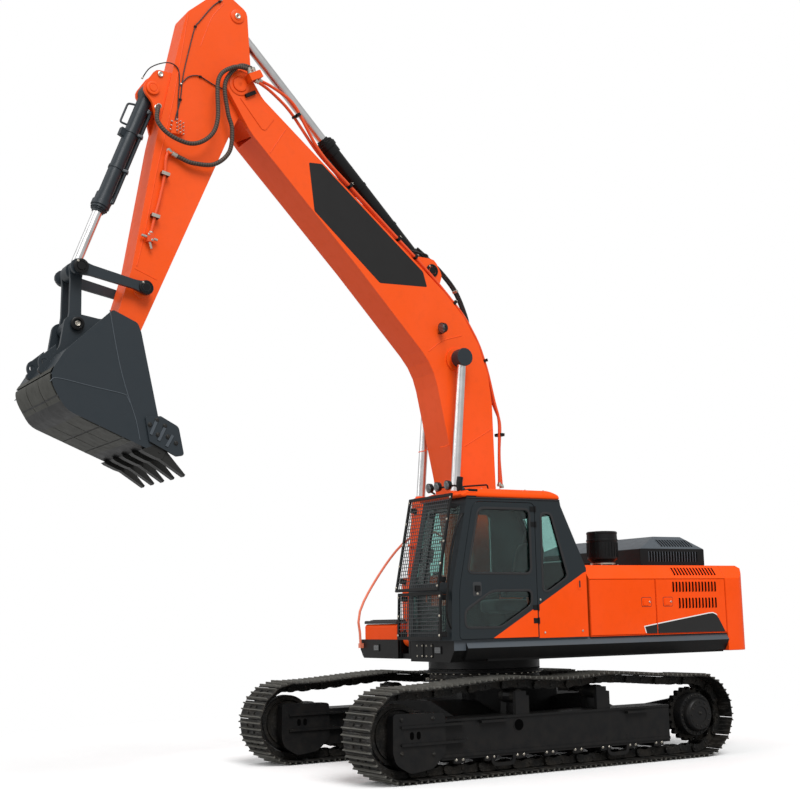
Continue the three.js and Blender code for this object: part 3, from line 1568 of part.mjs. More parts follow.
function frontEquipment() {
  const boomGroup = group("boom_pivot", BOOM_FOOT[0], BOOM_FOOT[1], piece("boom", boom(), ORANGE));
  boomGroup.rotation.x = -radians(BOOM_LIFT);
  const armGroup = group("arm_pivot", -BOOM_LENGTH, 0, piece("arm", arm(), ORANGE));
  armGroup.rotation.x = -radians(ARM_DROP - BOOM_LIFT);
  const bucketGroup = group("bucket_pivot", -ARM_LENGTH, 0, piece("bucket", bucket(), SLATE));
  bucketGroup.rotation.x = radians(ARM_DROP);
  const linkGroup = group("link_pivot", ...BUCKET_EAR, piece("bucket_link", bucketLink(), SLATE));
  linkGroup.rotation.x = -Math.atan2(KNEE[1] - EAR[1], EAR[0] - KNEE[0]);
  bucketGroup.add(linkGroup);
  const rockerGroup = group("rocker_pivot", ...onMember(ROCKER_PIVOT));
  rockerGroup.add(piece("rocker_links", rockers(), SLATE));
  rockerGroup.rotation.x = -radians(ROCKER_ANGLE - ARM_DROP);
  const bucketCylinder = cylinder(
    "bucket_cylinder",
    BUCKET_FOOT,
    KNEE,
    barrel(BUCKET_BARREL, 190),
    rod(BUCKET_BARREL.length - 820, distance(BUCKET_FOOT, KNEE), 100, 190, 0),
    SLATE,
  );
  const armCylinder = cylinder(
    "arm_cylinder",
    ARM_FOOT,
    ARM_EYE,
    barrel(ARM_BARREL, 210, 0, 60),
    rod(ARM_BARREL.length - 310, distance(ARM_FOOT, ARM_EYE), 105, 190, 0, 60),
    BLACK,
  );
  armGroup.add(bucketGroup, rockerGroup);
  boomGroup.add(armGroup);
  const made = group("front", 0, 0, boomGroup, bucketCylinder, armCylinder, ...hoses());
  const boomReach = distance(BOOM_CYLINDER_FOOT, BOOM_EYE);
  for (const [side, word] of [[1, "left"], [-1, "right"]]) {
    made.add(
      cylinder(
        "boom_cylinder_" + word,
        BOOM_CYLINDER_FOOT,
        BOOM_EYE,
        barrel(BOOM_BARREL, 150, side * BOOM_CYLINDER_X),
        rod(BOOM_BARREL.length - 70, boomReach, 115, 150, side * BOOM_CYLINDER_X),
        ORANGE,
      ),
    );
  }
  return made;
}

const excavator = group("excavator", 0, 0, undercarriage(), upperStructure(), frontEquipment());

// The origin is the middle of the bounding box's base.
excavator.updateMatrixWorld(true);
const bounds = new THREE.Box3().setFromObject(excavator, true);
const base = bounds.getCenter(new THREE.Vector3());
const crawlerExcavator = group("crawler_excavator", 0, 0, excavator);
excavator.position.set(-base.x, -base.y, -bounds.min.z);

export default crawlerExcavator;
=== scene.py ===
"""The looks of a crawler excavator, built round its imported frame.

Lengths are in metres. +Z is up, -Y is the bucket's side and +X is the cab's side.
"""
import json
import logging
import math
from dataclasses import dataclass
from enum import Enum
from functools import cache
from typing import Optional, Sequence

import bmesh
import bpy
import numpy as np
from bpy.types import Material, Mesh, Node, NodeSocket, NodeTree, Object
from mathutils import Matrix, Vector

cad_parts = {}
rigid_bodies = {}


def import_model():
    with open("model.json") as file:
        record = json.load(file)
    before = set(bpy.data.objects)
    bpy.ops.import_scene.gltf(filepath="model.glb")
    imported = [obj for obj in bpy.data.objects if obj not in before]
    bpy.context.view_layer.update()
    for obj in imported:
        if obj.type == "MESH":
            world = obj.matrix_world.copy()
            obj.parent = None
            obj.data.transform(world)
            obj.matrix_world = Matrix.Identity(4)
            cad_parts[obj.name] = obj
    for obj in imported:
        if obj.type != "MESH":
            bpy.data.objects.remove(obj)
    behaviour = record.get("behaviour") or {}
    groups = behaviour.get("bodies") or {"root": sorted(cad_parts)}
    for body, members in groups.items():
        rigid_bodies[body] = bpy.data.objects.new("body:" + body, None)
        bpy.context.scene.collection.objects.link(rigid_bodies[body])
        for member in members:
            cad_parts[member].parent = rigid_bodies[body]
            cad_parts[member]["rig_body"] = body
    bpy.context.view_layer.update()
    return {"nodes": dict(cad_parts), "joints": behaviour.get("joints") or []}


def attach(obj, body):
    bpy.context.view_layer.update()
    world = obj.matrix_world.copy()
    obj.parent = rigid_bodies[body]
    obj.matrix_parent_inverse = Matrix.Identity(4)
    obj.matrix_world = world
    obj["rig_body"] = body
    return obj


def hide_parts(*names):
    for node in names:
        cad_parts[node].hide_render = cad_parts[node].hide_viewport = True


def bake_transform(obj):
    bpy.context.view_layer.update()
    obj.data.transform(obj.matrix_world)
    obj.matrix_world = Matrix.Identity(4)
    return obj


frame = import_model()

LOG = logging.getLogger("excavator")
JOINTS = {joint["name"]: joint for joint in frame["joints"]}
SWING_Y = float(JOINTS["swing"]["pos_m"][1])
Array = np.ndarray
X, Y, Z = np.eye(3)
UNDER, UPPER = "undercarriage", "upper_structure"
SIDES = ((1, "left"), (-1, "right"))
Colour = tuple[float, float, float]


# ------------------------------------------------------------------ surfaces


@dataclass(frozen=True)
class Patch:
    """Points and faces of one or more closed surfaces.

    Args:
        points: one row of x, y, z for each point.
        loops: the point number of each face corner, face after face.
        sizes: how many corners each face has.
    """

    points: Array
    loops: Array
    sizes: Array


def merged(*patches: Patch) -> Patch:
    """Puts patches together by shifting each one's point numbers past the last one's."""
    starts = np.cumsum([0] + [len(p.points) for p in patches[:-1]])
    return Patch(
        np.concatenate([p.points for p in patches]), np.concatenate([p.loops + s for p, s in zip(patches, starts)]),
        np.concatenate([p.sizes for p in patches]),
    )


def grid(points: Array, ring: bool = False) -> Patch:
    """A tube of rows: each row is a closed loop, and quads join it to the next row.

    Args:
        points: rows by columns by three.
        ring: True joins the last row to the first. Otherwise both ends are capped.

    Returns:
        The closed surface.
    """
    rows, columns = points.shape[:2]
    number = np.arange(rows * columns).reshape(rows, columns)
    here = number if ring else number[:-1]
    above = np.roll(number, -1, axis=0) if ring else number[1:]
    quads = np.stack([here, np.roll(here, -1, 1), np.roll(above, -1, 1), above], axis=-1)
    loops, sizes = [quads.reshape(-1)], [np.full(quads.shape[0] * columns, 4)]
    if not ring:
        loops += [number[0][::-1], number[-1]]
        sizes += [np.array([columns, columns])]
    return Patch(points.reshape(-1, 3), np.concatenate(loops), np.concatenate(sizes))


def unit(vector: Sequence[float]) -> Array:
    """The vector over its own length."""
    made = np.asarray(vector, float)
    return made / np.linalg.norm(made)


def across(axis: Array) -> tuple[Array, Array]:
    """Two unit vectors square to an axis and to each other."""
    helper = X if abs(axis[0]) < 0.9 else Z
    first = unit(np.cross(helper, axis))
    return first, np.cross(axis, first)


def circle(count: int, radius: float = 1.0, start: float = 0.0) -> Array:
    """Points at radius times (cos t, sin t), with t in equal steps round the circle."""
    t = start + np.arange(count) * 2 * math.pi / count
    return radius * np.stack([np.cos(t), np.sin(t)], axis=1)


def turned(
    profile: Sequence[tuple[float, float]], base: Sequence[float], axis: Sequence[float], count: int = 24,
    ring: bool = False
) -> Patch:
    """A surface of revolution: base + axis times h + r times (cos t, sin t) square to the axis.

    Args:
        profile: (r, h) pairs from the first cap to the last.
        base: the point on the axis where h is 0.
        axis: the direction of h.
        count: steps round the axis.
        ring: True joins the profile's end to its start, which leaves the middle open.

    Returns:
        The closed surface.
    """
    line = unit(axis)
    one, two = across(line)
    rim = circle(count)
    rh = np.asarray(profile, float)
    spokes = rim[:, :1] * one + rim[:, 1:] * two
    return grid(np.asarray(base, float) + rh[:, 1, None, None] * line + rh[:, 0, None, None] * spokes[None], ring)


def prism(outline: Array, origin: Sequence[float], u: Sequence[float], v: Sequence[float], depth: float) -> Patch:
    """A flat outline drawn out along its normal: origin + a u + b v + t (u x v), for t from 0 to depth."""
    ab = np.asarray(outline, float)
    one, two = np.asarray(u, float), np.asarray(v, float)
    flat = np.asarray(origin, float) + ab[:, :1] * one + ab[:, 1:2] * two
    return grid(np.stack([flat, flat + unit(np.cross(one, two)) * depth]))


def box(low: Sequence[float], high: Sequence[float]) -> Patch:
    """A rectangular block between two corners, as a prism along Z."""
    (x0, y0, z0), (x1, y1, z1) = low, high
    return prism([(x0, y0), (x1, y0), (x1, y1), (x0, y1)], (0, 0, z0), X, Y, z1 - z0)


def side_plate(outline: Array, x0: float, x1: float) -> Patch:
    """A prism along X of an outline of (y, z) points, between x0 and x1."""
    return prism(outline, (x0, 0, 0), Y, Z, x1 - x0)


def spline(points: Sequence[Sequence[float]], count: int) -> Array:
    """A Catmull-Rom curve: on each span a cubic whose end slopes are half the chord of the two neighbours.

    Args:
        points: the points that it passes.
        count: how many points come back, in equal steps of the parameter.

    Returns:
        count rows of x, y, z.
    """
    p = np.asarray(points, float)
    p = np.vstack([2 * p[0] - p[1], p, 2 * p[-1] - p[-2]])
    s = np.linspace(0, len(p) - 3, count)
    i = np.minimum(s.astype(int), len(p) - 4)
    t = (s - i)[:, None]
    a, b, c, d = p[i], p[i + 1], p[i + 2], p[i + 3]
    return 0.5 * (2 * b + (c - a) * t + (2 * a - 5 * b + 4 * c - d) * t**2 + (3 * b - a - 3 * c + d) * t**3)


def carried(section: Array, path: Array, up: Sequence[float] = Z, ring: bool = False) -> Patch:
    """A section carried along a path: path + a side + b lift, where side is square to the path and to up.

    Args:
        section: (a, b) points of the section's outline.
        path: the path's points.
        up: a direction that the path never runs along.
        ring: True for a closed path.

    Returns:
        The closed surface.
    """
    line = np.asarray(path, float)
    if ring:
        along = np.roll(line, -1, 0) - np.roll(line, 1, 0)
    else:
        along = np.gradient(line, axis=0)
    along /= np.linalg.norm(along, axis=1)[:, None]
    side = np.cross(along, np.asarray(up, float))
    side /= np.linalg.norm(side, axis=1)[:, None]
    lift = np.cross(side, along)
    ab = np.asarray(section, float)
    return grid(line[:, None] + ab[None, :, :1] * side[:, None] + ab[None, :, 1:2] * lift[:, None], ring)


def tube(path: Array, radius: float, count: int = 10, up: Sequence[float] = X) -> Patch:
    """A round section carried along a path."""
    return carried(circle(count, radius), path, up)


def straight(start: Sequence[float], end: Sequence[float], radius: float, count: int = 12) -> Patch:
    """A round bar between two points, as a surface of revolution with a slight bevel at its ends."""
    a, b = np.asarray(start, float), np.asarray(end, float)
    length = float(np.linalg.norm(b - a))
    lip = min(0.15 * radius, 0.2 * length)
    return turned([(radius - lip, 0), (radius, lip), (radius, length - lip), (radius - lip, length)], a, b - a, count)


def copies(patch: Patch, matrices: Array) -> Patch:
    """The patch at each of several places: its points times each 4 by 4 matrix, as one array."""
    count, many = len(patch.points), len(matrices)
    full = np.concatenate([patch.points, np.ones((count, 1))], axis=1)
    points = np.einsum("kij,nj->kni", matrices, full)[:, :, :3].reshape(-1, 3)
    loops = (patch.loops[None] + (np.arange(many) * count)[:, None]).reshape(-1)
    return Patch(points, loops, np.tile(patch.sizes, many))


def placings(origins: Array, x_axes: Array, y_axes: Array) -> Array:
    """Matrices that put a piece at each origin with its x and y axes along the given ones, and z square to both."""
    many = len(origins)
    made = np.tile(np.eye(4), (many, 1, 1))
    made[:, :3, 0] = x_axes
    made[:, :3, 1] = y_axes
    made[:, :3, 2] = np.cross(np.broadcast_to(x_axes, (many, 3)), np.broadcast_to(y_axes, (many, 3)))
    made[:, :3, 3] = origins
    return made


def bolts(places: Sequence[Sequence[float]], axis: Sequence[float], size: float = 0.016) -> Patch:
    """Six-sided bolt heads on round washers at each place, standing up along an axis."""
    line = unit(axis)
    one, two = across(line)
    washer = turned([(size * 1.35, 0), (size * 1.35, size * 0.2), (size * 1.2, size * 0.25)], (0, 0, 0), Z, 12)
    head = turned([(size, size * 0.2), (size, size * 0.75), (size * 0.8, size * 0.9)], (0, 0, 0), Z, 6)
    return copies(merged(washer, head), placings(np.asarray(places, float), one, two))


def on_circle(centre: Sequence[float], axis: Sequence[float], radius: float, count: int, start: float = 0.0) -> Array:
    """Equal places on a circle about an axis."""
    one, two = across(unit(axis))
    rim = circle(count, radius, start)
    return np.asarray(centre, float) + rim[:, :1] * one + rim[:, 1:] * two


def rounded(points: Sequence[tuple[float, float]], radius: float, steps: int = 5) -> Array:
    """An outline with each corner replaced by a quadratic curve that starts and ends a radius from it."""
    p = np.asarray(points, float)
    last, nxt = np.roll(p, 1, 0) - p, np.roll(p, -1, 0) - p
    reach_in = np.minimum(radius, 0.45 * np.linalg.norm(last, axis=1))[:, None]
    reach_out = np.minimum(radius, 0.45 * np.linalg.norm(nxt, axis=1))[:, None]
    a = p + last / np.linalg.norm(last, axis=1)[:, None] * reach_in
    c = p + nxt / np.linalg.norm(nxt, axis=1)[:, None] * reach_out
    t = np.linspace(0, 1, steps)[None, :, None]
    curve = (1 - t) ** 2 * a[:, None] + 2 * t * (1 - t) * p[:, None] + t**2 * c[:, None]
    return curve.reshape(-1, 2)


def rounded_line(points: Sequence[Sequence[float]], radius: float, steps: int = 6) -> Array:
    """An open line whose inner corners are quadratic curves that start a radius from each corner."""
    p = np.asarray(points, float)
    last, nxt = p[:-2] - p[1:-1], p[2:] - p[1:-1]
    reach_in = np.minimum(radius, 0.45 * np.linalg.norm(last, axis=1))[:, None]
    reach_out = np.minimum(radius, 0.45 * np.linalg.norm(nxt, axis=1))[:, None]
    a = p[1:-1] + last / np.linalg.norm(last, axis=1)[:, None] * reach_in
    c = p[1:-1] + nxt / np.linalg.norm(nxt, axis=1)[:, None] * reach_out
    t = np.linspace(0, 1, steps)[None, :, None]
    curve = (1 - t) ** 2 * a[:, None] + 2 * t * (1 - t) * p[1:-1, None] + t**2 * c[:, None]
    return np.vstack([p[:1], curve.reshape(-1, p.shape[1]), p[-1:]])


def shifted(patch: Patch, x: float = 0.0, y: float = 0.0, z: float = 0.0) -> Patch:
    """The patch moved by a distance along each axis."""
    return Patch(patch.points + np.array([x, y, z]), patch.loops, patch.sizes)


# ------------------------------------------------------------------ shader groups


class Tree:
    """A node tree under construction, with short calls for adding and linking nodes."""

    def __init__(self, tree: NodeTree) -> None:
        """Keeps the tree.

        Args:
            tree: a material's, the world's or a group's node tree.
        """
        self.tree = tree

    def feed(self, node: Node, links: dict) -> Node:
        """Links or sets a node's inputs.

        Args:
            node: the node.
            links: input name or number to an output socket or a constant.

        Returns:
            The node.
        """
        for key, value in links.items():
            if isinstance(value, NodeSocket):
                self.tree.links.new(value, node.inputs[key])
            else:
                node.inputs[key].default_value = value
        return node

    def add(self, kind: str, links: Optional[dict] = None, **values: object) -> Node:
        """Adds a node.

        Args:
            kind: the node's type name.
            links: what feeds its inputs.
            values: the node's own properties.

        Returns:
            The node.
        """
        node = self.tree.nodes.new(kind)
        for name, value in values.items():
            setattr(node, name, value)
        return self.feed(node, links or {})

    def maths(self, operation: str, *terms: object) -> NodeSocket:
        """The result socket of a Math node over its terms."""
        return self.add("ShaderNodeMath", dict(enumerate(terms)), operation=operation).outputs[0]

    def times(self, first: object, second: object) -> NodeSocket:
        """The product of two values."""
        return self.maths("MULTIPLY", first, second)

    def plus(self, first: object, second: object) -> NodeSocket:
        """The sum of two values."""
        return self.maths("ADD", first, second)

    def span(self, value: object, low: object, high: object, to_low: float = 0.0, to_high: float = 1.0) -> NodeSocket:
        """The result socket of a clamped Map Range node."""
        links = {"Value": value, "From Min": low, "From Max": high, "To Min": to_low, "To Max": to_high}
        return self.add("ShaderNodeMapRange", links).outputs["Result"]

    def mix(self, factor: object, first: object, second: object) -> NodeSocket:
        """The colour socket of a Mix node between two colours."""
        return self.add("ShaderNodeMix", {0: factor, 6: first, 7: second}, data_type="RGBA").outputs[2]

    def valued(self, colour: NodeSocket, value: float, saturation: float = 1.0) -> NodeSocket:
        """A colour made darker or lighter by a factor."""
        links = {"Value": value, "Saturation": saturation, "Color": colour}
        return self.add("ShaderNodeHueSaturation", links).outputs[0]

    def noise(self, vector: object, scale: object, detail: float = 3.0, rough: float = 0.5) -> NodeSocket:
        """The value socket of a Noise Texture node."""
        links = {"Vector": vector, "Scale": scale, "Detail": detail, "Roughness": rough}
        return self.add("ShaderNodeTexNoise", links).outputs[0]

    def stretched(self, vector: NodeSocket, scale: tuple[float, float, float]) -> NodeSocket:
        """Coordinates times a scale for each axis."""
        return self.add("ShaderNodeMapping", {"Vector": vector, "Scale": scale}).outputs[0]

    def here(self) -> NodeSocket:
        """The place on the object, in metres."""
        return self.add("ShaderNodeTexCoord").outputs["Object"]

    def part(self, vector: NodeSocket, number: int) -> NodeSocket:
        """One coordinate of a vector."""
        return self.add("ShaderNodeSeparateXYZ", {0: vector}).outputs[number]


FLOAT, COLOUR = "NodeSocketFloat", "NodeSocketColor"


def new_group(
    name: str, inputs: dict[str, object], outputs: dict[str, str]
) -> tuple[Tree, dict[str, NodeSocket], Node]:
    """Makes an empty shader group with named sockets.

    Args:
        name: the group's name.
        inputs: each input's name and default, four numbers for a colour.
        outputs: each output's name and socket type.

    Returns:
        The group's Tree, its inputs by name, and its output node.
    """
    group = bpy.data.node_groups.new(name, "ShaderNodeTree")
    for label, default in inputs.items():
        kind = COLOUR if isinstance(default, tuple) else FLOAT
        group.interface.new_socket(label, in_out="INPUT", socket_type=kind).default_value = default
    for label, kind in outputs.items():
        group.interface.new_socket(label, in_out="OUTPUT", socket_type=kind)
    made = Tree(group)
    source = made.add("NodeGroupInput")
    return made, {label: source.outputs[label] for label in inputs}, made.add("NodeGroupOutput")


def rgba(colour: Colour) -> tuple[float, float, float, float]:
    """The colour with full alpha."""
    return (colour[0], colour[1], colour[2], 1.0)


@cache
def weathering() -> NodeTree:
    """Paint that has stood outside: slow shade changes, fine specks, and dust low down and on upward faces."""
    t, given, sink = new_group("weathering", {
        "Base": (0.5, 0.5, 0.5, 1), "Dust": (0.3, 0.25, 0.2, 1), "Amount": 0.3, "Low": 0.0, "High": 1.5, "Shade": 0.12,
        "Rough": 0.4
    }, {"Color": COLOUR, "Roughness": FLOAT, "Height": FLOAT},)
    place = t.add("ShaderNodeTexCoord")
    here = place.outputs["Object"]
    slow, cloud = t.noise(here, 1.3, 4.0, 0.55), t.noise(here, 9.0, 5.0, 0.6)
    speck, fine = t.noise(here, 85.0, 2.0, 0.5), t.noise(here, 320.0, 2.0, 0.5)
    low = t.span(t.part(here, 2), given["High"], given["Low"])
    upward = t.span(t.part(place.outputs["Normal"], 2), 0.2, 0.9)
    gather = t.plus(t.times(low, 0.75), t.times(upward, 0.22))
    dust = t.times(t.times(gather, t.span(cloud, 0.36, 0.66)), given["Amount"])
    spots = t.times(t.span(speck, 0.66, 0.76), t.times(given["Amount"], 0.45))
    total = t.maths("MINIMUM", t.plus(dust, spots), 0.9)
    light = t.valued(given["Base"], 1.12, 0.97)
    toned = t.mix(t.times(t.span(slow, 0.35, 0.68), given["Shade"]), given["Base"], light)
    toned = t.mix(t.times(t.span(cloud, 0.5, 0.8), given["Shade"]), toned, t.valued(given["Base"], 0.72))
    rough = t.plus(given["Rough"], t.plus(t.times(total, 0.5), t.span(cloud, 0.3, 0.7, -0.05, 0.06)))
    t.feed(sink, {"Color": t.mix(total, toned, given["Dust"]), "Roughness": t.maths("MINIMUM", rough, 0.95),
                  "Height": t.plus(t.times(fine, 0.35), t.times(cloud, 0.65))})
    return t.tree


@cache
def worn_metal() -> NodeTree:
    """Bare or thinly painted steel: rubbed bright streaks, rust brown and packed soil."""
    t, given, sink = new_group("worn_metal", {
        "Base": (0.05, 0.05, 0.05, 1), "Rubbed": (0.25, 0.24, 0.22, 1), "Soil": (0.09, 0.065, 0.04, 1), "Rubbing": 0.3,
        "Soiling": 0.4
    }, {"Color": COLOUR, "Roughness": FLOAT, "Metallic": FLOAT, "Height": FLOAT},)
    here = t.here()
    streak = t.span(t.noise(t.stretched(here, (3.0, 26.0, 26.0)), 2.2, 4.0, 0.6), 0.52, 0.68)
    blot, pit = t.noise(here, 6.5, 6.0, 0.62), t.noise(here, 120.0, 3.0, 0.6)
    rubbed = t.times(streak, given["Rubbing"])
    soiled = t.times(t.span(blot, 0.42, 0.64), given["Soiling"])
    matt = t.maths("SUBTRACT", t.plus(soiled, t.times(pit, 0.3)), t.times(rubbed, 0.5))
    t.feed(sink, {
        "Color": t.mix(soiled, t.mix(rubbed, given["Base"], given["Rubbed"]), given["Soil"]),
        "Roughness": t.span(matt, -0.3, 0.8, 0.34, 0.92), "Metallic": t.times(t.maths("SUBTRACT", 1.0, soiled), 0.55),
        "Height": t.plus(t.times(pit, 0.4), blot)
    })
    return t.tree


@cache
def grain() -> NodeTree:
    """A moulded grain: cells at one scale over slow shade changes."""
    t, given, sink = new_group(
        "grain", {"Base": (0.03, 0.03, 0.03, 1), "Scale": 300.0, "Rough": 0.6},
        {"Color": COLOUR, "Roughness": FLOAT, "Height": FLOAT}
    )
    here = t.here()
    cloud = t.noise(here, 7.0, 4.0, 0.6)
    light = t.valued(given["Base"], 1.7)
    t.feed(sink, {
        "Color": t.mix(t.span(cloud, 0.35, 0.75, 0.0, 0.55), given["Base"], light),
        "Roughness": t.plus(given["Rough"], t.span(cloud, 0.3, 0.7, -0.08, 0.1)),
        "Height": t.add("ShaderNodeTexVoronoi", {"Vector": here, "Scale": given["Scale"]}).outputs["Distance"]
    })
    return t.tree


# ------------------------------------------------------------------ finishes


class Surface(Tree):
    """A new material, as a Principled BSDF on its output and the nodes that feed it."""

    def __init__(self, name: str) -> None:
        """Makes the material.

        Args:
            name: the material's name.
        """
        self.material = bpy.data.materials.new(name)
        self.material.use_nodes = True
        self.material.node_tree.nodes.clear()
        super().__init__(self.material.node_tree)
        self.shader = self.add("ShaderNodeBsdfPrincipled")
        self.add("ShaderNodeOutputMaterial", {0: self.shader.outputs[0]})

    def effect(self, group: NodeTree, **values: object) -> bpy.types.bpy_prop_collection:
        """The outputs of a shared group placed with its own values."""
        return self.add("ShaderNodeGroup", values, node_tree=group).outputs

    def bump(self, height: NodeSocket, depth: float, strength: float) -> NodeSocket:
        """The normal of a height."""
        return self.add("ShaderNodeBump", {"Height": height, "Distance": depth, "Strength": strength}).outputs[0]

    def fed(self, **links: object) -> Material:
        """Feeds the shader's sockets, an underscore standing for a space, and gives the material back."""
        self.feed(self.shader, {name.replace("_", " "): value for name, value in links.items()})
        return self.material


@dataclass(frozen=True)
class PaintFinish:
    """Sprayed paint on steel that has weathered a little.

    Args:
        name: the material's name.
        colour: the paint's own colour.
        roughness: how matt it is.
        dust: how much dust lies on it.
        shade: how much its tone changes.
        coat: the weight of its clear coat.
        low: the height where dust is thickest.
        high: the height above which dust stops.
        bump: the depth of its unevenness.
        shine: how strongly it mirrors the light.
    """

    name: str
    colour: Colour
    roughness: float = 0.4
    dust: float = 0.3
    shade: float = 0.25
    coat: float = 0.3
    low: float = 0.2
    high: float = 2.0
    bump: float = 0.0012
    shine: float = 0.35

    def material(self) -> Material:
        """Builds the material."""
        s = Surface(self.name)
        out = s.effect(
            weathering(), Base=rgba(self.colour), Dust=(0.30, 0.235, 0.17, 1), Amount=self.dust, Low=self.low,
            High=self.high, Shade=self.shade, Rough=self.roughness
        )
        return s.fed(
            Base_Color=out["Color"], Roughness=out["Roughness"], Specular_IOR_Level=self.shine, Coat_Weight=self.coat,
            Coat_Roughness=0.12, Normal=s.bump(out["Height"], self.bump, 0.5)
        )


@dataclass(frozen=True)
class SteelFinish:
    """Worn steel, from rusty and soiled to rubbed bright.

    Args:
        name: the material's name.
        colour: the dark steel under the wear.
        rubbing: how much of it is rubbed bright.
        soiling: how much of it is soiled.
    """

    name: str
    colour: Colour
    rubbing: float = 0.35
    soiling: float = 0.45

    def material(self) -> Material:
        """Builds the material."""
        s = Surface(self.name)
        out = s.effect(worn_metal(), Base=rgba(self.colour), Rubbing=self.rubbing, Soiling=self.soiling)
        return s.fed(Base_Color=out["Color"], Roughness=out["Roughness"], Metallic=out["Metallic"],
                     Normal=s.bump(out["Height"], 0.003, 0.6))


@dataclass(frozen=True)
class ChromeFinish:
    """Hard chrome or bright plated steel with fine turning marks.

    Args:
        name: the material's name.
        colour: its tint.
        roughness: how dull it is.
    """

    name: str
    colour: Colour = (0.78, 0.78, 0.78)
    roughness: float = 0.12

    def material(self) -> Material:
        """Builds the material."""
        s = Surface(self.name)
        here = s.here()
        fine = s.noise(s.stretched(here, (6.0, 60.0, 60.0)), 8.0, 3.0, 0.6)
        cloud = s.span(s.noise(here, 5.0, 4.0, 0.6), 0.4, 0.75, 0.0, 0.6)
        dull = tuple(c * 0.7 for c in self.colour)
        return s.fed(
            Base_Color=s.mix(cloud, rgba(self.colour), rgba(dull)), Metallic=1.0,
            Roughness=s.plus(s.span(fine, 0.3, 0.7, 0.0, 0.05), self.roughness), Normal=s.bump(fine, 0.00002, 0.2)
        )


@dataclass(frozen=True)
class GlassFinish:
    """Tinted flat glass that lets light through.

    Args:
        name: the material's name.
        colour: the tint.
    """

    name: str
    colour: Colour

    def material(self) -> Material:
        """Builds the material."""
        s = Surface(self.name)
        cloud = s.noise(s.here(), 2.5, 3.0, 0.6)
        pale = tuple(min(1.0, c * 1.2) for c in self.colour)
        return s.fed(Base_Color=s.mix(s.span(cloud, 0.4, 0.75, 0.0, 0.5), rgba(self.colour), rgba(pale)),
                     Roughness=s.span(cloud, 0.3, 0.8, 0.0, 0.02), IOR=1.45, Metallic=0.0, Transmission_Weight=1.0)


@dataclass(frozen=True)
class GrainFinish:
    """Rubber, moulded plastic or matt cloth with a fine grain.

    Args:
        name: the material's name.
        colour: its colour.
        scale: how fine the grain is.
        roughness: how matt it is.
        depth: the depth of the grain.
        sheen: the weight of its sheen.
    """

    name: str
    colour: Colour
    scale: float = 260.0
    roughness: float = 0.6
    depth: float = 0.0008
    sheen: float = 0.0

    def material(self) -> Material:
        """Builds the material."""
        s = Surface(self.name)
        out = s.effect(grain(), Base=rgba(self.colour), Scale=self.scale, Rough=self.roughness)
        return s.fed(Base_Color=out["Color"], Roughness=out["Roughness"], Sheen_Weight=self.sheen,
                     Normal=s.bump(out["Height"], self.depth, 0.6))


@dataclass(frozen=True)
class WrapFinish:
    """A hose in a spiral wrap: ridges that wind along the piece's own UV map, with a painted highlight on their tops.

    Args:
        name: the material's name.
        colour: the wrap's colour.
        turns: windings in a metre.
    """

    name: str
    colour: Colour
    turns: float = 60.0

    def material(self) -> Material:
        """Builds the material."""
        s = Surface(self.name)
        run = s.add("ShaderNodeSeparateXYZ", {0: s.add("ShaderNodeTexCoord").outputs["UV"]}).outputs
        phase = s.plus(s.times(run[0], self.turns * 2 * math.pi), s.times(run[1], 2 * math.pi))
        ridge = s.span(s.maths("SINE", phase), -0.6, 0.8)
        cloud = s.noise(s.here(), 30.0, 3.0, 0.6)
        # worn is the ridge colour: a painted highlight along the spiral's ridges.
        worn = tuple(c * 4.5 for c in self.colour)
        edge = s.times(ridge, s.span(cloud, 0.4, 0.7, 0.6, 1.0))
        return s.fed(Base_Color=s.mix(edge, rgba(self.colour), rgba(worn)), Roughness=s.span(cloud, 0.3, 0.7, 0.5, 0.7),
                     Normal=s.bump(ridge, 0.003, 0.7))


@dataclass(frozen=True)
class LampFinish:
    """The clear front of a work lamp that is off: ribbed glass over a dark bowl.

    Args:
        name: the material's name.
    """

    name: str

    def material(self) -> Material:
        """Builds the material."""
        s = Surface(self.name)
        wave = s.add("ShaderNodeTexWave", {"Vector": s.here(), "Scale": 18.0, "Distortion": 0.4}, bands_direction="Z")
        ribs = wave.outputs["Fac"]
        return s.fed(
            Base_Color=s.mix(ribs, (0.030, 0.032, 0.034, 1), (0.16, 0.17, 0.175, 1)),
            Roughness=s.span(ribs, 0.0, 1.0, 0.05, 0.15), Metallic=0.4, Coat_Weight=1.0, Normal=s.bump(ribs, 0.001, 0.5)
        )


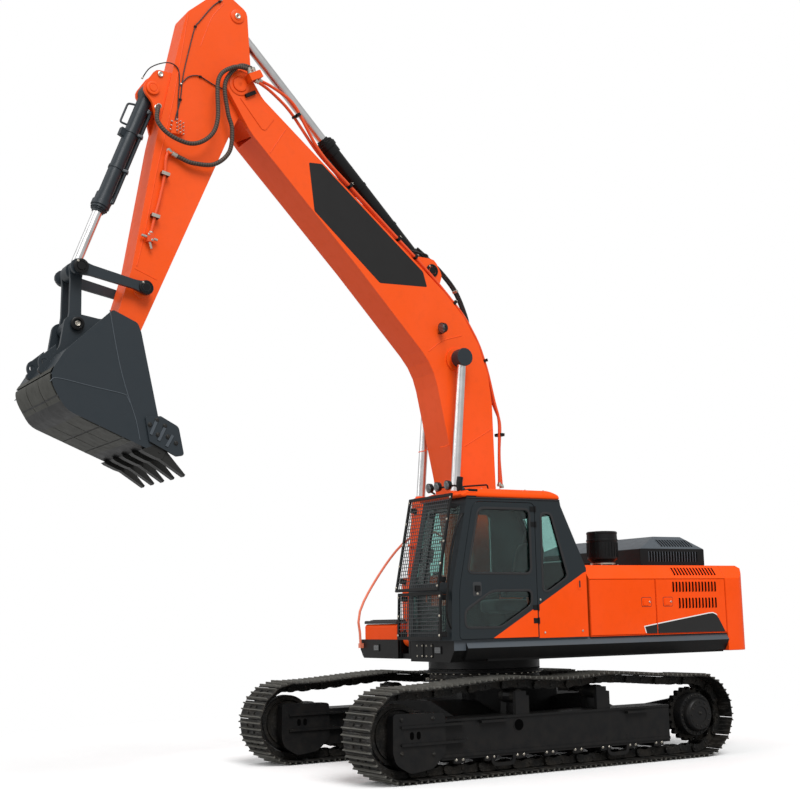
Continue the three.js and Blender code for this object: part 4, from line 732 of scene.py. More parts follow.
class Finish(Enum):
    """Every finish on the machine, with the record slot it belongs to."""

    ORANGE = (PaintFinish(
        "orange_paint_finish", (0.84, 0.082, 0.0030), 0.42, 0.08, 0.22, 0.05, shine=0.25
    ), "orange_paint")
    PANEL = (PaintFinish(
        "orange_panel_paint", (0.86, 0.072, 0.0015), 0.46, 0.04, 0.20, 0.02, shine=0.10
    ), "orange_paint")
    ORANGE_PIPE = (PaintFinish("orange_pipe_paint", (0.74, 0.070, 0.008), 0.42, 0.12, 0.30, 0.08), "orange_paint")
    RAIL = (PaintFinish("handrail_paint", (0.78, 0.20, 0.11), 0.5, 0.25, 0.3, 0.1), "orange_paint")
    SLATE = (PaintFinish("slate_paint_finish", (0.017, 0.024, 0.030), 0.42, 0.05, 0.35, 0.05), "slate_paint")
    CAB = (PaintFinish("cab_slate_paint", (0.010, 0.0155, 0.019), 0.36, 0.03, 0.30, 0.10), "slate_paint")
    # A lighter slate that is painted highlight: upward faces of the hood, the skirt's upper band, slot lips, and the
    # bucket's welds and ribs.
    SLATE_HIGHLIGHT = (PaintFinish("slate_painted_highlight", (0.058, 0.070, 0.082), 0.45, 0.06, 0.35, 0.05), "slate_paint")
    MESH = (PaintFinish("mesh_paint", (0.045, 0.048, 0.050), 0.45, 0.04, 0.3, 0.1), "black_paint")
    CHARCOAL = (PaintFinish(
        "charcoal_paint", (0.0060, 0.0062, 0.0066), 0.40, 0.03, 0.3, 0.03, 0.0, 1.3, shine=0.20
    ), "slate_paint")
    BLACK = (PaintFinish(
        "black_paint_finish", (0.0048, 0.0050, 0.0053), 0.40, 0.03, 0.4, 0.04, shine=0.22
    ), "black_paint")
    # Near-black sheets laid in openings and slots: painted shade of their insides.
    OPENING_SHADE = (PaintFinish("painted_opening_shade", (0.0010, 0.0010, 0.0010), 0.9, 0.0, 0.2, 0.0, shine=0.03), "black_paint")
    DECAL = (PaintFinish("black_film", (0.010, 0.0095, 0.0095), 0.36, 0.02, 0.3, 0.1, bump=0.0003), "black_paint")
    WHITE_LINE = (PaintFinish("white_film", (0.78, 0.78, 0.76), 0.4, 0.1, 0.1, 0.3, bump=0.0003), "orange_paint")
    TRACK = (SteelFinish("track_steel", (0.0085, 0.0085, 0.0080), 0.25, 0.15), "worn_steel")
    # Lighter steel on the grouser bars: rubbed wear, and a painted highlight along their edges.
    GROUSER = (SteelFinish("grouser_steel", (0.120, 0.118, 0.105), 0.55, 0.15), "worn_steel")
    TOOTH = (PaintFinish("tooth_paint", (0.0125, 0.0125, 0.0115), 0.42, 0.05, 0.5, 0.03, 0.0, 1.0), "slate_paint")
    CHAIN = (SteelFinish("chain_steel", (0.008, 0.008, 0.0075), 0.12, 0.15), "worn_steel")
    WEAR = (PaintFinish(
        "wear_plate_paint", (0.040, 0.040, 0.032), 0.50, 0.10, 0.9, 0.02, 0.0, 1.0, 0.002, 0.3
    ), "slate_paint")
    IRON = (SteelFinish("engine_iron_finish", (0.05, 0.05, 0.05), 0.1, 0.25), "engine_iron")
    CHROME = (ChromeFinish("rod_chrome", (0.80, 0.80, 0.80), 0.27), "chrome_rod")
    ZINC = (ChromeFinish("zinc_plate", (0.62, 0.58, 0.50), 0.34), "chrome_rod")
    GLASS = (GlassFinish("green_glass_finish", (0.42, 0.60, 0.57)), "green_glass")
    CLEAR = (GlassFinish("light_glass", (0.45, 0.66, 0.62)), "green_glass")
    RUBBER = (GrainFinish("seal_rubber", (0.012, 0.012, 0.013), 320.0, 0.65), "black_paint")
    GRIP = (GrainFinish("grip_mat", (0.020, 0.021, 0.023), 90.0, 0.7, 0.004), "black_paint")
    CLOTH = (GrainFinish("seat_cloth", (0.020, 0.021, 0.024), 500.0, 0.85, 0.001, 0.4), "seat_fabric")
    PLASTIC = (GrainFinish("console_plastic", (0.022, 0.024, 0.026), 380.0, 0.55, 0.0006), "dark_plastic")
    BELT = (GrainFinish("belt_web", (0.75, 0.12, 0.03), 420.0, 0.7, 0.0008, 0.2), "seat_fabric")
    # The hose wrap carries a painted highlight on its ridges.
    HOSE = (WrapFinish("hose_wrap", (0.024, 0.015, 0.010), 34.0), "hose_rubber")
    LINE = (GrainFinish("thin_line_rubber", (0.010, 0.010, 0.010), 300.0, 0.5), "hose_rubber")
    LAMP = (LampFinish("lamp_glass"), "green_glass")

    @cache
    def material(self) -> Material:
        """The finish's material, built on first use."""
        return self.value[0].material()

    def slot(self) -> str:
        """The record slot that the finish belongs to."""
        return self.value[1]


# ------------------------------------------------------------------ pieces


def lay_out(mesh: Mesh, patch: Patch) -> None:
    """Writes a patch's arrays into an empty mesh."""
    mesh.vertices.add(len(patch.points))
    mesh.vertices.foreach_set("co", patch.points.astype(np.float32).ravel())
    mesh.loops.add(len(patch.loops))
    mesh.loops.foreach_set("vertex_index", patch.loops.astype(np.int32))
    mesh.polygons.add(len(patch.sizes))
    starts = np.concatenate([[0], np.cumsum(patch.sizes)[:-1]]).astype(np.int32)
    mesh.polygons.foreach_set("loop_start", starts)
    mesh.update(calc_edges=True)


def piece(
    name: str, body: str, parts: Sequence[tuple[Finish, Patch | list[Patch]]], bevel: float = 0.0,
    replaces: Sequence[str] = (), angle: float = 34.0
) -> Object:
    """Makes one Blender object of one or more finished patches, riding on a body.

    Args:
        name: the piece's name.
        body: the CAD body that it moves with.
        parts: pairs of a finish and a patch or a list of patches.
        bevel: the width of its rounded edges.
        replaces: the CAD nodes that it stands for.
        angle: edges that fold by more than this many degrees stay sharp.

    Returns:
        The object.
    """
    mesh = bpy.data.meshes.new(name)
    patches = [merged(*part) if isinstance(part, list) else part for _, part in parts]
    lay_out(mesh, merged(*patches))
    finishes = list(dict.fromkeys(finish for finish, _ in parts))
    for finish in finishes:
        mesh.materials.append(finish.material())
    numbers = [np.full(len(patch.sizes), finishes.index(finish)) for (finish, _), patch in zip(parts, patches)]
    mesh.polygons.foreach_set("material_index", np.concatenate(numbers).astype(np.int32))
    facing_out(mesh)
    mesh.polygons.foreach_set("use_smooth", np.ones(len(mesh.polygons), bool))
    mesh.set_sharp_from_angle(angle=math.radians(angle))
    made = bpy.data.objects.new(name, mesh)
    bpy.context.scene.collection.objects.link(made)
    if bevel:
        soften(made, bevel)
    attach(made, body)
    finishes[0].slot()
    if replaces:
        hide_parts(*replaces)
    LOG.info("%s: %d faces on %s", name, len(mesh.polygons), body)
    return made


def facing_out(mesh: Mesh) -> None:
    """Turns every closed surface of the mesh to face outwards."""
    work = bmesh.new()
    work.from_mesh(mesh)
    bmesh.ops.recalc_face_normals(work, faces=work.faces)
    work.to_mesh(mesh)
    work.free()


def soften(made: Object, width: float, angle: float = 34.0, segments: int = 2) -> None:
    """Adds a rounded edge to an object's folds."""
    bevel = made.modifiers.new("rounded_edges", "BEVEL")
    bevel.width = width
    bevel.segments = segments
    bevel.limit_method = "ANGLE"
    bevel.angle_limit = math.radians(angle)
    bevel.harden_normals = True


def vertices(mesh: Mesh) -> Array:
    """A mesh's points, one row each."""
    spots = np.zeros(len(mesh.vertices) * 3)
    mesh.vertices.foreach_get("co", spots)
    return spots.reshape(-1, 3)


def plain_normals(mesh: Mesh) -> None:
    """Drops a CAD mesh's own stored normals."""
    stored = mesh.attributes.get("custom_normal")
    if stored:
        mesh.attributes.remove(stored)


def dress(node: str, finish: Finish, bevel: float = 0.005, segments: int = 2) -> None:
    """Gives a CAD node its finish and, over a weld of its loose triangles, rounded edges.

    Args:
        node: the CAD node.
        finish: what it is finished in.
        bevel: the width of its rounded edges, or 0 for none.
        segments: how many faces round each edge.
    """
    made = frame["nodes"][node]
    made.data.materials.clear()
    made.data.materials.append(finish.material())
    plain_normals(made.data)
    if bevel:
        weld = made.modifiers.new("weld", "WELD")
        weld.merge_threshold = 0.0002
        soften(made, bevel, 24.0, segments)


def all_first(centre: Array, normal: Array) -> Array:
    """The first finish for every face."""
    return np.zeros(len(centre))


def copied(
    name: str, node: str, finishes: Sequence[Finish], choose, bevel: float = 0.005, angle: float = 24.0
) -> Object:
    """A merged copy of a CAD node whose faces carry more than one finish.

    Args:
        name: the new piece's name.
        node: the CAD node that it stands for.
        finishes: the finishes, the first one being the main one.
        choose: takes face centres and normals as arrays and gives a finish number for each face.
        bevel: the width of its rounded edges.
        angle: edges that fold by more than this many degrees stay sharp and are rounded.

    Returns:
        The object.
    """
    source = frame["nodes"][node]
    mesh = source.data.copy()
    mesh.name = name
    work = bmesh.new()
    work.from_mesh(mesh)
    bmesh.ops.remove_doubles(work, verts=work.verts, dist=0.0002)
    work.to_mesh(mesh)
    work.free()
    plain_normals(mesh)
    mesh.materials.clear()
    for finish in finishes:
        mesh.materials.append(finish.material())
    centres, normals = np.zeros(len(mesh.polygons) * 3), np.zeros(len(mesh.polygons) * 3)
    mesh.polygons.foreach_get("center", centres)
    mesh.polygons.foreach_get("normal", normals)
    mesh.polygons.foreach_set("material_index", choose(centres.reshape(-1, 3), normals.reshape(-1, 3)).astype(np.int32))
    mesh.polygons.foreach_set("use_smooth", np.ones(len(mesh.polygons), bool))
    mesh.set_sharp_from_angle(angle=math.radians(angle))
    made = bpy.data.objects.new(name, mesh)
    bpy.context.scene.collection.objects.link(made)
    if bevel:
        soften(made, bevel, angle)
    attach(made, source["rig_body"])
    finishes[0].slot()
    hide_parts(node)
    return made


@dataclass(frozen=True)
class Member:
    """A boom, arm or bucket as a line in the side view, with points given along and over it.

    Args:
        y: the y of its foot pin.
        z: the z of its foot pin.
        dy: the y part of the unit vector along it.
        dz: the z part of that vector.
    """

    y: float
    z: float
    dy: float
    dz: float

    def flat(self, points: Sequence[tuple[float, float]]) -> Array:
        """(along, over) points as (y, z) points of the side view."""
        p = np.asarray(points, float)
        return np.stack([
            self.y + p[:, 0] * self.dy + p[:, 1] * self.dz, self.z + p[:, 0] * self.dz - p[:, 1] * self.dy
        ], axis=1)

    def places(self, points: Sequence[tuple[float, float, float]]) -> Array:
        """(x, along, over) points as x, y, z points."""
        p = np.asarray(points, float)
        return np.concatenate([p[:, :1], self.flat(p[:, 1:])], axis=1)

    def at(self, x: float, along: float, over: float) -> Array:
        """One such point."""
        return self.places([(x, along, over)])[0]

    def across(self) -> Array:
        """The unit vector over the member, square to its line."""
        return np.array([0.0, self.dz, -self.dy])

    def along(self) -> Array:
        """The unit vector along the member."""
        return np.array([0.0, self.dy, self.dz])


def member(start: str, end: str) -> Member:
    """The member between two hinge joints' pins."""
    a, b = JOINTS[start]["pos_m"], JOINTS[end]["pos_m"]
    length = math.hypot(b[1] - a[1], b[2] - a[2])
    return Member(a[1], a[2], (b[1] - a[1]) / length, (b[2] - a[2]) / length)


BOOM = member("boom_lift", "arm_reach")
ARM = member("arm_reach", "bucket_tilt")


def machine(points: Sequence[Sequence[float]]) -> Array:
    """Points counted from the swing axis, as points of the row frame: only y shifts."""
    return np.asarray(points, float) + np.array([0, SWING_Y, 0])


def spot(x: float, y: float, z: float) -> Array:
    """One point counted from the swing axis, as a point of the row frame."""
    return machine([(x, y, z)])[0]


def machine_side(points: Sequence[tuple[float, float]]) -> Array:
    """(y, z) points counted from the swing axis, as (y, z) points of the row frame."""
    return np.asarray(points, float) + np.array([SWING_Y, 0])


# ------------------------------------------------------------------ studio


@dataclass
class Studio:
    """The camera, the floor, the light and the white background."""

    place: tuple[float, float, float] = (14.1289, -9.763, 1.7576)
    azimuth: float = 58.6588
    pitch: float = 9.3156
    roll: float = -1.2092
    lens: float = 59.915
    floor_size: float = 60.0
    key_strength: float = 2.5
    sky_strength: float = 0.62

    def build(self) -> None:
        """Makes the camera first, then the floor, the lights and the world."""
        self.camera()
        self.floor()
        self.lights()
        self.world()
        bpy.context.scene.view_settings.view_transform = "Standard"

    def camera(self) -> None:
        """Places the camera from its azimuth, pitch and roll."""
        a, p, r = (math.radians(v) for v in (self.azimuth, self.pitch, self.roll))
        ahead = Vector((-math.sin(a) * math.cos(p), math.cos(a) * math.cos(p), math.sin(p)))
        right = ahead.cross(Vector(Z)).normalized()
        upward = right.cross(ahead)
        turned_right = right * math.cos(r) + upward * math.sin(r)
        turned_up = upward * math.cos(r) - right * math.sin(r)
        data = bpy.data.cameras.new("camera")
        data.lens = self.lens
        data.sensor_width = 36.0
        data.clip_end = 300.0
        made = bpy.data.objects.new("camera", data)
        basis = Matrix((turned_right, turned_up, -ahead)).transposed().to_4x4()
        made.matrix_world = Matrix.Translation(machine([self.place])[0]) @ basis
        bpy.context.scene.collection.objects.link(made)
        bpy.context.scene.camera = made

    def floor(self) -> None:
        """Lays a pale floor whose far part fades into the background."""
        half = self.floor_size / 2
        mesh = bpy.data.meshes.new("floor")
        mesh.from_pydata([(-half, -half, 0), (half, -half, 0), (half, half, 0), (-half, half, 0)], [], [(0, 1, 2, 3)])
        made = bpy.data.objects.new("floor", mesh)
        made.location = (0, SWING_Y, -0.002)
        bpy.context.scene.collection.objects.link(made)
        s = Surface("floor")
        here = s.here()
        away = s.add("ShaderNodeVectorMath", {0: here}, operation="LENGTH").outputs["Value"]
        cloud = s.noise(here, 1.2, 4.0, 0.5)
        pale = s.mix(cloud, (0.90, 0.90, 0.90, 1), (0.94, 0.94, 0.94, 1))
        seen = s.add("ShaderNodeLightPath").outputs["Is Camera Ray"]
        mesh.materials.append(s.fed(
            Base_Color=s.mix(seen, (0.30, 0.30, 0.30, 1), pale), Roughness=s.span(cloud, 0.3, 0.7, 0.85, 0.95),
            Alpha=s.span(away, 4.5, 9.5, 1.0, 0.0)
        ))

    def lights(self) -> None:
        """Adds a broad key from the camera's side and a weaker fill from the front."""
        for name, strength, angle, azimuth, height in (
            ("key", self.key_strength, 35.0, 78.0, 48.0), ("fill", 0.9, 60.0, -12.0, 22.0)
        ):
            data = bpy.data.lights.new(name, "SUN")
            data.energy = strength
            data.angle = math.radians(angle)
            made = bpy.data.objects.new(name, data)
            a, e = math.radians(azimuth), math.radians(height)
            back = Vector((math.sin(a) * math.cos(e), -math.cos(a) * math.cos(e), math.sin(e)))
            made.rotation_mode = "QUATERNION"
            made.rotation_quaternion = (-back).to_track_quat("-Z", "Y")
            bpy.context.scene.collection.objects.link(made)

    def world(self) -> None:
        """White to the camera and in reflections, and a soft sky for the rest."""
        made = bpy.data.worlds.new("studio")
        made.use_nodes = True
        made.node_tree.nodes.clear()
        tree = Tree(made.node_tree)
        path = tree.add("ShaderNodeLightPath")
        seen = tree.maths("MAXIMUM", path.outputs["Is Camera Ray"], path.outputs["Is Transmission Ray"])
        sky = tree.add("ShaderNodeBackground", {"Color": (1.0, 1.0, 1.0, 1), "Strength": self.sky_strength})
        mirror = tree.add("ShaderNodeBackground", {"Color": (1.0, 1.0, 1.0, 1), "Strength": 0.5})
        white = tree.add("ShaderNodeBackground", {"Color": (1.0, 1.0, 1.0, 1), "Strength": 1.0})
        glossy = tree.add("ShaderNodeMixShader", {
            0: path.outputs["Is Glossy Ray"], 1: sky.outputs[0], 2: mirror.outputs[0]
        })
        last = tree.add("ShaderNodeMixShader", {0: seen, 1: glossy.outputs[0], 2: white.outputs[0]})
        tree.add("ShaderNodeOutputWorld", {0: last.outputs[0]})
        bpy.context.scene.world = made


# ------------------------------------------------------------------ undercarriage


@dataclass
class Tracks:
    """Two track chains with their shoes, wheels and frames.

    Its loop is the frame's own: a straight bottom, two half circles and an upper run that rises over
    the carrier rollers and sags between them.
    """

    gauge: float = 2.68
    shoe_width: float = 0.600
    shoes: int = 50
    half: float = 2.135
    axle: float = 0.508
    radius: float = 0.478
    grouser: float = 0.030
    block: tuple = (
        (-2.300, 0.748), (-1.640, 0.728), (-1.640, 0.300), (-1.800, 0.150), (-2.090, 0.110), (-2.270, 0.215),
        (-2.310, 0.330)
    )
    beam_half: float = 0.195
    rise: float = 0.076
    sag: float = 0.034
    carriers: tuple[float, float] = (-0.56, 0.62)

    def build(self) -> None:
        """Builds both sides."""
        for side, word in SIDES:
            self.shoes_of(side, word)
            self.chain_of(side, word)
            self.wheels_of(side, word)
            self.frame_of(side, word)

    def upper(self, y: Array) -> Array:
        """The height of the upper run: cosine ramps up to the carriers and a half sine of sag between them."""
        top = self.axle + self.radius
        front, rear = self.carriers
        ramp_front = (1 - np.cos(np.pi * np.clip((y + self.half) / (front + self.half), 0, 1))) / 2
        ramp_rear = (1 - np.cos(np.pi * np.clip((self.half - y) / (self.half - rear), 0, 1))) / 2
        between = np.sin(np.pi * np.clip((y - front) / (rear - front), 0, 1))
        return top + self.rise * np.minimum(ramp_front, ramp_rear) - self.sag * between

    def loop(self) -> Array:
        """The dense closed curve of the shoes' outer face in (y, z), run along the ground to the rear first."""
        t = np.linspace(0, 1, 240, endpoint=False)
        bottom = np.stack([-self.half + 2 * self.half * t, np.full_like(t, self.grouser)], 1)
        turn = np.pi * t
        rear = np.stack([self.half + self.radius * np.sin(turn), self.axle - self.radius * np.cos(turn)], 1)
        y = self.half - 2 * self.half * t
        top = np.stack([y, self.upper(y)], 1)
        front = np.stack([-self.half - self.radius * np.sin(turn), self.axle + self.radius * np.cos(turn)], 1)
        return np.concatenate([bottom, rear, top, front])

    def stations(self, count: int, shift: float = 0.0) -> tuple[Array, Array]:
        """Equal places along the loop, and the unit tangents there.

        Args:
            count: how many.
            shift: a share of one pitch by which they all move on.

        Returns:
            (y, z) places and tangents.
        """
        line = self.loop()
        closed = np.vstack([line, line[:1]])
        reach = np.concatenate([[0], np.cumsum(np.linalg.norm(np.diff(closed, axis=0), axis=1))])
        total = reach[-1]

        def at(s: Array) -> Array:
            return np.stack([np.interp(s % total, reach, closed[:, k]) for k in (0, 1)], 1)

        s = (np.arange(count) + shift) * total / count
        chord = at(s + 0.09) - at(s - 0.09)
        return at(s), chord / np.linalg.norm(chord, axis=1)[:, None]

    def placed(self, side: int, count: int, shift: float = 0.0) -> Array:
        """Matrices at the stations, with local y along the run and local z outwards."""
        places, along = self.stations(count, shift)
        origins = machine(np.stack([np.full(count, side * self.gauge / 2), places[:, 0], places[:, 1]], 1))
        y_axes = -np.stack([np.zeros(count), along[:, 0], along[:, 1]], 1)
        return placings(origins, X, y_axes)

    def shoes_of(self, side: int, word: str) -> None:
        """Triple-grouser shoes: one section drawn out across the track, with four bolts on each."""
        half = self.shoe_width / 2
        section = [
            (-0.110, -0.014), (-0.113, -0.002), (-0.101, 0.0), (-0.073, 0.0), (-0.015, 0.0), (0.014, 0.0), (0.060, 0.0),
            (0.091, -0.004), (0.112, -0.009), (0.113, -0.020), (0.085, -0.016)
        ]
        shoe = side_plate(section, -half, half)
        bars = [
            side_plate([
                (y - 0.011, -0.002), (y - 0.006, 0.025), (y + 0.006, 0.025), (y + 0.011, -0.002)
            ], -half + 0.002, half - 0.002)
            for y in (-0.088, -0.002, 0.075)
        ]
        at = self.placed(side, self.shoes)
        piece(f"track_shoes_{word}", UNDER, [(Finish.TRACK, copies(shoe, at))], 0.003, [f"track_{word}"])
        # The grousers' lighter steel is rubbed wear and a painted highlight.
        piece(f"track_grousers_{word}", UNDER, [(Finish.GROUSER, copies(merged(*bars), at))], 0.0025)
        heads = bolts([(x, y, 0.002) for x in (-0.085, 0.085) for y in (-0.042, 0.038)], Z, 0.014)
        piece(f"shoe_bolts_{word}", UNDER, [(Finish.CHAIN, copies(heads, at))])

    def chain_of(self, side: int, word: str) -> None:
        """Link plates in two alternating rows on each side, with pins and bushings between them."""
        plate = rounded([
            (-0.135, -0.115), (-0.06, -0.118), (0.0, -0.095), (0.06, -0.118), (0.135, -0.115), (0.135, -0.05),
            (0.09, -0.022), (-0.09, -0.022), (-0.135, -0.05)
        ], 0.03, 4)
        parts = []
        for row, start in ((0.068, 0.0), (0.098, 1.0)):
            pair = merged(*[side_plate(plate, s * row - 0.014, s * row + 0.014) for s in (-1, 1)])
            parts.append((Finish.CHAIN, copies(pair, self.placed(side, self.shoes)[int(start)::2])))
        pin = turned([(0.018, -0.122), (0.022, -0.118), (0.022, 0.118), (0.018, 0.122)], (0, 0, -0.075), X, 12)
        bush = turned([(0.034, -0.055), (0.034, 0.055)], (0, 0, -0.075), X, 14)
        parts.append((Finish.CHAIN, copies(merged(pin, bush), self.placed(side, self.shoes, 0.5))))
        piece(f"track_chain_{word}", UNDER, parts)

    def wheels_of(self, side: int, word: str) -> None:
        """The idler, and the sprocket with its teeth and final drive, as turned and toothed surfaces."""
        x = side * self.gauge / 2
        front, rear = machine([(x, -self.half, self.axle), (x, self.half, self.axle)])
        half = [
            (0.10, 0.118), (0.105, 0.075), (0.20, 0.05), (0.262, 0.055), (0.272, 0.082), (0.286, 0.084), (0.290, 0.062),
            (0.329, 0.056)
        ]
        idler = turned([(r, -h) for r, h in half] + half[::-1], front, X, 64)
        caps = bolts(on_circle(front + [side * 0.118, 0, 0], (side, 0, 0), 0.07, 6), (side, 0, 0), 0.010)
        piece(f"idler_wheel_{word}", UNDER, [(Finish.CHAIN, idler), (Finish.CHAIN, caps)], replaces=[f"idler_{word}"])
        turn = np.arange(21 * 12) * 2 * np.pi / (21 * 12)
        reach = 0.312 + 0.019 * np.tanh(2.2 * np.cos(21 * turn))
        rim = np.stack([rear[1] + reach * np.cos(turn), rear[2] + reach * np.sin(turn)], 1)
        teeth = side_plate(rim, x - 0.034, x + 0.034)
        out = np.array([side * 1.0, 0, 0])
        drive = turned([
            (0.10, -0.24), (0.20, -0.235), (0.205, 0.03), (0.262, 0.032), (0.264, 0.15), (0.255, 0.166), (0.212, 0.168),
            (0.206, 0.20), (0.198, 0.226), (0.178, 0.244), (0.10, 0.250), (0.098, 0.242), (0.05, 0.242)
        ], rear, out, 56)
        ring = bolts(on_circle(rear + out * 0.166, out, 0.234, 24), out, 0.012)
        inner = bolts(on_circle(rear + out * 0.2475, out, 0.146, 12), out, 0.010)
        plugs = bolts([rear + out * 0.243 + [0, 0.0, 0.02]], out, 0.018)
        piece(f"final_drive_{word}", UNDER, [
            (Finish.CHAIN, teeth), (Finish.CHARCOAL, drive), (Finish.TRACK, [ring, inner, plugs])
        ], replaces=[f"sprocket_{word}"])

    def frame_of(self, side: int, word: str) -> None:
        """The track frame: its own body dressed, with rollers, two lips, side fittings and bolted covers."""
        x = side * self.gauge / 2
        dress(f"track_frame_{word}", Finish.CHARCOAL, 0.008)
        ends = np.array([spot(x, y, 0) for y in np.linspace(-1.42, 1.48, 8)])
        roller = turned([
            (0.05, -0.168), (0.085, -0.166), (0.097, -0.16), (0.099, -0.10), (0.074, -0.094), (0.074, 0.094),
            (0.099, 0.10), (0.097, 0.16), (0.085, 0.166), (0.05, 0.168)
        ], (0, 0, 0.255), X, 28)
        rollers = merged(*[shifted(roller, *place) for place in ends])
        heads = bolts([
            place + [side * 0.166, dy, 0.255 + dz]
            for place in ends
            for dy, dz in ((0.045, 0), (-0.045, 0), (0, 0.045), (0, -0.045))
        ], (side, 0, 0), 0.008)
        top = np.array([spot(x, y, 0) for y in self.carriers])
        carrier = turned([
            (0.04, -0.150), (0.078, -0.142), (0.080, -0.07), (0.060, -0.06), (0.060, 0.06), (0.080, 0.07),
            (0.078, 0.142), (0.04, 0.150)
        ], (0, 0, 0.853), X, 24)
        parts = [(Finish.CHAIN, merged(rollers, *[shifted(carrier, *place) for place in top])), (Finish.TRACK, heads)]
        edge = x + side * self.beam_half
        near, far = sorted((edge - side * 0.004, edge + side * 0.016))
        lip = side_plate(machine_side(rectangle(-1.655, 0.628, 1.655, 0.652)), near, far)
        foot = side_plate(machine_side(rectangle(-1.655, 0.245, 1.655, 0.275)), near, far)
        parts.append((Finish.CHARCOAL, [lip, foot]))
        parts += self.brackets(side, edge) + self.brackets(-side, x - side * self.beam_half)[:2]
        caps = [
            side_plate(
                machine_side(rectangle(y - 0.075, 0.175, y + 0.075, 0.243)),
                *sorted((edge - side * 0.03, edge - side * 0.004))
            )
            for y in np.linspace(-1.42, 1.48, 8)
        ]
        nuts = bolts(machine([
            (edge - side * 0.004, y + dy, 0.212)
            for y in np.linspace(-1.42, 1.48, 8)
            for dy in (-0.045, 0.045)
        ]), (side, 0, 0), 0.013)
        parts += [(Finish.CHARCOAL, caps), (Finish.ZINC, nuts)]
        piece(f"track_frame_trim_{word}", UNDER, parts, 0.003)

    def brackets(self, side: int, edge: float) -> list[tuple[Finish, Patch]]:
        """One side's idler block with its ribs, and the ledges, carrier posts, track guards and round hole; the hole
        and two slots are thin sheets of painted shade.
        """

        def slab(outline: Sequence[tuple[float, float]], low: float, high: float) -> Patch:
            near, far = sorted((edge + side * low, edge + side * high))
            return side_plate(machine_side(outline), near, far)

        block = slab(rounded(self.block, 0.05), -0.065, 0.062)
        ribs = [slab(rectangle(-2.21, z, -1.38, z + 0.026), 0.0, 0.088) for z in (0.402, 0.590)]
        ledges = [
            slab(rectangle(y0, z, y1, z + 0.026), 0.0, 0.062)
            for y0, y1, z in ((-1.154, -0.79, 0.592), (0.96, 1.30, 0.582))
        ]
        posts = [
            slab([(y, 0.645), (y + 0.15, 0.645), (y + 0.15, 0.855), (y + 0.02, 0.875)], -0.125, -0.015)
            for y in (-0.59, 0.60)
        ]
        loops = [
            carried(
                rectangle(-0.02, -0.014, 0.02, 0.014),
                machine([
                    (edge - side * 0.012, *p)
                    for p in rounded_line(((y, 0.34), (y + 0.01, 0.125), (y + 0.30, 0.125), (y + 0.31, 0.34)), 0.06)
                ]), X
            )
            for y in (-0.985, 0.685)
        ]
        rim = slab(np.array([(-0.606, 0.540)]) + pill(0.152, 0.152, 14), 0.0, 0.004)
        # The round hole and the slots are thin near-black sheets: painted shade, not openings.
        hole = slab(np.array([(-0.606, 0.540)]) + pill(0.126, 0.126, 14), 0.004, 0.0055)
        slots = [slab(np.array([(y, 0.508)]) + pill(0.05, 0.085), 0.062, 0.064) for y in (-2.07, -1.985)]
        spots = machine(
            [(edge + side * 0.062, y, z) for y, z in ((-2.20, 0.68), (-1.80, 0.68), (-2.20, 0.33), (-1.80, 0.30))]
        )
        return [
            (Finish.CHARCOAL, merged(block, *ribs, *ledges, *posts, *loops, rim)), (Finish.OPENING_SHADE, merged(hole, *slots)),
            (Finish.TRACK, bolts(spots, (side, 0, 0), 0.018))
        ]


@dataclass
class LowerFrame:
    """The car body with the swing bearing's bolts and seals."""

    radius: float = 0.69
    bolts_round: int = 40

    def build(self) -> None:
        """Dresses the castings and adds two bolt circles and a seal."""
        dress("lower_frame", Finish.CHARCOAL, 0.010)
        dress("swing_bearing", Finish.CHAIN, 0.006)
        foot, top = spot(0, 0, 1.0), spot(0, 0, 1.127)
        flange = turned([
            (0.655, -0.03), (0.74, -0.03), (0.745, -0.025), (0.745, -0.004), (0.70, 0.0), (0.655, 0.0)
        ], foot, Z, 72)
        ring = bolts(on_circle(foot, Z, 0.722, self.bolts_round), Z, 0.013)
        under = bolts(on_circle(foot + [0, 0, 0.075], Z, 0.70, self.bolts_round, 0.1), (0, 0, -1), 0.012)
        rim = turned([(0.60, 0.078), (0.735, 0.078), (0.738, 0.082), (0.738, 0.100), (0.60, 0.104)], foot, Z, 72)
        piece("bearing_bolts", UNDER, [(Finish.CHARCOAL, [flange, rim]), (Finish.ZINC, ring), (Finish.ZINC, under)])
        seal = turned([(0.66, -0.012), (0.701, -0.012), (0.704, -0.006), (0.701, -0.001), (0.66, -0.001)], top, Z, 72)
        piece("bearing_seal", UNDER, [(Finish.RUBBER, seal)])


# ------------------------------------------------------------------ upper structure


def film(outline: Sequence[tuple[float, float]], x: float, thick: float = 0.0012) -> Patch:
    """A thin painted shape on a side face at x, from an outline counted from the swing axis."""
    sign = 1 if x > 0 else -1
    near, far = sorted((x, x + sign * thick))
    return side_plate(machine_side(outline), near, far)


def pill(width: float, height: float, steps: int = 6) -> Array:
    """An upright slot's outline: a rectangle whose ends are half circles."""
    t = np.linspace(0, np.pi, steps)
    r = width / 2
    top = np.stack([r * np.cos(t), height / 2 - r + r * np.sin(t)], 1)
    return np.concatenate([top, -top])


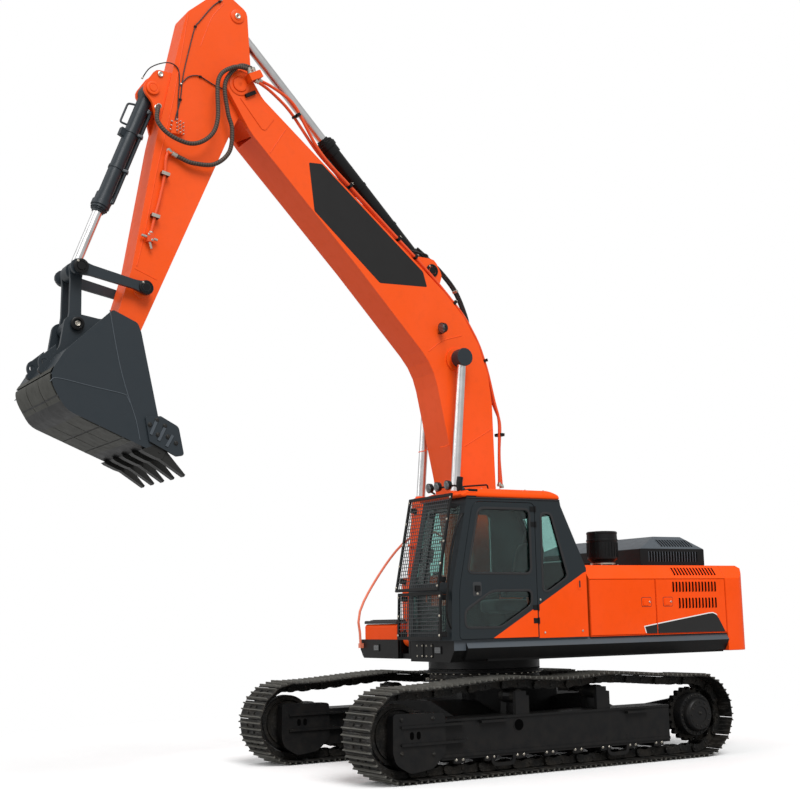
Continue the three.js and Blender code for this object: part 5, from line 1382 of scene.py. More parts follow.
def slot_row(
    start: Array, step: Array, count: int, width: float, height: float, u: Array, v: Array
) -> tuple[Patch, Patch]:
    """A row of pressed louvre slots: a thin sheet of painted shade in each opening, and a raised lip along its edge.

    Args:
        start: the middle of the first slot.
        step: the way to the next one.
        count: how many.
        width: across a slot.
        height: along a slot.
        u: the unit vector across a slot.
        v: the unit vector along a slot.

    Returns:
        The painted-shade sheets of the openings, and the lips.
    """
    places = start + np.arange(count)[:, None] * step
    at = placings(places, u, v)
    # Each opening is a thin sheet for a near-black finish: painted shade, not a hole.
    hole = prism(pill(width, height), (0, 0, 0), X, Y, 0.0015)
    t = np.linspace(0, np.pi, 7)
    arch = np.stack([-width * 0.62 + 0.2 * width * np.cos(t), 0.25 * width * np.sin(t)], 1)
    rows = np.linspace(-height / 2, height / 2, 7)
    swell = np.sqrt(np.clip(1 - (rows / (height / 2 + 0.002)) ** 6, 0.02, 1))
    lip = grid(np.stack([
        np.broadcast_to(arch[None, :, 0], (7, 7)), np.broadcast_to(rows[:, None], (7, 7)),
        arch[None, :, 1] * swell[:, None]
    ], axis=-1))
    return copies(hole, at), copies(lip, at)


@dataclass
class House:
    """The engine house: its panels, doors, louvres, decal, seams and hood."""

    side: float = 1.48

    def build(self) -> None:
        """Dresses the panels and builds what lies on them."""
        for node in (
            "left_house", "rear_house", "left_front_door", "left_rear_door", "right_rear_door", "fuel_tank",
            "hydraulic_tank", "tool_box"
        ):
            dress(node, Finish.PANEL, 0.055 if node == "tool_box" else 0.008, 5 if node == "tool_box" else 2)
        dress("engine_block", Finish.IRON, 0.01)
        self.louvres()
        self.wedge()
        self.latches()
        self.hood()
        self.cleaner()
        self.walkway()

    def louvres(self) -> None:
        """Three rows of slots on the left rear door and the chamfer, and the same on the right door."""
        for sign, word, door in ((1, "left", "left_rear_door"), (-1, "right", "right_rear_door")):
            x = sign * self.side
            u, v = np.array([0.0, sign * 1.0, 0]), Z
            painted_slots, lips = [], []
            for y0, y1, z0, z1, count in ((1.890, 2.604, 2.013, 2.142, 14), (1.985, 2.602, 1.809, 1.941, 12)):
                step = (y1 - y0) / (count - 1)
                hole, lip = slot_row(
                    machine([(x, y0, (z0 + z1) / 2)])[0], np.array([0, step, 0]), count, 0.033, z1 - z0, u, v
                )
                painted_slots.append(hole)
                lips.append(lip)
            # The openings are thin sheets of painted shade under the lips.
            piece(f"door_louvres_{word}", door, [(Finish.PANEL, lips), (Finish.OPENING_SHADE, painted_slots)])
            slope = unit([-0.12 * sign, 0, 0.164])
            hole, lip = slot_row(spot(sign * 1.418, 1.955, 2.2704), np.array([0, 0.053, 0]), 14, 0.033, 0.125, u, slope)
            # The chamfer's openings are painted shade as well.
            piece(f"roof_louvres_{word}", UPPER, [(Finish.PANEL, lip), (Finish.OPENING_SHADE, hole)])

    def wedge(self) -> None:
        """The black wedge with its thin white outline over the two left doors, split at their seam."""
        x = self.side
        dark_rear = [
            (1.608, 1.6232), (2.47, 1.7388), (2.54, 1.743), (2.60, 1.722), (2.64, 1.675), (2.742, 1.509), (1.608, 1.512)
        ]
        dark_front = [(1.397, 1.594), (1.592, 1.6206), (1.592, 1.512), (1.424, 1.513)]
        white_rear = [(1.608, 1.6355), (2.47, 1.7515), (2.545, 1.7545), (2.607, 1.731), (2.62, 1.69), (1.608, 1.56)]
        white_front = [(1.382, 1.604), (1.592, 1.6335), (1.592, 1.60), (1.42, 1.575), (1.422, 1.520), (1.408, 1.520)]
        piece("wedge_decal_rear", "left_rear_door", [
            (Finish.DECAL, film(dark_rear, x + 0.0012)), (Finish.WHITE_LINE, film(white_rear, x))
        ])
        piece("wedge_decal_front", "left_front_door", [
            (Finish.DECAL, film(dark_front, x + 0.0012)), (Finish.WHITE_LINE, film(white_front, x))
        ])

    def latches(self) -> None:
        """Flush paddle latches with their pans, keys and seams on each side door."""
        for body, name, sign, places in (
            ("left_front_door", "front", 1, [1.44]), ("left_rear_door", "rear", 1, [1.79]),
            ("right_rear_door", "right", -1, [1.79])
        ):
            x = sign * self.side
            pans, paddles, keys, seams = [], [], [], []
            for y in places:
                pan = rectangle(y - 0.075, 1.842, y + 0.075, 1.948, 0.02)
                paddle = rectangle(y - 0.058, 1.855, y + 0.025, 1.935, 0.012)
                seams.append(film(rectangle(y - 0.081, 1.836, y + 0.081, 1.954, 0.024), x, 0.0008))
                pans.append(film(pan, x, 0.0025))
                paddles.append(film(paddle, x + sign * 0.0025, 0.007))
                keys.append(turned(
                    [(0.013, 0), (0.013, 0.006), (0.011, 0.008), (0.004, 0.008)],
                    spot(x + sign * 0.0025, y + 0.048, 1.895), (sign, 0, 0), 16
                ))
            piece(f"door_latch_{name}", body, [
                (Finish.PANEL, pans), (Finish.PANEL, paddles), (Finish.ZINC, keys), (Finish.RUBBER, seams)
            ], 0.0015)

    def hood(self) -> None:
        """The engine hood: black sides under a bevelled top whose upward faces get a lighter grey as painted light,
        with slots along the side and the bevel.
        """
        # Faces pointing up take the lighter slate: a painted highlight on the top and the bevel.
        copied(
            "hood_cover", "engine_hood", [Finish.BLACK, Finish.SLATE_HIGHLIGHT],
            lambda centre, normal: (normal[:, 2] > 0.35).astype(int), 0.012
        )
        painted_slots = []
        for sign in (1, -1):
            u, v = np.array([0.0, sign * 1.0, 0]), Z
            hole, lip = slot_row(spot(sign * 1.18, 1.80, 2.470), np.array([0, 0.047, 0]), 18, 0.026, 0.130, u, v)
            # Slot lips in the painted highlight slate over sheets of painted shade.
            painted_slots += [(Finish.SLATE_HIGHLIGHT, lip), (Finish.OPENING_SHADE, hole)]
            slope = unit([-0.21 * sign, 0, 0.17])
            hole, lip = slot_row(spot(sign * 1.085, 2.05, 2.647), np.array([0, 0.047, 0]), 12, 0.028, 0.15, u, slope)
            painted_slots += [(Finish.SLATE_HIGHLIGHT, lip), (Finish.OPENING_SHADE, hole)]
        piece("hood_slots", "engine_hood", painted_slots)
        grip = tube(spline(machine([
            (0.30, 1.637, 2.43), (0.30, 1.60, 2.43), (0.10, 1.60, 2.43), (0.10, 1.637, 2.43)
        ]), 24), 0.010, 8, Z)
        piece("hood_grip", "engine_hood", [(Finish.BLACK, grip)])

    def cleaner(self) -> None:
        """The air pre-cleaner: a bowl with a stepped, ribbed lid on a neck, and a clamp round it."""
        base = spot(1.09, 1.10, 2.3503)
        bowl = turned([
            (0.12, 0), (0.15, 0.002), (0.15, 0.05), (0.155, 0.062), (0.186, 0.085), (0.190, 0.10), (0.190, 0.30),
            (0.196, 0.305), (0.198, 0.318), (0.196, 0.330), (0.190, 0.334), (0.188, 0.395), (0.192, 0.398),
            (0.192, 0.418), (0.180, 0.428), (0.10, 0.434), (0.03, 0.436)
        ], base, Z, 56)
        vanes = copies(
            box((0.184, -0.004, 0.11), (0.196, 0.004, 0.29)),
            placings(
                np.tile(base, (28, 1)), np.stack([np.cos(a := np.arange(28) * 2 * np.pi / 28), np.sin(a), 0 * a], 1),
                np.stack([-np.sin(a), np.cos(a), 0 * a], 1)
            )
        )
        band = turned([(0.150, 0.018), (0.157, 0.019), (0.157, 0.036), (0.150, 0.037)], base, Z, 40)
        foot = turned([(0.14, 0), (0.20, 0.0), (0.202, 0.006), (0.165, 0.012), (0.14, 0.012)], base, Z, 40)
        feet = bolts(on_circle(base + [0, 0, 0.010], Z, 0.184, 8), Z, 0.009)
        piece("pre_cleaner_bowl", UPPER, [
            (Finish.BLACK, [bowl, vanes]), (Finish.ZINC, [band, feet]), (Finish.BLACK, foot)
        ], replaces=["pre_cleaner"])

    def walkway(self) -> None:
        """The tool box's lid with its studded mat, the tanks' filler caps and their mats."""
        copied("tool_box_cover", "tool_box_lid", [Finish.GRIP], all_first, 0.008)
        outline = rectangle(-1.32, -0.90, -0.62, -0.36, 0.04)
        mat = prism(outline, spot(0, 0, 1.7341), X, Y, 0.008)
        studs_at = np.stack(np.meshgrid(
            np.linspace(-1.28, -0.66, 14), np.linspace(-0.86, -0.40, 11)
        ), -1).reshape(-1, 2)
        stud = turned([(0.013, 0), (0.012, 0.004), (0.006, 0.005)], (0, 0, 0), Z, 8)
        studs = copies(stud, placings(machine(np.column_stack([studs_at, np.full(len(studs_at), 1.742)])), X, Y))
        piece("tool_box_mat", "tool_box_lid", [(Finish.GRIP, [mat, studs])])
        caps = []
        for y in (0.10, 1.25):
            base = spot(-1.18, y, 2.3003)
            caps.append(turned([
                (0.085, 0), (0.085, 0.022), (0.062, 0.028), (0.062, 0.062), (0.054, 0.070), (0.02, 0.071)
            ], base, Z, 32))
        piece("tank_caps", UPPER, [(Finish.BLACK, caps)], 0.002)
        mats = [
            prism(rectangle(-1.40, y0, -0.62, y1, 0.05), spot(0, 0, 2.3003), X, Y, 0.006)
            for y0, y1 in ((0.30, 0.60), (0.72, 1.10))
        ]
        piece("tank_mats", UPPER, [(Finish.GRIP, mats)])


@dataclass
class Deck:
    """The platform under the house and the cab, with its skirt, and the counterweight."""

    def build(self) -> None:
        """Finishes the deck by height, then adds the counterweight with its plugs, and the lamps."""
        copied("deck", "deck_frame", [Finish.BLACK, Finish.SLATE_HIGHLIGHT, Finish.PANEL], self.bands, 0.006)
        copied(
            "counterweight_casting", "counterweight", [Finish.PANEL, Finish.BLACK],
            lambda centre, normal: (normal[:, 2] < -0.8).astype(int), 0.035
        )
        self.trim()
        self.lamps()

    @staticmethod
    def bands(centre: Array, normal: Array) -> Array:
        """Orange for the centre plates that carry the boom, a lighter slate as painted highlight on the skirt's side
        faces above its ridge, black elsewhere.
        """
        plates = (np.abs(centre[:, 0]) < 0.36) & (centre[:, 2] > 1.50)
        # The skirt's side faces in this band get the painted highlight slate.
        side = (
            np.abs(centre[:, 0]) > 1.36
        ) & (centre[:, 2] > 1.405) & (centre[:, 2] < 1.52) & (np.abs(normal[:, 0]) > 0.3)
        return np.where(plates, 2, np.where(side, 1, 0))

    def trim(self) -> None:
        """Two round plugs, each with a hexagon, on top of the counterweight."""
        parts = []
        for x in (-0.75, 0.75):
            base = spot(x, 2.92, 2.3503)
            parts.append(merged(
                turned([(0.06, 0), (0.06, 0.012), (0.05, 0.014)], base, Z, 24),
                turned([(0.038, 0.014), (0.038, 0.03), (0.03, 0.036)], base, Z, 6)
            ))
        piece("counterweight_plugs", UPPER, [(Finish.BLACK, parts)])

    def lamps(self) -> None:
        """Work lamps let into the fronts of the two platforms, each in a rounded pan."""
        for name, x, y in (("left", 1.12, -1.40), ("right", -1.05, -0.95)):
            outline = rectangle(x - 0.075, 1.345, x + 0.075, 1.435, 0.018)
            rim = prism(outline, spot(0, y, 0), X, Z, 0.010)
            lens = prism(rectangle(x - 0.06, 1.357, x + 0.06, 1.423, 0.014), spot(0, y - 0.010, 0), X, Z, 0.003)
            piece(f"deck_lamp_{name}", UPPER, [(Finish.BLACK, rim), (Finish.LAMP, lens)], 0.002)


# ------------------------------------------------------------------ cab


@dataclass(frozen=True)
class Panel:
    """A flat panel in front of the cab, as the line of its outer face in the side view.

    Args:
        low: (y, z) of its lower edge.
        high: (y, z) of its upper edge.
    """

    low: tuple[float, float]
    high: tuple[float, float]

    def axes(self) -> tuple[Array, Array, Array]:
        """Its lower edge's point at x 0, and its unit vectors up along it and out of it."""
        a, b = machine_side([self.low, self.high])
        rise = unit([0, b[0] - a[0], b[1] - a[1]])
        return np.array([0, a[0], a[1]]), rise, np.cross(X, rise)

    def height(self) -> float:
        """Its height along itself."""
        return math.dist(self.low, self.high)

    def plate(self, outline: Array, depth: float, out: float = 0.0) -> Patch:
        """A plate with an (x, up) outline, drawn out of the panel by depth from a distance out of it."""
        origin, rise, normal = self.axes()
        return prism(outline, origin + normal * out, X, rise, depth)

    def point(self, x: float, up: float, out: float = 0.0) -> Array:
        """A point of the panel."""
        origin, rise, normal = self.axes()
        return origin + np.array([x, 0, 0]) + rise * up + normal * out


def rectangle(x0: float, y0: float, x1: float, y1: float, corner: float = 0.0) -> Array:
    """A rectangle's outline, with rounded corners if a corner is given."""
    flat = np.array([(x0, y0), (x1, y0), (x1, y1), (x0, y1)])
    return rounded(flat, corner) if corner else flat


def cushion(centre: Sequence[float], half: Sequence[float], tilt: float = 0.0, power: float = 0.42) -> Patch:
    """A padded block as a superellipsoid: each coordinate is its half size times a signed power of the sphere's.

    Args:
        centre: its middle.
        half: its three half sizes.
        tilt: radians by which it leans back about X.
        power: 1 is an ellipsoid and smaller values come nearer to a block.

    Returns:
        The closed surface.
    """

    def soft(value: Array) -> Array:
        return np.sign(value) * np.abs(value) ** power

    lat = np.linspace(-np.pi / 2 + 0.02, np.pi / 2 - 0.02, 22)[:, None]
    lon = (np.arange(40) * 2 * np.pi / 40)[None]
    x = soft(np.cos(lat)) * soft(np.cos(lon)) * half[0]
    y = soft(np.cos(lat)) * soft(np.sin(lon)) * half[1]
    z = soft(np.sin(lat)) * half[2] + 0 * lon
    turned_y = y * math.cos(tilt) + z * math.sin(tilt)
    turned_z = z * math.cos(tilt) - y * math.sin(tilt)
    return grid(np.stack([x + centre[0], turned_y + centre[1], turned_z + centre[2]], axis=-1))


@dataclass
class Cab:
    """The cab: shell, roof, door, glass with seals, guards, rail and the inside."""

    inner: float = 0.545
    outer: float = 1.480
    upper_guard: Panel = Panel((-1.600, 2.064), (-1.375, 3.165))
    lower_guard: Panel = Panel((-1.580, 1.510), (-1.560, 2.048))
    guard_x: tuple[float, float] = (0.512, 1.440)
    mesh: float = 0.043

    door_upper: tuple = ((-1.215, 2.250), (-0.305, 2.240), (-0.305, 3.000), (-1.040, 3.000))
    door_lower: tuple = (
        (-1.260, 1.635), (-0.760, 1.630), (-0.310, 1.880), (-0.310, 2.055), (-0.880, 2.050), (-1.260, 1.830)
    )
    quarter: tuple = ((-0.150, 2.040), (-0.060, 2.030), (0.240, 2.205), (0.010, 2.960), (-0.145, 2.960))

    def build(self) -> None:
        """Builds the outside, then the inside."""
        copied("cab_frame", "cab_shell", [Finish.CAB], all_first, 0.010)
        dress("cab_roof", Finish.PANEL, 0.028, 4)
        dress("cab_door", Finish.CAB, 0.008)
        for node in ("door_window_upper", "door_window_lower", "cab_quarter_window"):
            dress(node, Finish.GLASS, 0.0)
        for node in ("windscreen_upper", "windscreen_lower", "cab_rear_window", "cab_right_window"):
            dress(node, Finish.CLEAR, 0.0)
        self.seals()
        self.films()
        self.guards()
        self.door_trim()
        self.roof_trim()
        self.rails()
        self.inside()

    def seals(self) -> None:
        """Black glazing rubbers: a small section carried round each window."""
        section = rectangle(-0.017, -0.006, 0.012, 0.0045, 0.004)
        for name, body, outline, corner in (
            ("door_upper", "cab_door", self.door_upper, 0.085), ("door_lower", "cab_door", self.door_lower, 0.07),
            ("quarter", UPPER, self.quarter, 0.06)
        ):
            flat = machine_side(rounded(outline, corner, 8))
            path = np.column_stack([np.full(len(flat), self.outer), flat])
            piece(f"seal_{name}", body, [(Finish.RUBBER, carried(section, path, X, ring=True))])
            mullion = carried(rectangle(-0.004, -0.05, 0.004, 0.002), path - [0.004, 0, 0], X, ring=True)
            piece(f"window_return_{name}", body, [(Finish.RUBBER, mullion)])

    def films(self) -> None:
        """The orange field below the diagonal on the door and on the shell behind it."""
        slope = (1.871 - 1.498) / (-0.227 + 0.903)
        door = [(-0.876, 1.513), (-0.239, 1.513), (-0.239, 1.871 - 0.012 * slope)]
        shell = [(-0.222, 1.499), (0.508, 1.499), (0.508, 2.268), (0.47, 2.256), (-0.222, 1.874)]
        piece("door_orange_field", "cab_door", [(Finish.PANEL, film(door, self.outer, 0.0015))])
        piece("shell_orange_field", UPPER, [(Finish.PANEL, film(shell, self.outer, 0.0015))])

    def lattice(self, panel: Panel, x0: float, x1: float, low: float, high: float) -> Patch:
        """Thin upright and level bars between the given sides of a panel."""
        across_at = np.linspace(x0, x1, max(2, int(round((x1 - x0) / self.mesh)) + 1))[1:-1]
        up_at = np.linspace(low, high, max(2, int(round((high - low) / self.mesh)) + 1))[1:-1]
        bars = [panel.plate(rectangle(x - 0.0036, low, x + 0.0036, high), 0.007, -0.016) for x in across_at]
        bars += [panel.plate(rectangle(x0, u - 0.0036, x1, u + 0.0036), 0.007, -0.010) for u in up_at]
        return merged(*bars)

    def guards(self) -> None:
        """The two mesh guards: flat frames with bolts and feet, and a fine lattice in each."""
        x0, x1 = self.guard_x
        for name, panel, node in (
            ("upper", self.upper_guard, "front_guard_upper"), ("lower", self.lower_guard, "front_guard_lower")
        ):
            h = panel.height()
            rail = 0.034
            rims = [
                panel.plate(rectangle(*r, 0.006), 0.024, -0.025)
                for r in (
                    (x0, 0, x0 + rail, h), (x1 - rail, 0, x1, h), (x0 + rail, 0, x1 - rail, rail),
                    (x0 + rail, h - rail, x1 - rail, h)
                )
            ]
            net = self.lattice(panel, x0 + rail, x1 - rail, rail, h - rail)
            spots = [
                (x, u)
                for x in (x0 + rail / 2, x1 - rail / 2)
                for u in np.linspace(0.05, h - 0.05, 5 if name == "upper" else 3)
            ]
            heads = bolts([panel.point(x, u, -0.001) for x, u in spots], panel.axes()[2], 0.011)
            feet = []
            for u in (0.12 * h, 0.88 * h):
                for x in (x0 + 0.055, x1 - 0.025):
                    feet.append(panel.plate(rectangle(x - 0.02, u - 0.03, x + 0.02, u + 0.03, 0.006), 0.075, -0.10))
            piece(f"guard_{name}", UPPER, [(Finish.BLACK, [*rims, *feet]), (Finish.ZINC, heads)], 0.002, [node])
            piece(f"guard_mesh_{name}", UPPER, [(Finish.MESH, net)])

    def door_trim(self) -> None:
        """The door's handle pan, grip, lock and hinges, and the lock plate and bolts on the shell behind it."""
        x = self.outer
        pan = film(rectangle(-1.145, 1.990, -1.025, 2.150, 0.025), x, 0.004)
        grip = box(spot(x + 0.004, -1.12, 2.045), spot(x + 0.022, -1.05, 2.110))
        lock = turned([(0.014, 0), (0.014, 0.006), (0.010, 0.009)], spot(x + 0.004, -1.085, 2.018), X, 16)
        piece("door_handle", "cab_door", [(Finish.PLASTIC, pan), (Finish.BLACK, grip), (Finish.ZINC, lock)], 0.003)
        leaves, knuckles = [], []
        for z in (1.70, 1.85, 2.82, 3.00):
            leaves.append(box(spot(x, -0.300, z - 0.030), spot(x + 0.006, -0.236, z + 0.030)))
            knuckles.append(straight(spot(x + 0.010, -0.228, z - 0.036), spot(x + 0.010, -0.228, z + 0.036), 0.011, 14))
        piece("door_hinges", "cab_door", [(Finish.BLACK, [*leaves, *knuckles])], 0.0015)
        key = film(np.array([(0.40, 2.116)]) + pill(0.060, 0.130), x + 0.0015, 0.004)
        hole = film(np.array([(0.40, 2.120)]) + pill(0.022, 0.085), x + 0.0055, 0.001)
        low_bolt = bolts(machine([(x + 0.0015, 0.422, 1.568), (x + 0.0015, -0.14, 1.56), (x, -0.19, 1.94)]), X, 0.010)
        piece("shell_lock", UPPER, [(Finish.PANEL, key), (Finish.RUBBER, hole), (Finish.ZINC, low_bolt)])

    def roof_trim(self) -> None:
        """The roof's lamp bar, lamps, bolts, gutter and corner cap."""
        bar = tube(rounded_line(machine([
            (0.56, -1.03, 3.236), (0.56, -1.13, 3.285), (1.16, -1.13, 3.285), (1.16, -1.03, 3.236)
        ]), 0.04), 0.012, 10, (0, 0.3, 1))
        parts = [(Finish.BLACK, bar)]
        for x in (0.62, 0.80, 1.02):
            base = spot(x, -1.15, 3.305)
            bowl = turned([
                (0.02, 0), (0.052, 0.016), (0.058, 0.05), (0.060, 0.062), (0.055, 0.064)
            ], base + [0, 0.05, 0.0], (0, -1, -0.15), 28)
            lens = turned([(0.054, 0.064), (0.045, 0.069), (0.01, 0.071)], base + [0, 0.05, 0.0], (0, -1, -0.15), 28)
            parts += [(Finish.BLACK, merged(bowl, box(
                base + [-0.012, 0.014, -0.03], base + [0.012, 0.034, 0.0]
            ))), (Finish.LAMP, lens)]
        piece("roof_lamps", UPPER, parts, 0.0015)
        post = tube(rounded_line(machine([
            (1.22, -1.06, 3.236), (1.22, -1.105, 3.20), (1.22, -1.115, 3.30), (1.22, -1.10, 3.375)
        ]), 0.03), 0.038, 16, X)
        flat = tube(rounded_line(machine([
            (1.20, -1.08, 3.262), (1.20, -1.014, 3.272), (1.20, -0.703, 3.300), (1.20, -0.69, 3.236)
        ]), 0.02), 0.010, 8, X)
        cap = merged(
            box(spot(1.27, -1.196, 3.116), spot(1.484, -1.06, 3.170)),
            box(spot(1.30, -1.15, 3.150), spot(1.470, -1.03, 3.215))
        )
        piece("roof_front_corner", UPPER, [(Finish.BLACK, [post, flat]), (Finish.BLACK, cap)], 0.012)
        heads = bolts(machine([(x, y, 3.2323) for x in (0.66, 1.36) for y in (-0.90, -0.64, -0.27, 0.0)]), Z, 0.010)
        piece("roof_bolts", UPPER, [(Finish.ZINC, heads)])
        gutter = np.column_stack([
            np.full(3, self.outer + 0.004), machine_side([(-1.20, 3.112), (-0.5, 3.114), (0.14, 3.114)])
        ])
        piece("roof_gutter", UPPER, [(Finish.RUBBER, tube(gutter, 0.008, 8, X))])

    def rails(self) -> None:
        """The black grab rail down the cab's front corner, the right handrail and the plates on the deck's front."""
        rail = spline(machine([
            (1.448, -1.385, 1.60), (1.470, -1.46, 1.66), (1.475, -1.50, 1.80), (1.475, -1.49, 2.00),
            (1.475, -1.44, 2.40), (1.475, -1.36, 2.72), (1.470, -1.27, 2.90), (1.445, -1.20, 2.93)
        ]), 72)
        piece("cab_grab_rail", UPPER, [(Finish.BLACK, tube(rail, 0.014, 12))])
        dress("right_handrail", Finish.RAIL, 0.0)
        plates = []
        for x in (0.66, 0.86):
            plates.append(prism(rectangle(x, 1.30, x + 0.15, 1.46, 0.02), spot(0, -1.40, 0), X, Z, 0.008))
        screws = bolts(
            machine([(x, -1.408, z) for x in (0.68, 0.79, 0.88, 0.99) for z in (1.32, 1.44)]), (0, -1, 0), 0.009
        )
        piece("deck_front_plates", UPPER, [(Finish.BLACK, plates), (Finish.ZINC, screws)], 0.002)

    def inside(self) -> None:
        """The seat, its belt, arm rests, consoles, levers, pedals and monitor."""
        x, y, floor = 1.02, -0.35, 1.5523
        place = spot(x, y, floor)
        seat = cushion(place + [0, 0.0, 0.325], (0.25, 0.27, 0.085))
        back = cushion(place + [0, 0.32, 0.72], (0.24, 0.075, 0.36), 0.19)
        head = cushion(place + [0, 0.42, 1.14], (0.14, 0.055, 0.10), 0.19)
        made = piece("seat_cushions", UPPER, [(Finish.CLOTH, [seat, back, head])], replaces=["operator_seat"])
        base = box(place + [-0.17, -0.15, 0.0], place + [0.17, 0.22, 0.24])
        piece("seat_base", UPPER, [(Finish.PLASTIC, base)], 0.012)
        belt = carried(
            rectangle(-0.024, -0.0015, 0.024, 0.0015),
            spline(
                place + np.array([
                    (-0.255, 0.14, 0.30), (-0.262, 0.10, 0.44), (-0.20, 0.05, 0.425), (0.0, 0.0, 0.418),
                    (0.20, 0.05, 0.425), (0.262, 0.10, 0.44), (0.255, 0.14, 0.30)
                ]), 60
            ), Y
        )
        piece("seat_belt", UPPER, [(Finish.BELT, belt)])
        copied("console_body", "control_console", [Finish.PLASTIC], all_first, 0.012)
        pods, sticks, boots = [], [], []
        for side in (-1, 1):
            pods.append(cushion(place + [side * 0.33, -0.10, 0.46], (0.055, 0.20, 0.04), 0.0, 0.3))
            foot = place + [side * 0.33, -0.24, 0.49]
            boots.append(turned([(0.045, 0), (0.03, 0.04), (0.018, 0.07)], foot, (0, -0.15, 1), 20))
            sticks.append(turned([
                (0.012, 0.05), (0.013, 0.12), (0.024, 0.14), (0.026, 0.21), (0.018, 0.24), (0.006, 0.248)
            ], foot, (0, -0.15, 1), 20))
        levers = [straight(place + [s * 0.09, -0.72, 0.0], place + [s * 0.09, -0.60, 0.62], 0.010, 10) for s in (-1, 1)]
        knobs = [
            turned(
                [(0.006, 0), (0.02, 0.012), (0.022, 0.06), (0.01, 0.085)], place + [s * 0.09, -0.61, 0.58],
                (0, 0.19, 1), 16
            )
            for s in (-1, 1)
        ]
        pedals = [
            prism(
                rectangle(x + s * 0.09 - 0.05, -0.10, x + s * 0.09 + 0.05, 0.10, 0.02),
                np.array([0, place[1] - 0.78, floor + 0.10]), X, (0, 0.35, 0.94), 0.012
            )
            for s in (-1, 1)
        ]
        piece("cab_controls", UPPER, [
            (Finish.PLASTIC, [*pods, *boots]), (Finish.RUBBER, [*sticks, *knobs, *pedals]), (Finish.ZINC, levers)
        ])
        post = straight(place + [-0.36, -0.86, 0.30], place + [-0.36, -0.86, 0.85], 0.018, 12)
        screen = cushion(place + [-0.36, -0.88, 0.93], (0.12, 0.025, 0.085), 0.15, 0.25)
        piece("cab_monitor", UPPER, [(Finish.PLASTIC, [post, screen])])


# ------------------------------------------------------------------ boom, arm and linkage


def weld(
    member_of: "Member", points: Sequence[tuple[float, float]], x: float, radius: float = 0.006, count: int = 40
) -> Patch:
    """A weld bead along a line of a member's side, half sunk into the plate."""
    flat = spline(member_of.places([(x, a, o) for a, o in points]), count)
    return tube(flat, radius, 8, X)


def clamp(
    place: Array, along: Array, radius: float, lift: float = 0.05, down: Array = np.array([0.0, 0.0, -1.0])
) -> tuple[Patch, Patch]:
    """A pipe clamp: two black jaws with a bright cap strip and two screws."""
    side = unit(np.cross(along, down))
    jaw = prism(
        rectangle(-radius * 1.9, -radius * 1.3, radius * 1.9, radius * 1.3, radius * 0.4), place - along * 0.018, side,
        np.cross(along, side), 0.036
    )
    strip = prism(
        rectangle(-radius * 1.9, -0.004, radius * 1.9, 0.004), place - along * 0.02 - down * radius * 1.4, side,
        np.cross(along, side), 0.04
    )
    heads = bolts([place - down * radius * 1.45 + side * s * radius * 1.4 for s in (-1, 1)], -down, 0.008)
    foot = prism(
        rectangle(-radius * 0.8, -lift / 2, radius * 0.8, lift / 2), place - along * 0.010 + down * (radius + lift / 2),
        side, down, 0.02
    )
    return merged(jaw, foot), merged(strip, heads)


def fitting(path: Array, at_start: bool, radius: float, length: float = 0.07) -> Patch:
    """A crimped bright hose end: stepped rings round the path's first or last straight."""
    a, b = (path[0], path[2]) if at_start else (path[-1], path[-3])
    axis = unit(b - a)
    r = radius
    return turned([(r * 1.05, 0), (r * 1.35, 0.002), (r * 1.35, 0.016), (r * 1.12, 0.018), (r * 1.12, length * 0.45),
                   (r * 1.22, length * 0.5), (r * 1.22, length * 0.95), (r * 1.05, length)], a, axis, 20)


def pin_cap(place: Sequence[float], side: int, radius: float, out: float, nuts: int = 1) -> tuple[Patch, Patch]:
    """A round collar with a stepped pin face, and its bright keeper bolt.

    Args:
        place: the centre of the face that it sits on.
        side: 1 when it points along +X and -1 along -X.
        radius: the collar's radius.
        out: how far it stands out.
        nuts: how many keeper bolts it has.

    Returns:
        The dark collar and the bright bolts.
    """
    axis = (float(side), 0, 0)
    collar = turned([
        (radius, 0), (radius, out * 0.7), (radius * 0.92, out * 0.8), (radius * 0.66, out * 0.8),
        (radius * 0.62, out * 0.6), (radius * 0.56, out * 0.6), (radius * 0.54, out), (radius * 0.1, out)
    ], place, axis, 40)
    spots = on_circle(np.asarray(place) + np.array([side * out * 0.8, 0, 0]), axis, radius * 0.79, nuts, 2.2)
    return collar, bolts(spots, axis, radius * 0.12)


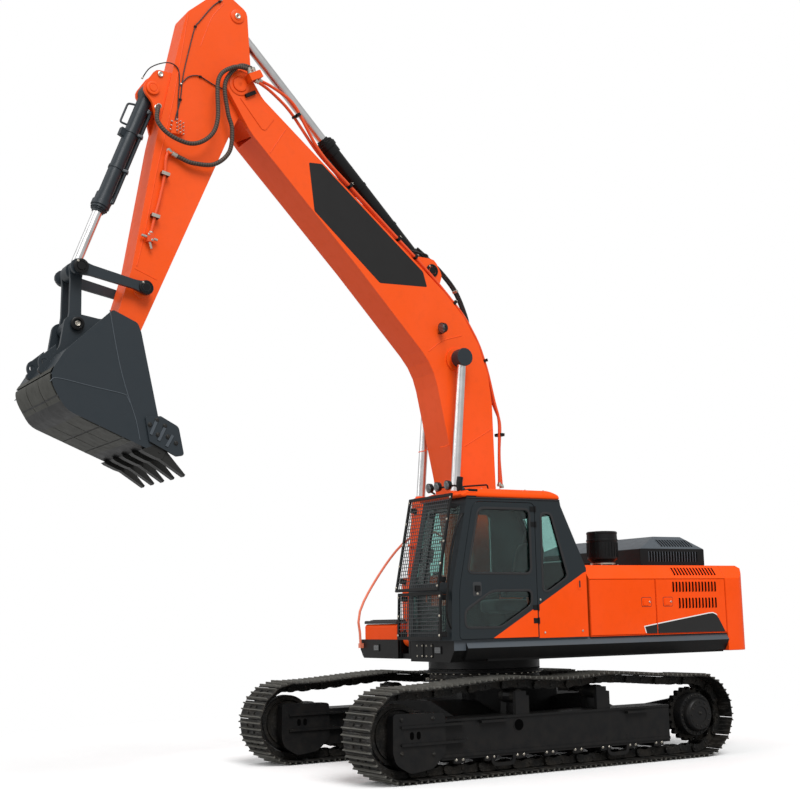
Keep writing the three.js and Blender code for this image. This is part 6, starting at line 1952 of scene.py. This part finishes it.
@dataclass
class Boom:
    """The boom with its decals, welds, pins, pipes, clamps and work lamps."""

    half: float = 0.255
    pipe: float = 0.019
    decal: tuple = ((5.764, .409), (5.686, .571), (3.941, 1.242), (3.748, 1.197), (4.062, .579), (5.202, .175))
    nose_pad: tuple = ((6.783, -.076), (6.348, .006), (6.320, .04), (6.33, .075), (6.400, .224), (6.44, .236))
    outer_pipe: tuple = (
        (.300, 6.90, .235), (.296, 6.85, .30), (.290, 6.755, .393), (.282, 6.511, .567), (.264, 5.89, .600),
        (.258, 5.665, .660), (.245, 5.304, .808), (.20, 4.454, 1.152), (.20, 4.206, 1.247), (.20, 3.95, 1.343),
        (.19, 3.6, 1.46), (.18, 3.18, 1.58), (.18, 2.78, 1.60), (.18, 2.4, 1.535), (.18, 2.0, 1.42),
        (.18, 1.783, 1.378), (.16, 1.365, 1.134), (.15, 1.033, .944)
    )
    inner_pipe: tuple = (
        (.355, 6.90, .16), (.340, 6.84, .22), (.300, 6.734, .325), (.236, 6.453, .495), (.216, 5.872, .600),
        (.208, 5.665, .672), (.190, 5.304, .822), (.13, 4.454, 1.166), (.13, 4.206, 1.26), (.13, 3.95, 1.357),
        (.12, 3.6, 1.475), (.11, 3.18, 1.595), (.11, 2.78, 1.615), (.11, 2.4, 1.55), (.11, 2.0, 1.44),
        (.10, 1.744, 1.44), (.10, 1.365, 1.18), (.10, .985, 1.0)
    )

    def build(self) -> None:
        """Dresses the boom and adds its fittings."""
        dress("boom", Finish.ORANGE, 0.007)
        self.sides()
        self.pipes()
        self.lines()
        self.lamps()
        self.caps()

    def sides(self) -> None:
        """Decals, nose pads and weld seams on both sides."""
        for side, word in SIDES:
            x = side * self.half
            flat = BOOM.flat(rounded(self.decal, 0.02))
            sheet = side_plate(flat, min(x, x + side * 0.0015), max(x, x + side * 0.0015))
            piece(f"boom_decal_{word}", "boom", [(Finish.DECAL, sheet)])
            pad = side_plate(BOOM.flat(self.nose_pad), min(x, x + side * 0.008), max(x, x + side * 0.008))
            beads = [
                weld(BOOM, ((6.242, .32), (6.15, .15), (6.049, -.035)), x),
                weld(BOOM, ((1.742, .642), (1.745, .9), (1.748, 1.152)), x),
                weld(BOOM, ((1.893, .318), (1.87, .40), (1.864, .468)), x),
                weld(BOOM, ((3.02, .79), (3.05, 1.05), (2.99, 1.36)), x)
            ]
            piece(f"boom_side_{word}", "boom", [(Finish.ORANGE, merged(pad, *beads))], 0.002)

    def pipes(self) -> None:
        """The two oil pipes along the back of the boom, with their clamps and end fittings."""
        runs, blacks, brights = [], [], []
        for points in (self.outer_pipe, self.inner_pipe):
            path = rounded_line(BOOM.places(points), 0.14, 7)
            runs.append(tube(path, self.pipe, 12, BOOM.across() + np.array([0.2, 0, 0])))
            brights.append(turned([
                (0.026, 0), (0.030, 0.004), (0.030, 0.028), (0.023, 0.034), (0.023, 0.055)
            ], path[0], path[2] - path[0], 16))
            brights.append(turned([
                (0.026, 0), (0.030, 0.004), (0.030, 0.028), (0.023, 0.034), (0.023, 0.05)
            ], path[-1], path[-3] - path[-1], 16))
        piece("boom_pipes", "boom", [(Finish.ORANGE_PIPE, runs)])
        for along in (6.34, 5.304, 4.454, 4.15, 3.40, 2.55, 1.60):
            spots = []
            for points in (self.outer_pipe, self.inner_pipe):
                table = np.array(points)[::-1]
                spots.append([np.interp(along, table[:, 1], table[:, 0]), np.interp(along, table[:, 1], table[:, 2])])
            middle = BOOM.places([((spots[0][0] + spots[1][0]) / 2, along, (spots[0][1] + spots[1][1]) / 2)])[0]
            ahead = BOOM.places([
                (
                    0, along + 0.05,
                    float(np.interp(
                        along + 0.05, np.array(self.outer_pipe)[::-1, 1], np.array(self.outer_pipe)[::-1, 2]
                    ))
                ),
                (0, along, float(np.interp(
                    along, np.array(self.outer_pipe)[::-1, 1], np.array(self.outer_pipe)[::-1, 2]
                )))
            ])
            tangent = unit(ahead[0] - ahead[1])
            outward = np.cross(X, tangent)
            outward = outward if outward @ BOOM.across() > 0 else -outward
            width = abs(spots[0][0] - spots[1][0]) / 2 + 0.036
            blacks.append(prism(
                rectangle(-width, -0.030, width, 0.026, 0.008), middle - tangent * 0.018, X, outward, 0.036
            ))
            blacks.append(prism(rectangle(-0.03, -0.06, 0.03, -0.02), middle - tangent * 0.014, X, outward, 0.028))
            brights.append(prism(rectangle(-width, 0.026, width, 0.031), middle - tangent * 0.02, X, outward, 0.04))
            brights.append(bolts([
                middle + outward * 0.031 + np.array([s * (width - 0.012), 0, 0])
                for s in (-1, 0, 1)
            ], outward, 0.009))
        piece("boom_pipe_clamps", "boom", [(Finish.BLACK, blacks), (Finish.ZINC, brights)], 0.0015)

    def lines(self) -> None:
        """The steel lines and the stay by the arm cylinder's foot."""
        lines = [
            tube(spline(BOOM.places([
                (x, 4.24, 1.50), (x, 4.09, 1.575), (x, 3.829, 1.690), (x, 3.508, 1.770), (x, 3.157, 1.745),
                (x, 3.02, 1.69), (x, 2.97, 1.60)
            ]), 60), 0.017, 10)
            for x in (-0.055, 0.0)
        ]
        stay = tube(spline(BOOM.places([
            (0.09, 4.273, 1.30), (0.09, 4.18, 1.43), (0.09, 4.09, 1.532), (0.09, 4.01, 1.40), (0.09, 3.98, 1.30)
        ]), 40), 0.012, 10)
        nuts = [
            turned(
                [(0.024, 0), (0.026, 0.004), (0.026, 0.03), (0.019, 0.036)],
                BOOM.at(x, 3.508, 1.770) - BOOM.along() * 0.018, BOOM.along(), 6
            )
            for x in (-0.055, 0.0)
        ]
        piece("boom_top_lines", "boom", [(Finish.LINE, [*lines, stay]), (Finish.ZINC, nuts)])

    def lamps(self) -> None:
        """A work lamp on a bracket on each side."""
        for side, word in SIDES:
            base = BOOM.at(side * self.half, 3.187, 1.091)
            arm = box(base + [min(0, side * 0.05), -0.03, -0.05], base + [max(0, side * 0.05), 0.03, -0.042])
            bowl = turned(
                [(0.03, 0), (0.060, 0.018), (0.068, 0.055), (0.070, 0.068), (0.064, 0.070)],
                base + [side * 0.085, 0.03, 0.02], (side * 0.2, -1, -0.25), 28
            )
            glass = turned(
                [(0.062, 0.070), (0.05, 0.075), (0.008, 0.078)], base + [side * 0.085, 0.03, 0.02],
                (side * 0.2, -1, -0.25), 28
            )
            piece(f"boom_lamp_{word}", "boom", [(Finish.BLACK, [arm, bowl]), (Finish.LAMP, glass)], 0.001)

    def caps(self) -> None:
        """The disc and keeper on each side of the nose, and the collars of the upper pin on the boom's back."""
        darks, brights = [], []
        for side in (1, -1):
            nose = np.array([side * self.half, JOINTS["arm_reach"]["pos_m"][1], JOINTS["arm_reach"]["pos_m"][2]])
            disc = turned([
                (0.135, 0), (0.135, 0.008), (0.127, 0.012), (0.098, 0.012), (0.094, 0.006), (0.090, 0.006),
                (0.086, 0.024), (0.060, 0.026), (0.056, 0.020), (0.030, 0.020), (0.026, 0.026), (0.006, 0.026)
            ], nose, (side, 0, 0), 44)
            keeper = side_plate(
                BOOM.flat(rectangle(6.757, -.003, 6.801, .142)), *sorted((side * self.half, side * (self.half + 0.035)))
            )
            piece(
                f"boom_nose_disc_{'left' if side > 0 else 'right'}", "boom",
                [(Finish.ORANGE, disc), (Finish.BLACK, keeper)], 0.002
            )
            crown = np.array([side * 0.166, *machine_side([(-0.738, 6.158)])[0]])
            dark, bright = pin_cap(crown, side, 0.085, 0.020, 1)
            darks.append(dark)
            brights.append(bright)
        piece("boom_pin_caps", "boom", [(Finish.BLACK, darks), (Finish.ZINC, brights)], 0.0015)


@dataclass
class Arm:
    """The arm with its flange edge, seams, grease lines, manifold, side pipe and bright pins."""

    half: float = 0.18
    grease: tuple = (
        (
            (-.907, .6), (-.745, .672), (-.469, .736), (-.38, .753), (-.135, .716), (.26, .641), (.565, .55),
            (.762, .518), (.84, .50)
        ),
        ((.60, 1.05), (.417, 1.017), (.254, .888), (.215, .769), (.289, .683), (.556, .58), (.762, .500), (.84, .47)),
        ((.395, .623), (.265, .584), (.199, .53), (.159, .451), (.156, .272), (.135, .155))
    )
    pipe: tuple = ((1.247, .432), (1.348, .419), (1.519, .358), (1.818, .295), (2.041, .261), (2.260, .220))

    def build(self) -> None:
        """Dresses the arm and adds its fittings."""
        dress("arm", Finish.ORANGE, 0.006)
        self.flanges()
        self.greasing()
        self.side_pipe()
        self.pins()

    def flanges(self) -> None:
        """A lip along the front edge, the seam near the tip and the stiffening beads, on both sides."""
        for side, word in SIDES:
            x = side * self.half
            lip = spline(ARM.places([
                (x, -.482, .890), (x, .494, .650), (x, 1.005, .545), (x, 1.445, .462), (x, 2.2, .293), (x, 2.66, .205)
            ]), 60)
            beads = [
                weld(ARM, ((2.70, .215), (2.695, .07), (2.691, -.071)), x, 0.0045),
                weld(ARM, ((-.88, .56), (-.6, .62), (-.2, .60)), x, 0.0045)
            ]
            piece(f"arm_side_{word}", "arm", [(Finish.ORANGE, merged(tube(lip, 0.008, 8), *beads))])

    def greasing(self) -> None:
        """Thin black grease lines with clips, and the manifold block with its rows of bright fittings."""
        x = self.half + 0.012
        lines = []
        for points in self.grease:
            path = spline(ARM.places([(x, a, o) for a, o in points]), 70)
            lines.append(tube(path, 0.007, 8))
        clips = [box(ARM.at(self.half, a, o) - [0, 0.016, 0.010], ARM.at(self.half + 0.022, a, o) + [0, 0.016, 0.010])
                 for a, o in ((-.38, .753), (.565, .55), (.159, .451), (-.86, .62))]
        block = side_plate(ARM.flat([
            (.868, .526), (.799, .421), (.956, .353), (1.016, .489)
        ]), self.half, self.half + 0.045)
        nipples = merged(*[
            turned(
                [(0.010, 0), (0.010, 0.016), (0.006, 0.018), (0.006, 0.034)],
                ARM.at(self.half + 0.045, .835 + .040 * k, .495 - .018 * k - .042 * j), X, 8
            )
            for k in range(4)
            for j in range(3)
        ])
        ports = [
            turned(
                [(0.010, 0), (0.010, 0.02), (0.006, 0.022), (0.006, 0.03)],
                ARM.at(self.half + 0.02, .868 + .05 * k, .520 - .012 * k), ARM.across(), 12
            )
            for k in range(3)
        ]
        ends = [
            turned(
                [(0.011, 0), (0.012, 0.003), (0.012, 0.022), (0.008, 0.026)], ARM.places([(x, *points[0])])[0],
                ARM.places([(x, *points[1])])[0] - ARM.places([(x, *points[0])])[0], 10
            )
            for points in self.grease
        ]
        piece("arm_grease_lines", "arm", [(Finish.LINE, lines), (Finish.BLACK, clips)])
        piece("arm_manifold", "arm", [(Finish.ORANGE, block), (Finish.ZINC, merged(nipples, *ports, *ends))], 0.002)

    def side_pipe(self) -> None:
        """The orange pipe down the side with its clamps, elbow and lower valve block."""
        x = self.half + 0.048
        path = spline(ARM.places([(x, a, o) for a, o in self.pipe]), 70)
        blacks, brights = [], []
        for a, o in ((1.519, .358), (2.041, .261)):
            place = ARM.at(x, a, o)
            dark, bright = clamp(place, unit(path[40] - path[30]), 0.026, 0.026, -X)
            blacks.append(dark)
            brights.append(bright)
        piece("arm_pipe", "arm", [(Finish.ORANGE_PIPE, tube(path, 0.019, 12))])
        elbow = tube(spline(np.vstack([
            path[0], path[0] + [0.012, 0, 0.02], ARM.at(0.235, 1.238, .400), ARM.at(0.220, 1.238, .384)
        ]), 16), 0.023, 12)
        brights.append(elbow)
        end = ARM.at(x, 2.300, .212)
        valve = box(end - [0.045, 0.038, 0.052], end + [0.028, 0.038, 0.052])
        brights += [
            straight(end + [0.0, -0.10, 0.02], end + [0.0, 0.09, -0.02], 0.017, 12),
            straight(end - [0, 0, 0.05], end - [0, -0.02, 0.13], 0.015, 12)
        ]
        brights += [turned([
            (0.022, 0), (0.024, 0.004), (0.024, 0.03), (0.018, 0.034)
        ], path[-1], path[-3] - path[-1], 12)]
        brights.append(bolts([end + [0.028, -0.02, 0.03], end + [0.028, 0.02, -0.03]], X, 0.010))
        piece("arm_pipe_fittings", "arm", [
            (Finish.BLACK, blacks), (Finish.ZINC, brights), (Finish.ORANGE_PIPE, valve)
        ], 0.0015)

    def pins(self) -> None:
        """Bright keeper pins and orange collars at the top lug and the eyes, and the disc by the rockers."""
        brights, oranges = [], []
        for side in (1, -1):
            lug = ARM.at(side * 0.164, .610, .885)
            oranges.append(pin_cap(lug, side, 0.080, 0.020, 1)[0])
            keeper = ARM.at(side * 0.152, .400, .875)
            brights.append(turned([
                (0.034, 0), (0.034, 0.016), (0.026, 0.020), (0.012, 0.012), (0.004, 0.012)
            ], keeper, (side, 0, 0), 24))
            eye = ARM.at(side * self.half, -.830, .349)
            brights.append(turned([
                (0.036, 0), (0.036, 0.026), (0.028, 0.030), (0.012, 0.022), (0.004, 0.022)
            ], eye, (side, 0, 0), 28))
            oranges.append(turned([(0.088, 0), (0.088, 0.012), (0.080, 0.016), (0.036, 0.016)], eye, (side, 0, 0), 36))
            rock = ARM.at(side * self.half, 2.886, .040)
            oranges.append(turned([(0.105, 0), (0.105, 0.010), (0.098, 0.014), (0.055, 0.014)], rock, (side, 0, 0), 36))
        piece("arm_pins", "arm", [(Finish.ZINC, brights), (Finish.ORANGE, oranges)], 0.0015)


@dataclass
class Cylinder:
    """A hydraulic cylinder: its finishes, gland, bolts, clamps and pipe.

    Args:
        word: the name of its two bodies and nodes.
        joint: the start of its joints' names.
        x: its middle's x.
        length: pin to pin at rest.
        barrel: the barrel's radius.
        reach: the barrel's length.
        rod: the rod's radius.
        coat: the barrel's finish.
        eye: the rod eye's finish.
        lower: the finish of the gland.
        pipes: angles round the barrel of its pipes.
        head: how far the rod's eye reaches back from its pin.
        loop: True when a guard loop and a valve stand by its foot.
    """

    word: str
    joint: str
    x: float
    length: float
    barrel: float
    reach: float
    rod: float
    coat: Finish
    eye: Finish
    lower: Finish
    pipes: tuple[float, ...] = (0.0,)
    head: float = 0.13
    loop: bool = False

    def build(self) -> None:
        """Dresses the two nodes and adds the fittings."""
        self.foot = np.array([self.x, *JOINTS[self.joint + "_swing"]["pos_m"][1:]])
        self.axis = unit(JOINTS[self.joint + "_stroke"]["axis"])
        self.square = np.cross(X, self.axis)
        self.dressed()
        self.gland()
        self.piping()

    def along(self, points: Array) -> Array:
        """How far points lie along it from its foot pin."""
        return (points - self.foot) @ self.axis

    def at(self, along: float, angle: float, radius: float) -> Array:
        """A point at a distance along it, at an angle from +X round it and at a radius."""
        return self.foot + self.axis * along + (X * math.cos(angle) + self.square * math.sin(angle)) * radius

    def dressed(self) -> None:
        """Copies the barrel with a gland of its own finish, and the rod with a dark eye."""
        copied(self.word + "_barrel_skin", self.word + "_barrel", [self.coat, self.lower],
               lambda centre, normal: (self.along(centre) > self.reach - 0.191).astype(int), 0.004, 50.0)
        copied(self.word + "_rod_skin", self.word + "_rod", [Finish.CHROME, self.eye],
               lambda centre, normal: (self.along(centre) > self.length - self.head).astype(int), 0.003, 50.0)
        inner = self.along(vertices(frame["nodes"][self.word + "_rod"].data)).min() + 0.04
        outer = self.length - self.head
        sleeve = turned([
            (self.rod - 0.002, inner), (self.rod + 0.0012, inner), (self.rod + 0.0012, outer), (self.rod - 0.002, outer)
        ], self.foot, self.axis, 48, True)
        piece(self.word + "_chrome", self.word + "_rod", [(Finish.CHROME, sleeve)])

    def gland(self) -> None:
        """The gland's ring with its bolts, and the wiper."""
        r = self.barrel + 0.014
        top = self.foot + self.axis * self.reach
        ring = turned([
            (r + 0.001, -0.095), (r + 0.012, -0.090), (r + 0.012, -0.030), (r + 0.001, -0.024)
        ], top, self.axis, 48, True)
        wiper = turned([
            (self.rod + 0.030, 0.0), (self.rod + 0.030, 0.020), (self.rod + 0.016, 0.024), (self.rod + 0.014, 0.045),
            (self.rod + 0.003, 0.047), (self.rod + 0.003, 0.0)
        ], top, self.axis, 36, True)
        heads = bolts(on_circle(top, self.axis, self.rod + 0.5 * (r - self.rod) + 0.010, 12, 0.1), self.axis, 0.012)
        piece(
            self.word + "_gland", self.word + "_barrel", [(self.lower, merged(ring, wiper)), (self.lower, heads)], 0.002
        )

    def piping(self) -> None:
        """Pipes along the barrel from a port at the gland to one at the foot, with band clamps."""
        runs, ports, bands = [], [], []
        for angle in self.pipes:
            off = self.barrel + 0.036
            low, high = 0.24, self.reach - 0.13
            points = [
                self.at(high, angle, self.barrel - 0.01), self.at(high, angle, off - 0.01),
                self.at(high - 0.05, angle, off), self.at((low + high) / 2, angle, off),
                self.at(low + 0.05, angle, off), self.at(low, angle, off - 0.01),
                self.at(low, angle, self.barrel - 0.01)
            ]
            runs.append(tube(spline(points, 80), 0.017, 10, self.axis + np.array([0.3, 0, 0])))
            for where in (low, high):
                ports.append(prism(
                    rectangle(-0.030, -0.024, 0.030, 0.024, 0.006), self.at(where, angle, self.barrel - 0.01),
                    self.axis, np.cross(self.at(0, angle, 1) - self.foot, self.axis), 0.03
                ))
        for where in (0.36, 0.66):
            middle = self.foot + self.axis * (self.reach * where)
            bands.append(turned([
                (self.barrel + 0.001, -0.018), (self.barrel + 0.007, -0.018), (self.barrel + 0.007, 0.018),
                (self.barrel + 0.001, 0.018)
            ], middle, self.axis, 40, True))
            for angle in self.pipes:
                bands.append(prism(
                    rectangle(-0.018, -0.032, 0.018, 0.032, 0.004), self.at(self.reach * where, angle, self.barrel),
                    self.axis, np.cross(self.at(0, angle, 1) - self.foot, self.axis), 0.062
                ))
        if self.loop:
            path = rounded_line([
                self.at(a, 4.25, self.barrel + r)
                for a, r in ((0.20, -0.01), (0.21, 0.085), (0.47, 0.085), (0.48, -0.01))
            ], 0.03)
            runs.append(tube(path, 0.013, 10, (0.9, 0.3, 0.1)))
            bands.append(prism(
                rectangle(-0.05, -0.035, 0.05, 0.035, 0.01), self.at(0.62, 4.9, self.barrel - 0.01), self.axis,
                np.cross(self.at(0, 4.9, 1) - self.foot, self.axis), 0.06
            ))
        piece(
            self.word + "_pipes", self.word + "_barrel",
            [(self.coat, merged(*runs)), (self.lower, merged(*ports, *bands))], 0.002
        )


def cylinders() -> list[Cylinder]:
    """The four cylinders."""
    boom = dict(
        joint="boom_cylinder_left", length=3.515, barrel=0.087, reach=1.76, rod=0.055, coat=Finish.ORANGE,
        eye=Finish.SLATE, lower=Finish.ORANGE, head=0.155
    )
    return [
        Cylinder(word="boom_cylinder_left", x=0.400, pipes=(1.75,), **boom),
        Cylinder(word="boom_cylinder_right", x=-0.400, pipes=(1.39,), **boom),
        Cylinder(
            "arm_cylinder", "arm_cylinder", 0.0, 3.943, 0.096, 2.11, 0.060, Finish.BLACK, Finish.SLATE, Finish.BLACK,
            (1.75,), 0.36
        ),
        Cylinder(
            "bucket_cylinder", "bucket_cylinder", 0.0, 2.434, 0.084, 1.60, 0.055, Finish.SLATE, Finish.SLATE,
            Finish.SLATE, (1.2, 2.0), 0.135, True
        )
    ]


@dataclass
class Linkage:
    """The rockers and the bucket link with their collared pins."""

    def build(self) -> None:
        """Dresses both and adds the collars and bright faces of their pins."""
        dress("rocker_links", Finish.SLATE, 0.005)
        dress("bucket_link", Finish.SLATE, 0.005)
        knee = spot(0, -5.390, 5.616)
        rocker = np.array([0, *JOINTS["rocker_swing"]["pos_m"][1:]])
        ear = np.array([0, *JOINTS["link_swing"]["pos_m"][1:]])
        darks, brights = [], []
        for side in (1, -1):
            for centre, x, radius in ((knee, 0.334, 0.082), (rocker, 0.310, 0.080)):
                dark, bright = pin_cap(centre + [side * x, 0, 0], side, radius, 0.026, 1)
                darks.append(dark)
                brights.append(bright)
        piece("rocker_pin_caps", "rocker_links", [(Finish.BLACK, darks), (Finish.ZINC, brights)], 0.002)
        darks, brights = [], []
        for side in (1, -1):
            face = ear + np.array([side * 0.266, 0, 0])
            darks.append(turned([
                (0.075, 0), (0.075, 0.022), (0.066, 0.026), (0.050, 0.026), (0.048, 0.014), (0.044, 0.014)
            ], face, (side, 0, 0), 36))
            brights.append(turned([
                (0.030, 0.0), (0.030, 0.022), (0.025, 0.026), (0.016, 0.018), (0.005, 0.018)
            ], face, (side, 0, 0), 30))
            darks.append(turned([(0.044, 0.0), (0.044, 0.014), (0.030, 0.016)], face, (side, 0, 0), 30))
        piece("link_pin_caps", "bucket_link", [(Finish.BLACK, darks), (Finish.ZINC, brights)], 0.002)


@dataclass
class Bucket:
    """The bucket with worn teeth, welds, side cutters' bolts and wear plates."""

    half: float = 0.670
    teeth: tuple = ((.09, -1.352), (.19, -1.422), (.505, -1.626), (.518, -1.606), (.29, -1.345), (.18, -1.318))
    seam: tuple = ((-.355, .131), (-.295, -.191), (-.224, -.511), (-.143, -.776), (-.051, -1.04), (-.003, -1.253))
    patch: tuple = ((-.985, -.690), (-.901, -.649), (-.53, -.712), (-.20, -.766), (-.150, -.80), (-.12, -.86))

    def build(self) -> None:
        """Copies the bucket with worn steel where it digs, then adds the details."""
        tip = JOINTS["bucket_tilt"]["pos_m"]
        self.tip = np.array([float(tip[1]), float(tip[2])])
        copied("bucket_body", "bucket", [Finish.SLATE, Finish.TOOTH, Finish.BLACK], self.worn, 0.005)
        self.sides()
        self.bottom()
        self.lip()

    def flat(self, points: Sequence[tuple[float, float]]) -> Array:
        """(y, z) points from the tip pin as points of the side view."""
        return np.asarray(points, float) + self.tip

    def places(self, x: float, points: Sequence[tuple[float, float]]) -> Array:
        """The same points at an x."""
        flat = self.flat(points)
        return np.column_stack([np.full(len(flat), x), flat])

    def worn(self, centre: Array, normal: Array) -> Array:
        """Tooth steel for the lip and the teeth, dark steel for the wrap's outside and slate elsewhere."""
        y, z = centre[:, 1] - self.tip[0], centre[:, 2] - self.tip[1]
        wrap = (np.abs(normal[:, 0]) < 0.3) & (z < -0.50) & (
            normal[:, 1] * (y + 0.35) + normal[:, 2] * (z + 0.6) > 0.02
        ) & (normal[:, 2] < 0.2)
        return np.where((z < -1.30) & (y > 0.16), 1, np.where(wrap, 2, 0))

    def sides(self) -> None:
        """Each side's weld and patch line and the side cutter's ribs, in the lighter slate as painted highlight, and
        the bolts.
        """
        for side, word in SIDES:
            x = side * (self.half + 0.001)
            seam = tube(spline(self.places(x, self.seam), 60), 0.006, 8)
            edge = tube(spline(self.places(x, self.patch), 50), 0.0055, 8)
            ribs = [
                side_plate(self.flat([
                    (.16 + .09 * k, -1.02 - .08 * k), (.19 + .09 * k, -1.035 - .08 * k),
                    (.12 + .09 * k, -1.20 - .06 * k), (.09 + .09 * k, -1.185 - .06 * k)
                ]), min(side * .696, side * .706), max(side * .696, side * .706))
                for k in range(3)
            ]
            heads = bolts(self.places(
                side * 0.696,
                ((.095, -1.085), (.174, -1.030), (.265, -1.090), (.187, -1.190), (.3, -1.205), (.392, -1.270))
            ), (side, 0, 0), 0.020)
            # Welds and ribs take the painted highlight slate.
            piece(f"bucket_side_{word}", "bucket", [
                (Finish.SLATE_HIGHLIGHT, [seam, edge]), (Finish.SLATE_HIGHLIGHT, ribs), (Finish.TOOTH, heads)
            ], 0.002)

    def bottom(self) -> None:
        """Wear plates round the shell's outside with gaps between them, and two round lugs at the rear."""
        bend = rounded([(-.90, -.46), (-1.01, -.64), (-.81, -.975), (.06, -1.3335)], .26, 14)[2:]
        span = np.concatenate([[0], np.cumsum(np.linalg.norm(np.diff(bend, axis=0), axis=1))])
        even = np.linspace(0, span[-1], 90)
        line = np.column_stack([np.interp(even, span, bend[:, k]) for k in (0, 1)]) + self.tip
        steps = np.diff(line, axis=0)
        normal = np.column_stack([steps[:, 1], -steps[:, 0]]) / np.linalg.norm(steps, axis=1)[:, None]
        normal = np.vstack([normal, normal[-1:]])
        middle = self.flat([(-.35, -.6)])[0]
        normal = np.where(((line - middle) * normal).sum(1)[:, None] > 0, normal, -normal)
        plates = []
        for first, last in ((2, 15), (15, 29), (29, 44), (44, 59), (59, 74), (74, 89)):
            inner, outer = line[first:last] - normal[first:last] * 0.004, line[first:last] + normal[first:last] * 0.006
            edges = (-0.655, -0.225, 0.225, 0.655) if first < 74 else (-0.66, 0.66)
            for x0, x1 in zip(np.array(edges[:-1]) + 0.007, np.array(edges[1:]) - 0.007):
                plates.append(side_plate(np.vstack([inner, outer[::-1]]), x0, x1))
        piece("bucket_wear_plates", "bucket", [(Finish.WEAR, plates)], 0.002)
        around = np.linspace(0, 2 * np.pi, 36, endpoint=False)
        ring = np.stack([np.cos(around), np.sin(around)], 1)
        hole, rim = np.array([-.925, -.400]), np.array([.060, .085])
        lugs = []
        for x in (-0.219, 0.219):
            loops = [
                np.column_stack([np.full(36, x + dx), self.tip + hole + ring * size])
                for dx, size in ((-0.02, .032), (-0.02, rim), (0.02, rim), (0.02, .032))
            ]
            lugs.append(grid(np.stack(loops, axis=1), ring=True))
            lugs.append(side_plate(self.flat([
                (-.95, -.33), (-.80, -.20), (-.78, -.40), (-.93, -.47)
            ]), x - 0.016, x + 0.016))
        piece("bucket_rear_lugs", "bucket", [(Finish.SLATE, lugs)], 0.003)

    def lip(self) -> None:
        """Tooth holders over the lip, and the keys of the teeth."""
        pitch = (1.34 - 0.092 - 0.020) / 4
        holders, keys = [], []
        for k in range(5):
            x = (k - 2) * pitch
            outline = self.flat([
                (.02, -1.352), (.16, -1.300), (.225, -1.318), (.285, -1.375), (.25, -1.452), (.18, -1.432),
                (.05, -1.375)
            ])
            holders.append(side_plate(outline, x - 0.058, x + 0.058))
            keys.append(straight(
                np.array([x - 0.064, *self.flat([(.215, -1.375)])[0]]),
                np.array([x + 0.064, *self.flat([(.215, -1.375)])[0]]), 0.014, 14
            ))
        piece("bucket_tooth_holders", "bucket", [(Finish.TOOTH, holders), (Finish.TOOTH, keys)], 0.006)


@dataclass
class Hoses:
    """The two wrapped hoses that cross from the boom to the arm."""

    radius: float = 0.026

    def build(self) -> None:
        outer = np.vstack([
            BOOM.places([(.355, 6.99, .142), (.355, 7.05, .142)]),
            machine([
                (.355, -3.600, 8.262), (.355, -3.785, 8.074), (.355, -3.796, 7.581), (.350, -3.893, 7.352),
                (.340, -4.108, 7.230), (.320, -4.362, 7.290), (.295, -4.510, 7.440)
            ]), ARM.places([(.272, .870, .753), (.212, .800, .745), (.154, .800, .745)])
        ])
        inner = np.vstack([
            BOOM.places([(.298, 6.99, .230), (.298, 7.05, .230)]),
            machine([
                (.298, -3.497, 8.318), (.298, -3.675, 8.075), (.298, -3.642, 7.716), (.296, -3.587, 7.512),
                (.290, -3.620, 7.229), (.275, -3.806, 7.050), (.255, -4.064, 7.029)
            ]), ARM.places([(.235, 1.238, .263), (.222, 1.238, .340), (.220, 1.238, .3845)])
        ])
        self.hose("hose_to_lug", "boom_hose_left", outer)
        self.hose("hose_to_boss", "boom_hose_right", inner)

    def hose(self, name: str, node: str, points: Array) -> None:
        """One hose: a tube along a smooth path, with its own UV map for the wrap, and its ends."""
        path = spline(points, 170)
        length = float(np.linalg.norm(np.diff(path, axis=0), axis=1).sum())
        made = piece(name, "boom", [(Finish.HOSE, tube(path, self.radius, 20))], replaces=[node])
        self.unwrap(made, path, length)
        made.parent = None
        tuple(path[0])
        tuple(path[-1])
        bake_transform(made)
        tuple(path[0])
        first = fitting(path, True, self.radius)
        last = fitting(path, False, self.radius)
        piece(name + "_boom_end", "boom", [(Finish.ZINC, first)])
        piece(name + "_arm_end", "arm", [(Finish.ZINC, last)])
        LOG.info("%s: %.3f m long", name, length)

    def unwrap(self, made: Object, path: Array, length: float) -> None:
        """Writes a UV map: u is the distance along the path in metres and v is the angle round it in turns."""
        mesh = made.data
        corner = np.zeros(len(mesh.loops), np.int32)
        mesh.loops.foreach_get("vertex_index", corner)
        spots = vertices(mesh)
        nearest = np.linalg.norm(spots[:, None] - path[None], axis=2).argmin(axis=1)
        run = np.concatenate([[0], np.cumsum(np.linalg.norm(np.diff(path, axis=0), axis=1))])
        tangent = np.gradient(path, axis=0)[nearest]
        tangent /= np.linalg.norm(tangent, axis=1)[:, None]
        away = spots - path[nearest]
        first = np.cross(tangent, X)
        first /= np.linalg.norm(first, axis=1)[:, None]
        second = np.cross(tangent, first)
        turn = np.arctan2((away * second).sum(1), (away * first).sum(1)) / (2 * np.pi)
        uv = np.column_stack([run[nearest][corner], turn[corner]])
        layer = mesh.uv_layers.new(name="wrap")
        layer.data.foreach_set("uv", uv.astype(np.float32).ravel())


def main() -> None:
    """Builds the studio, then each sub-assembly in turn."""
    logging.basicConfig(level=logging.INFO, format="%(message)s")
    Studio().build()
    Hoses().build()
    Tracks().build()
    LowerFrame().build()
    House().build()
    Deck().build()
    Cab().build()
    Boom().build()
    Arm().build()
    for cylinder in cylinders():
        cylinder.build()
    Linkage().build()
    Bucket().build()


if __name__ == "__main__":
    main()
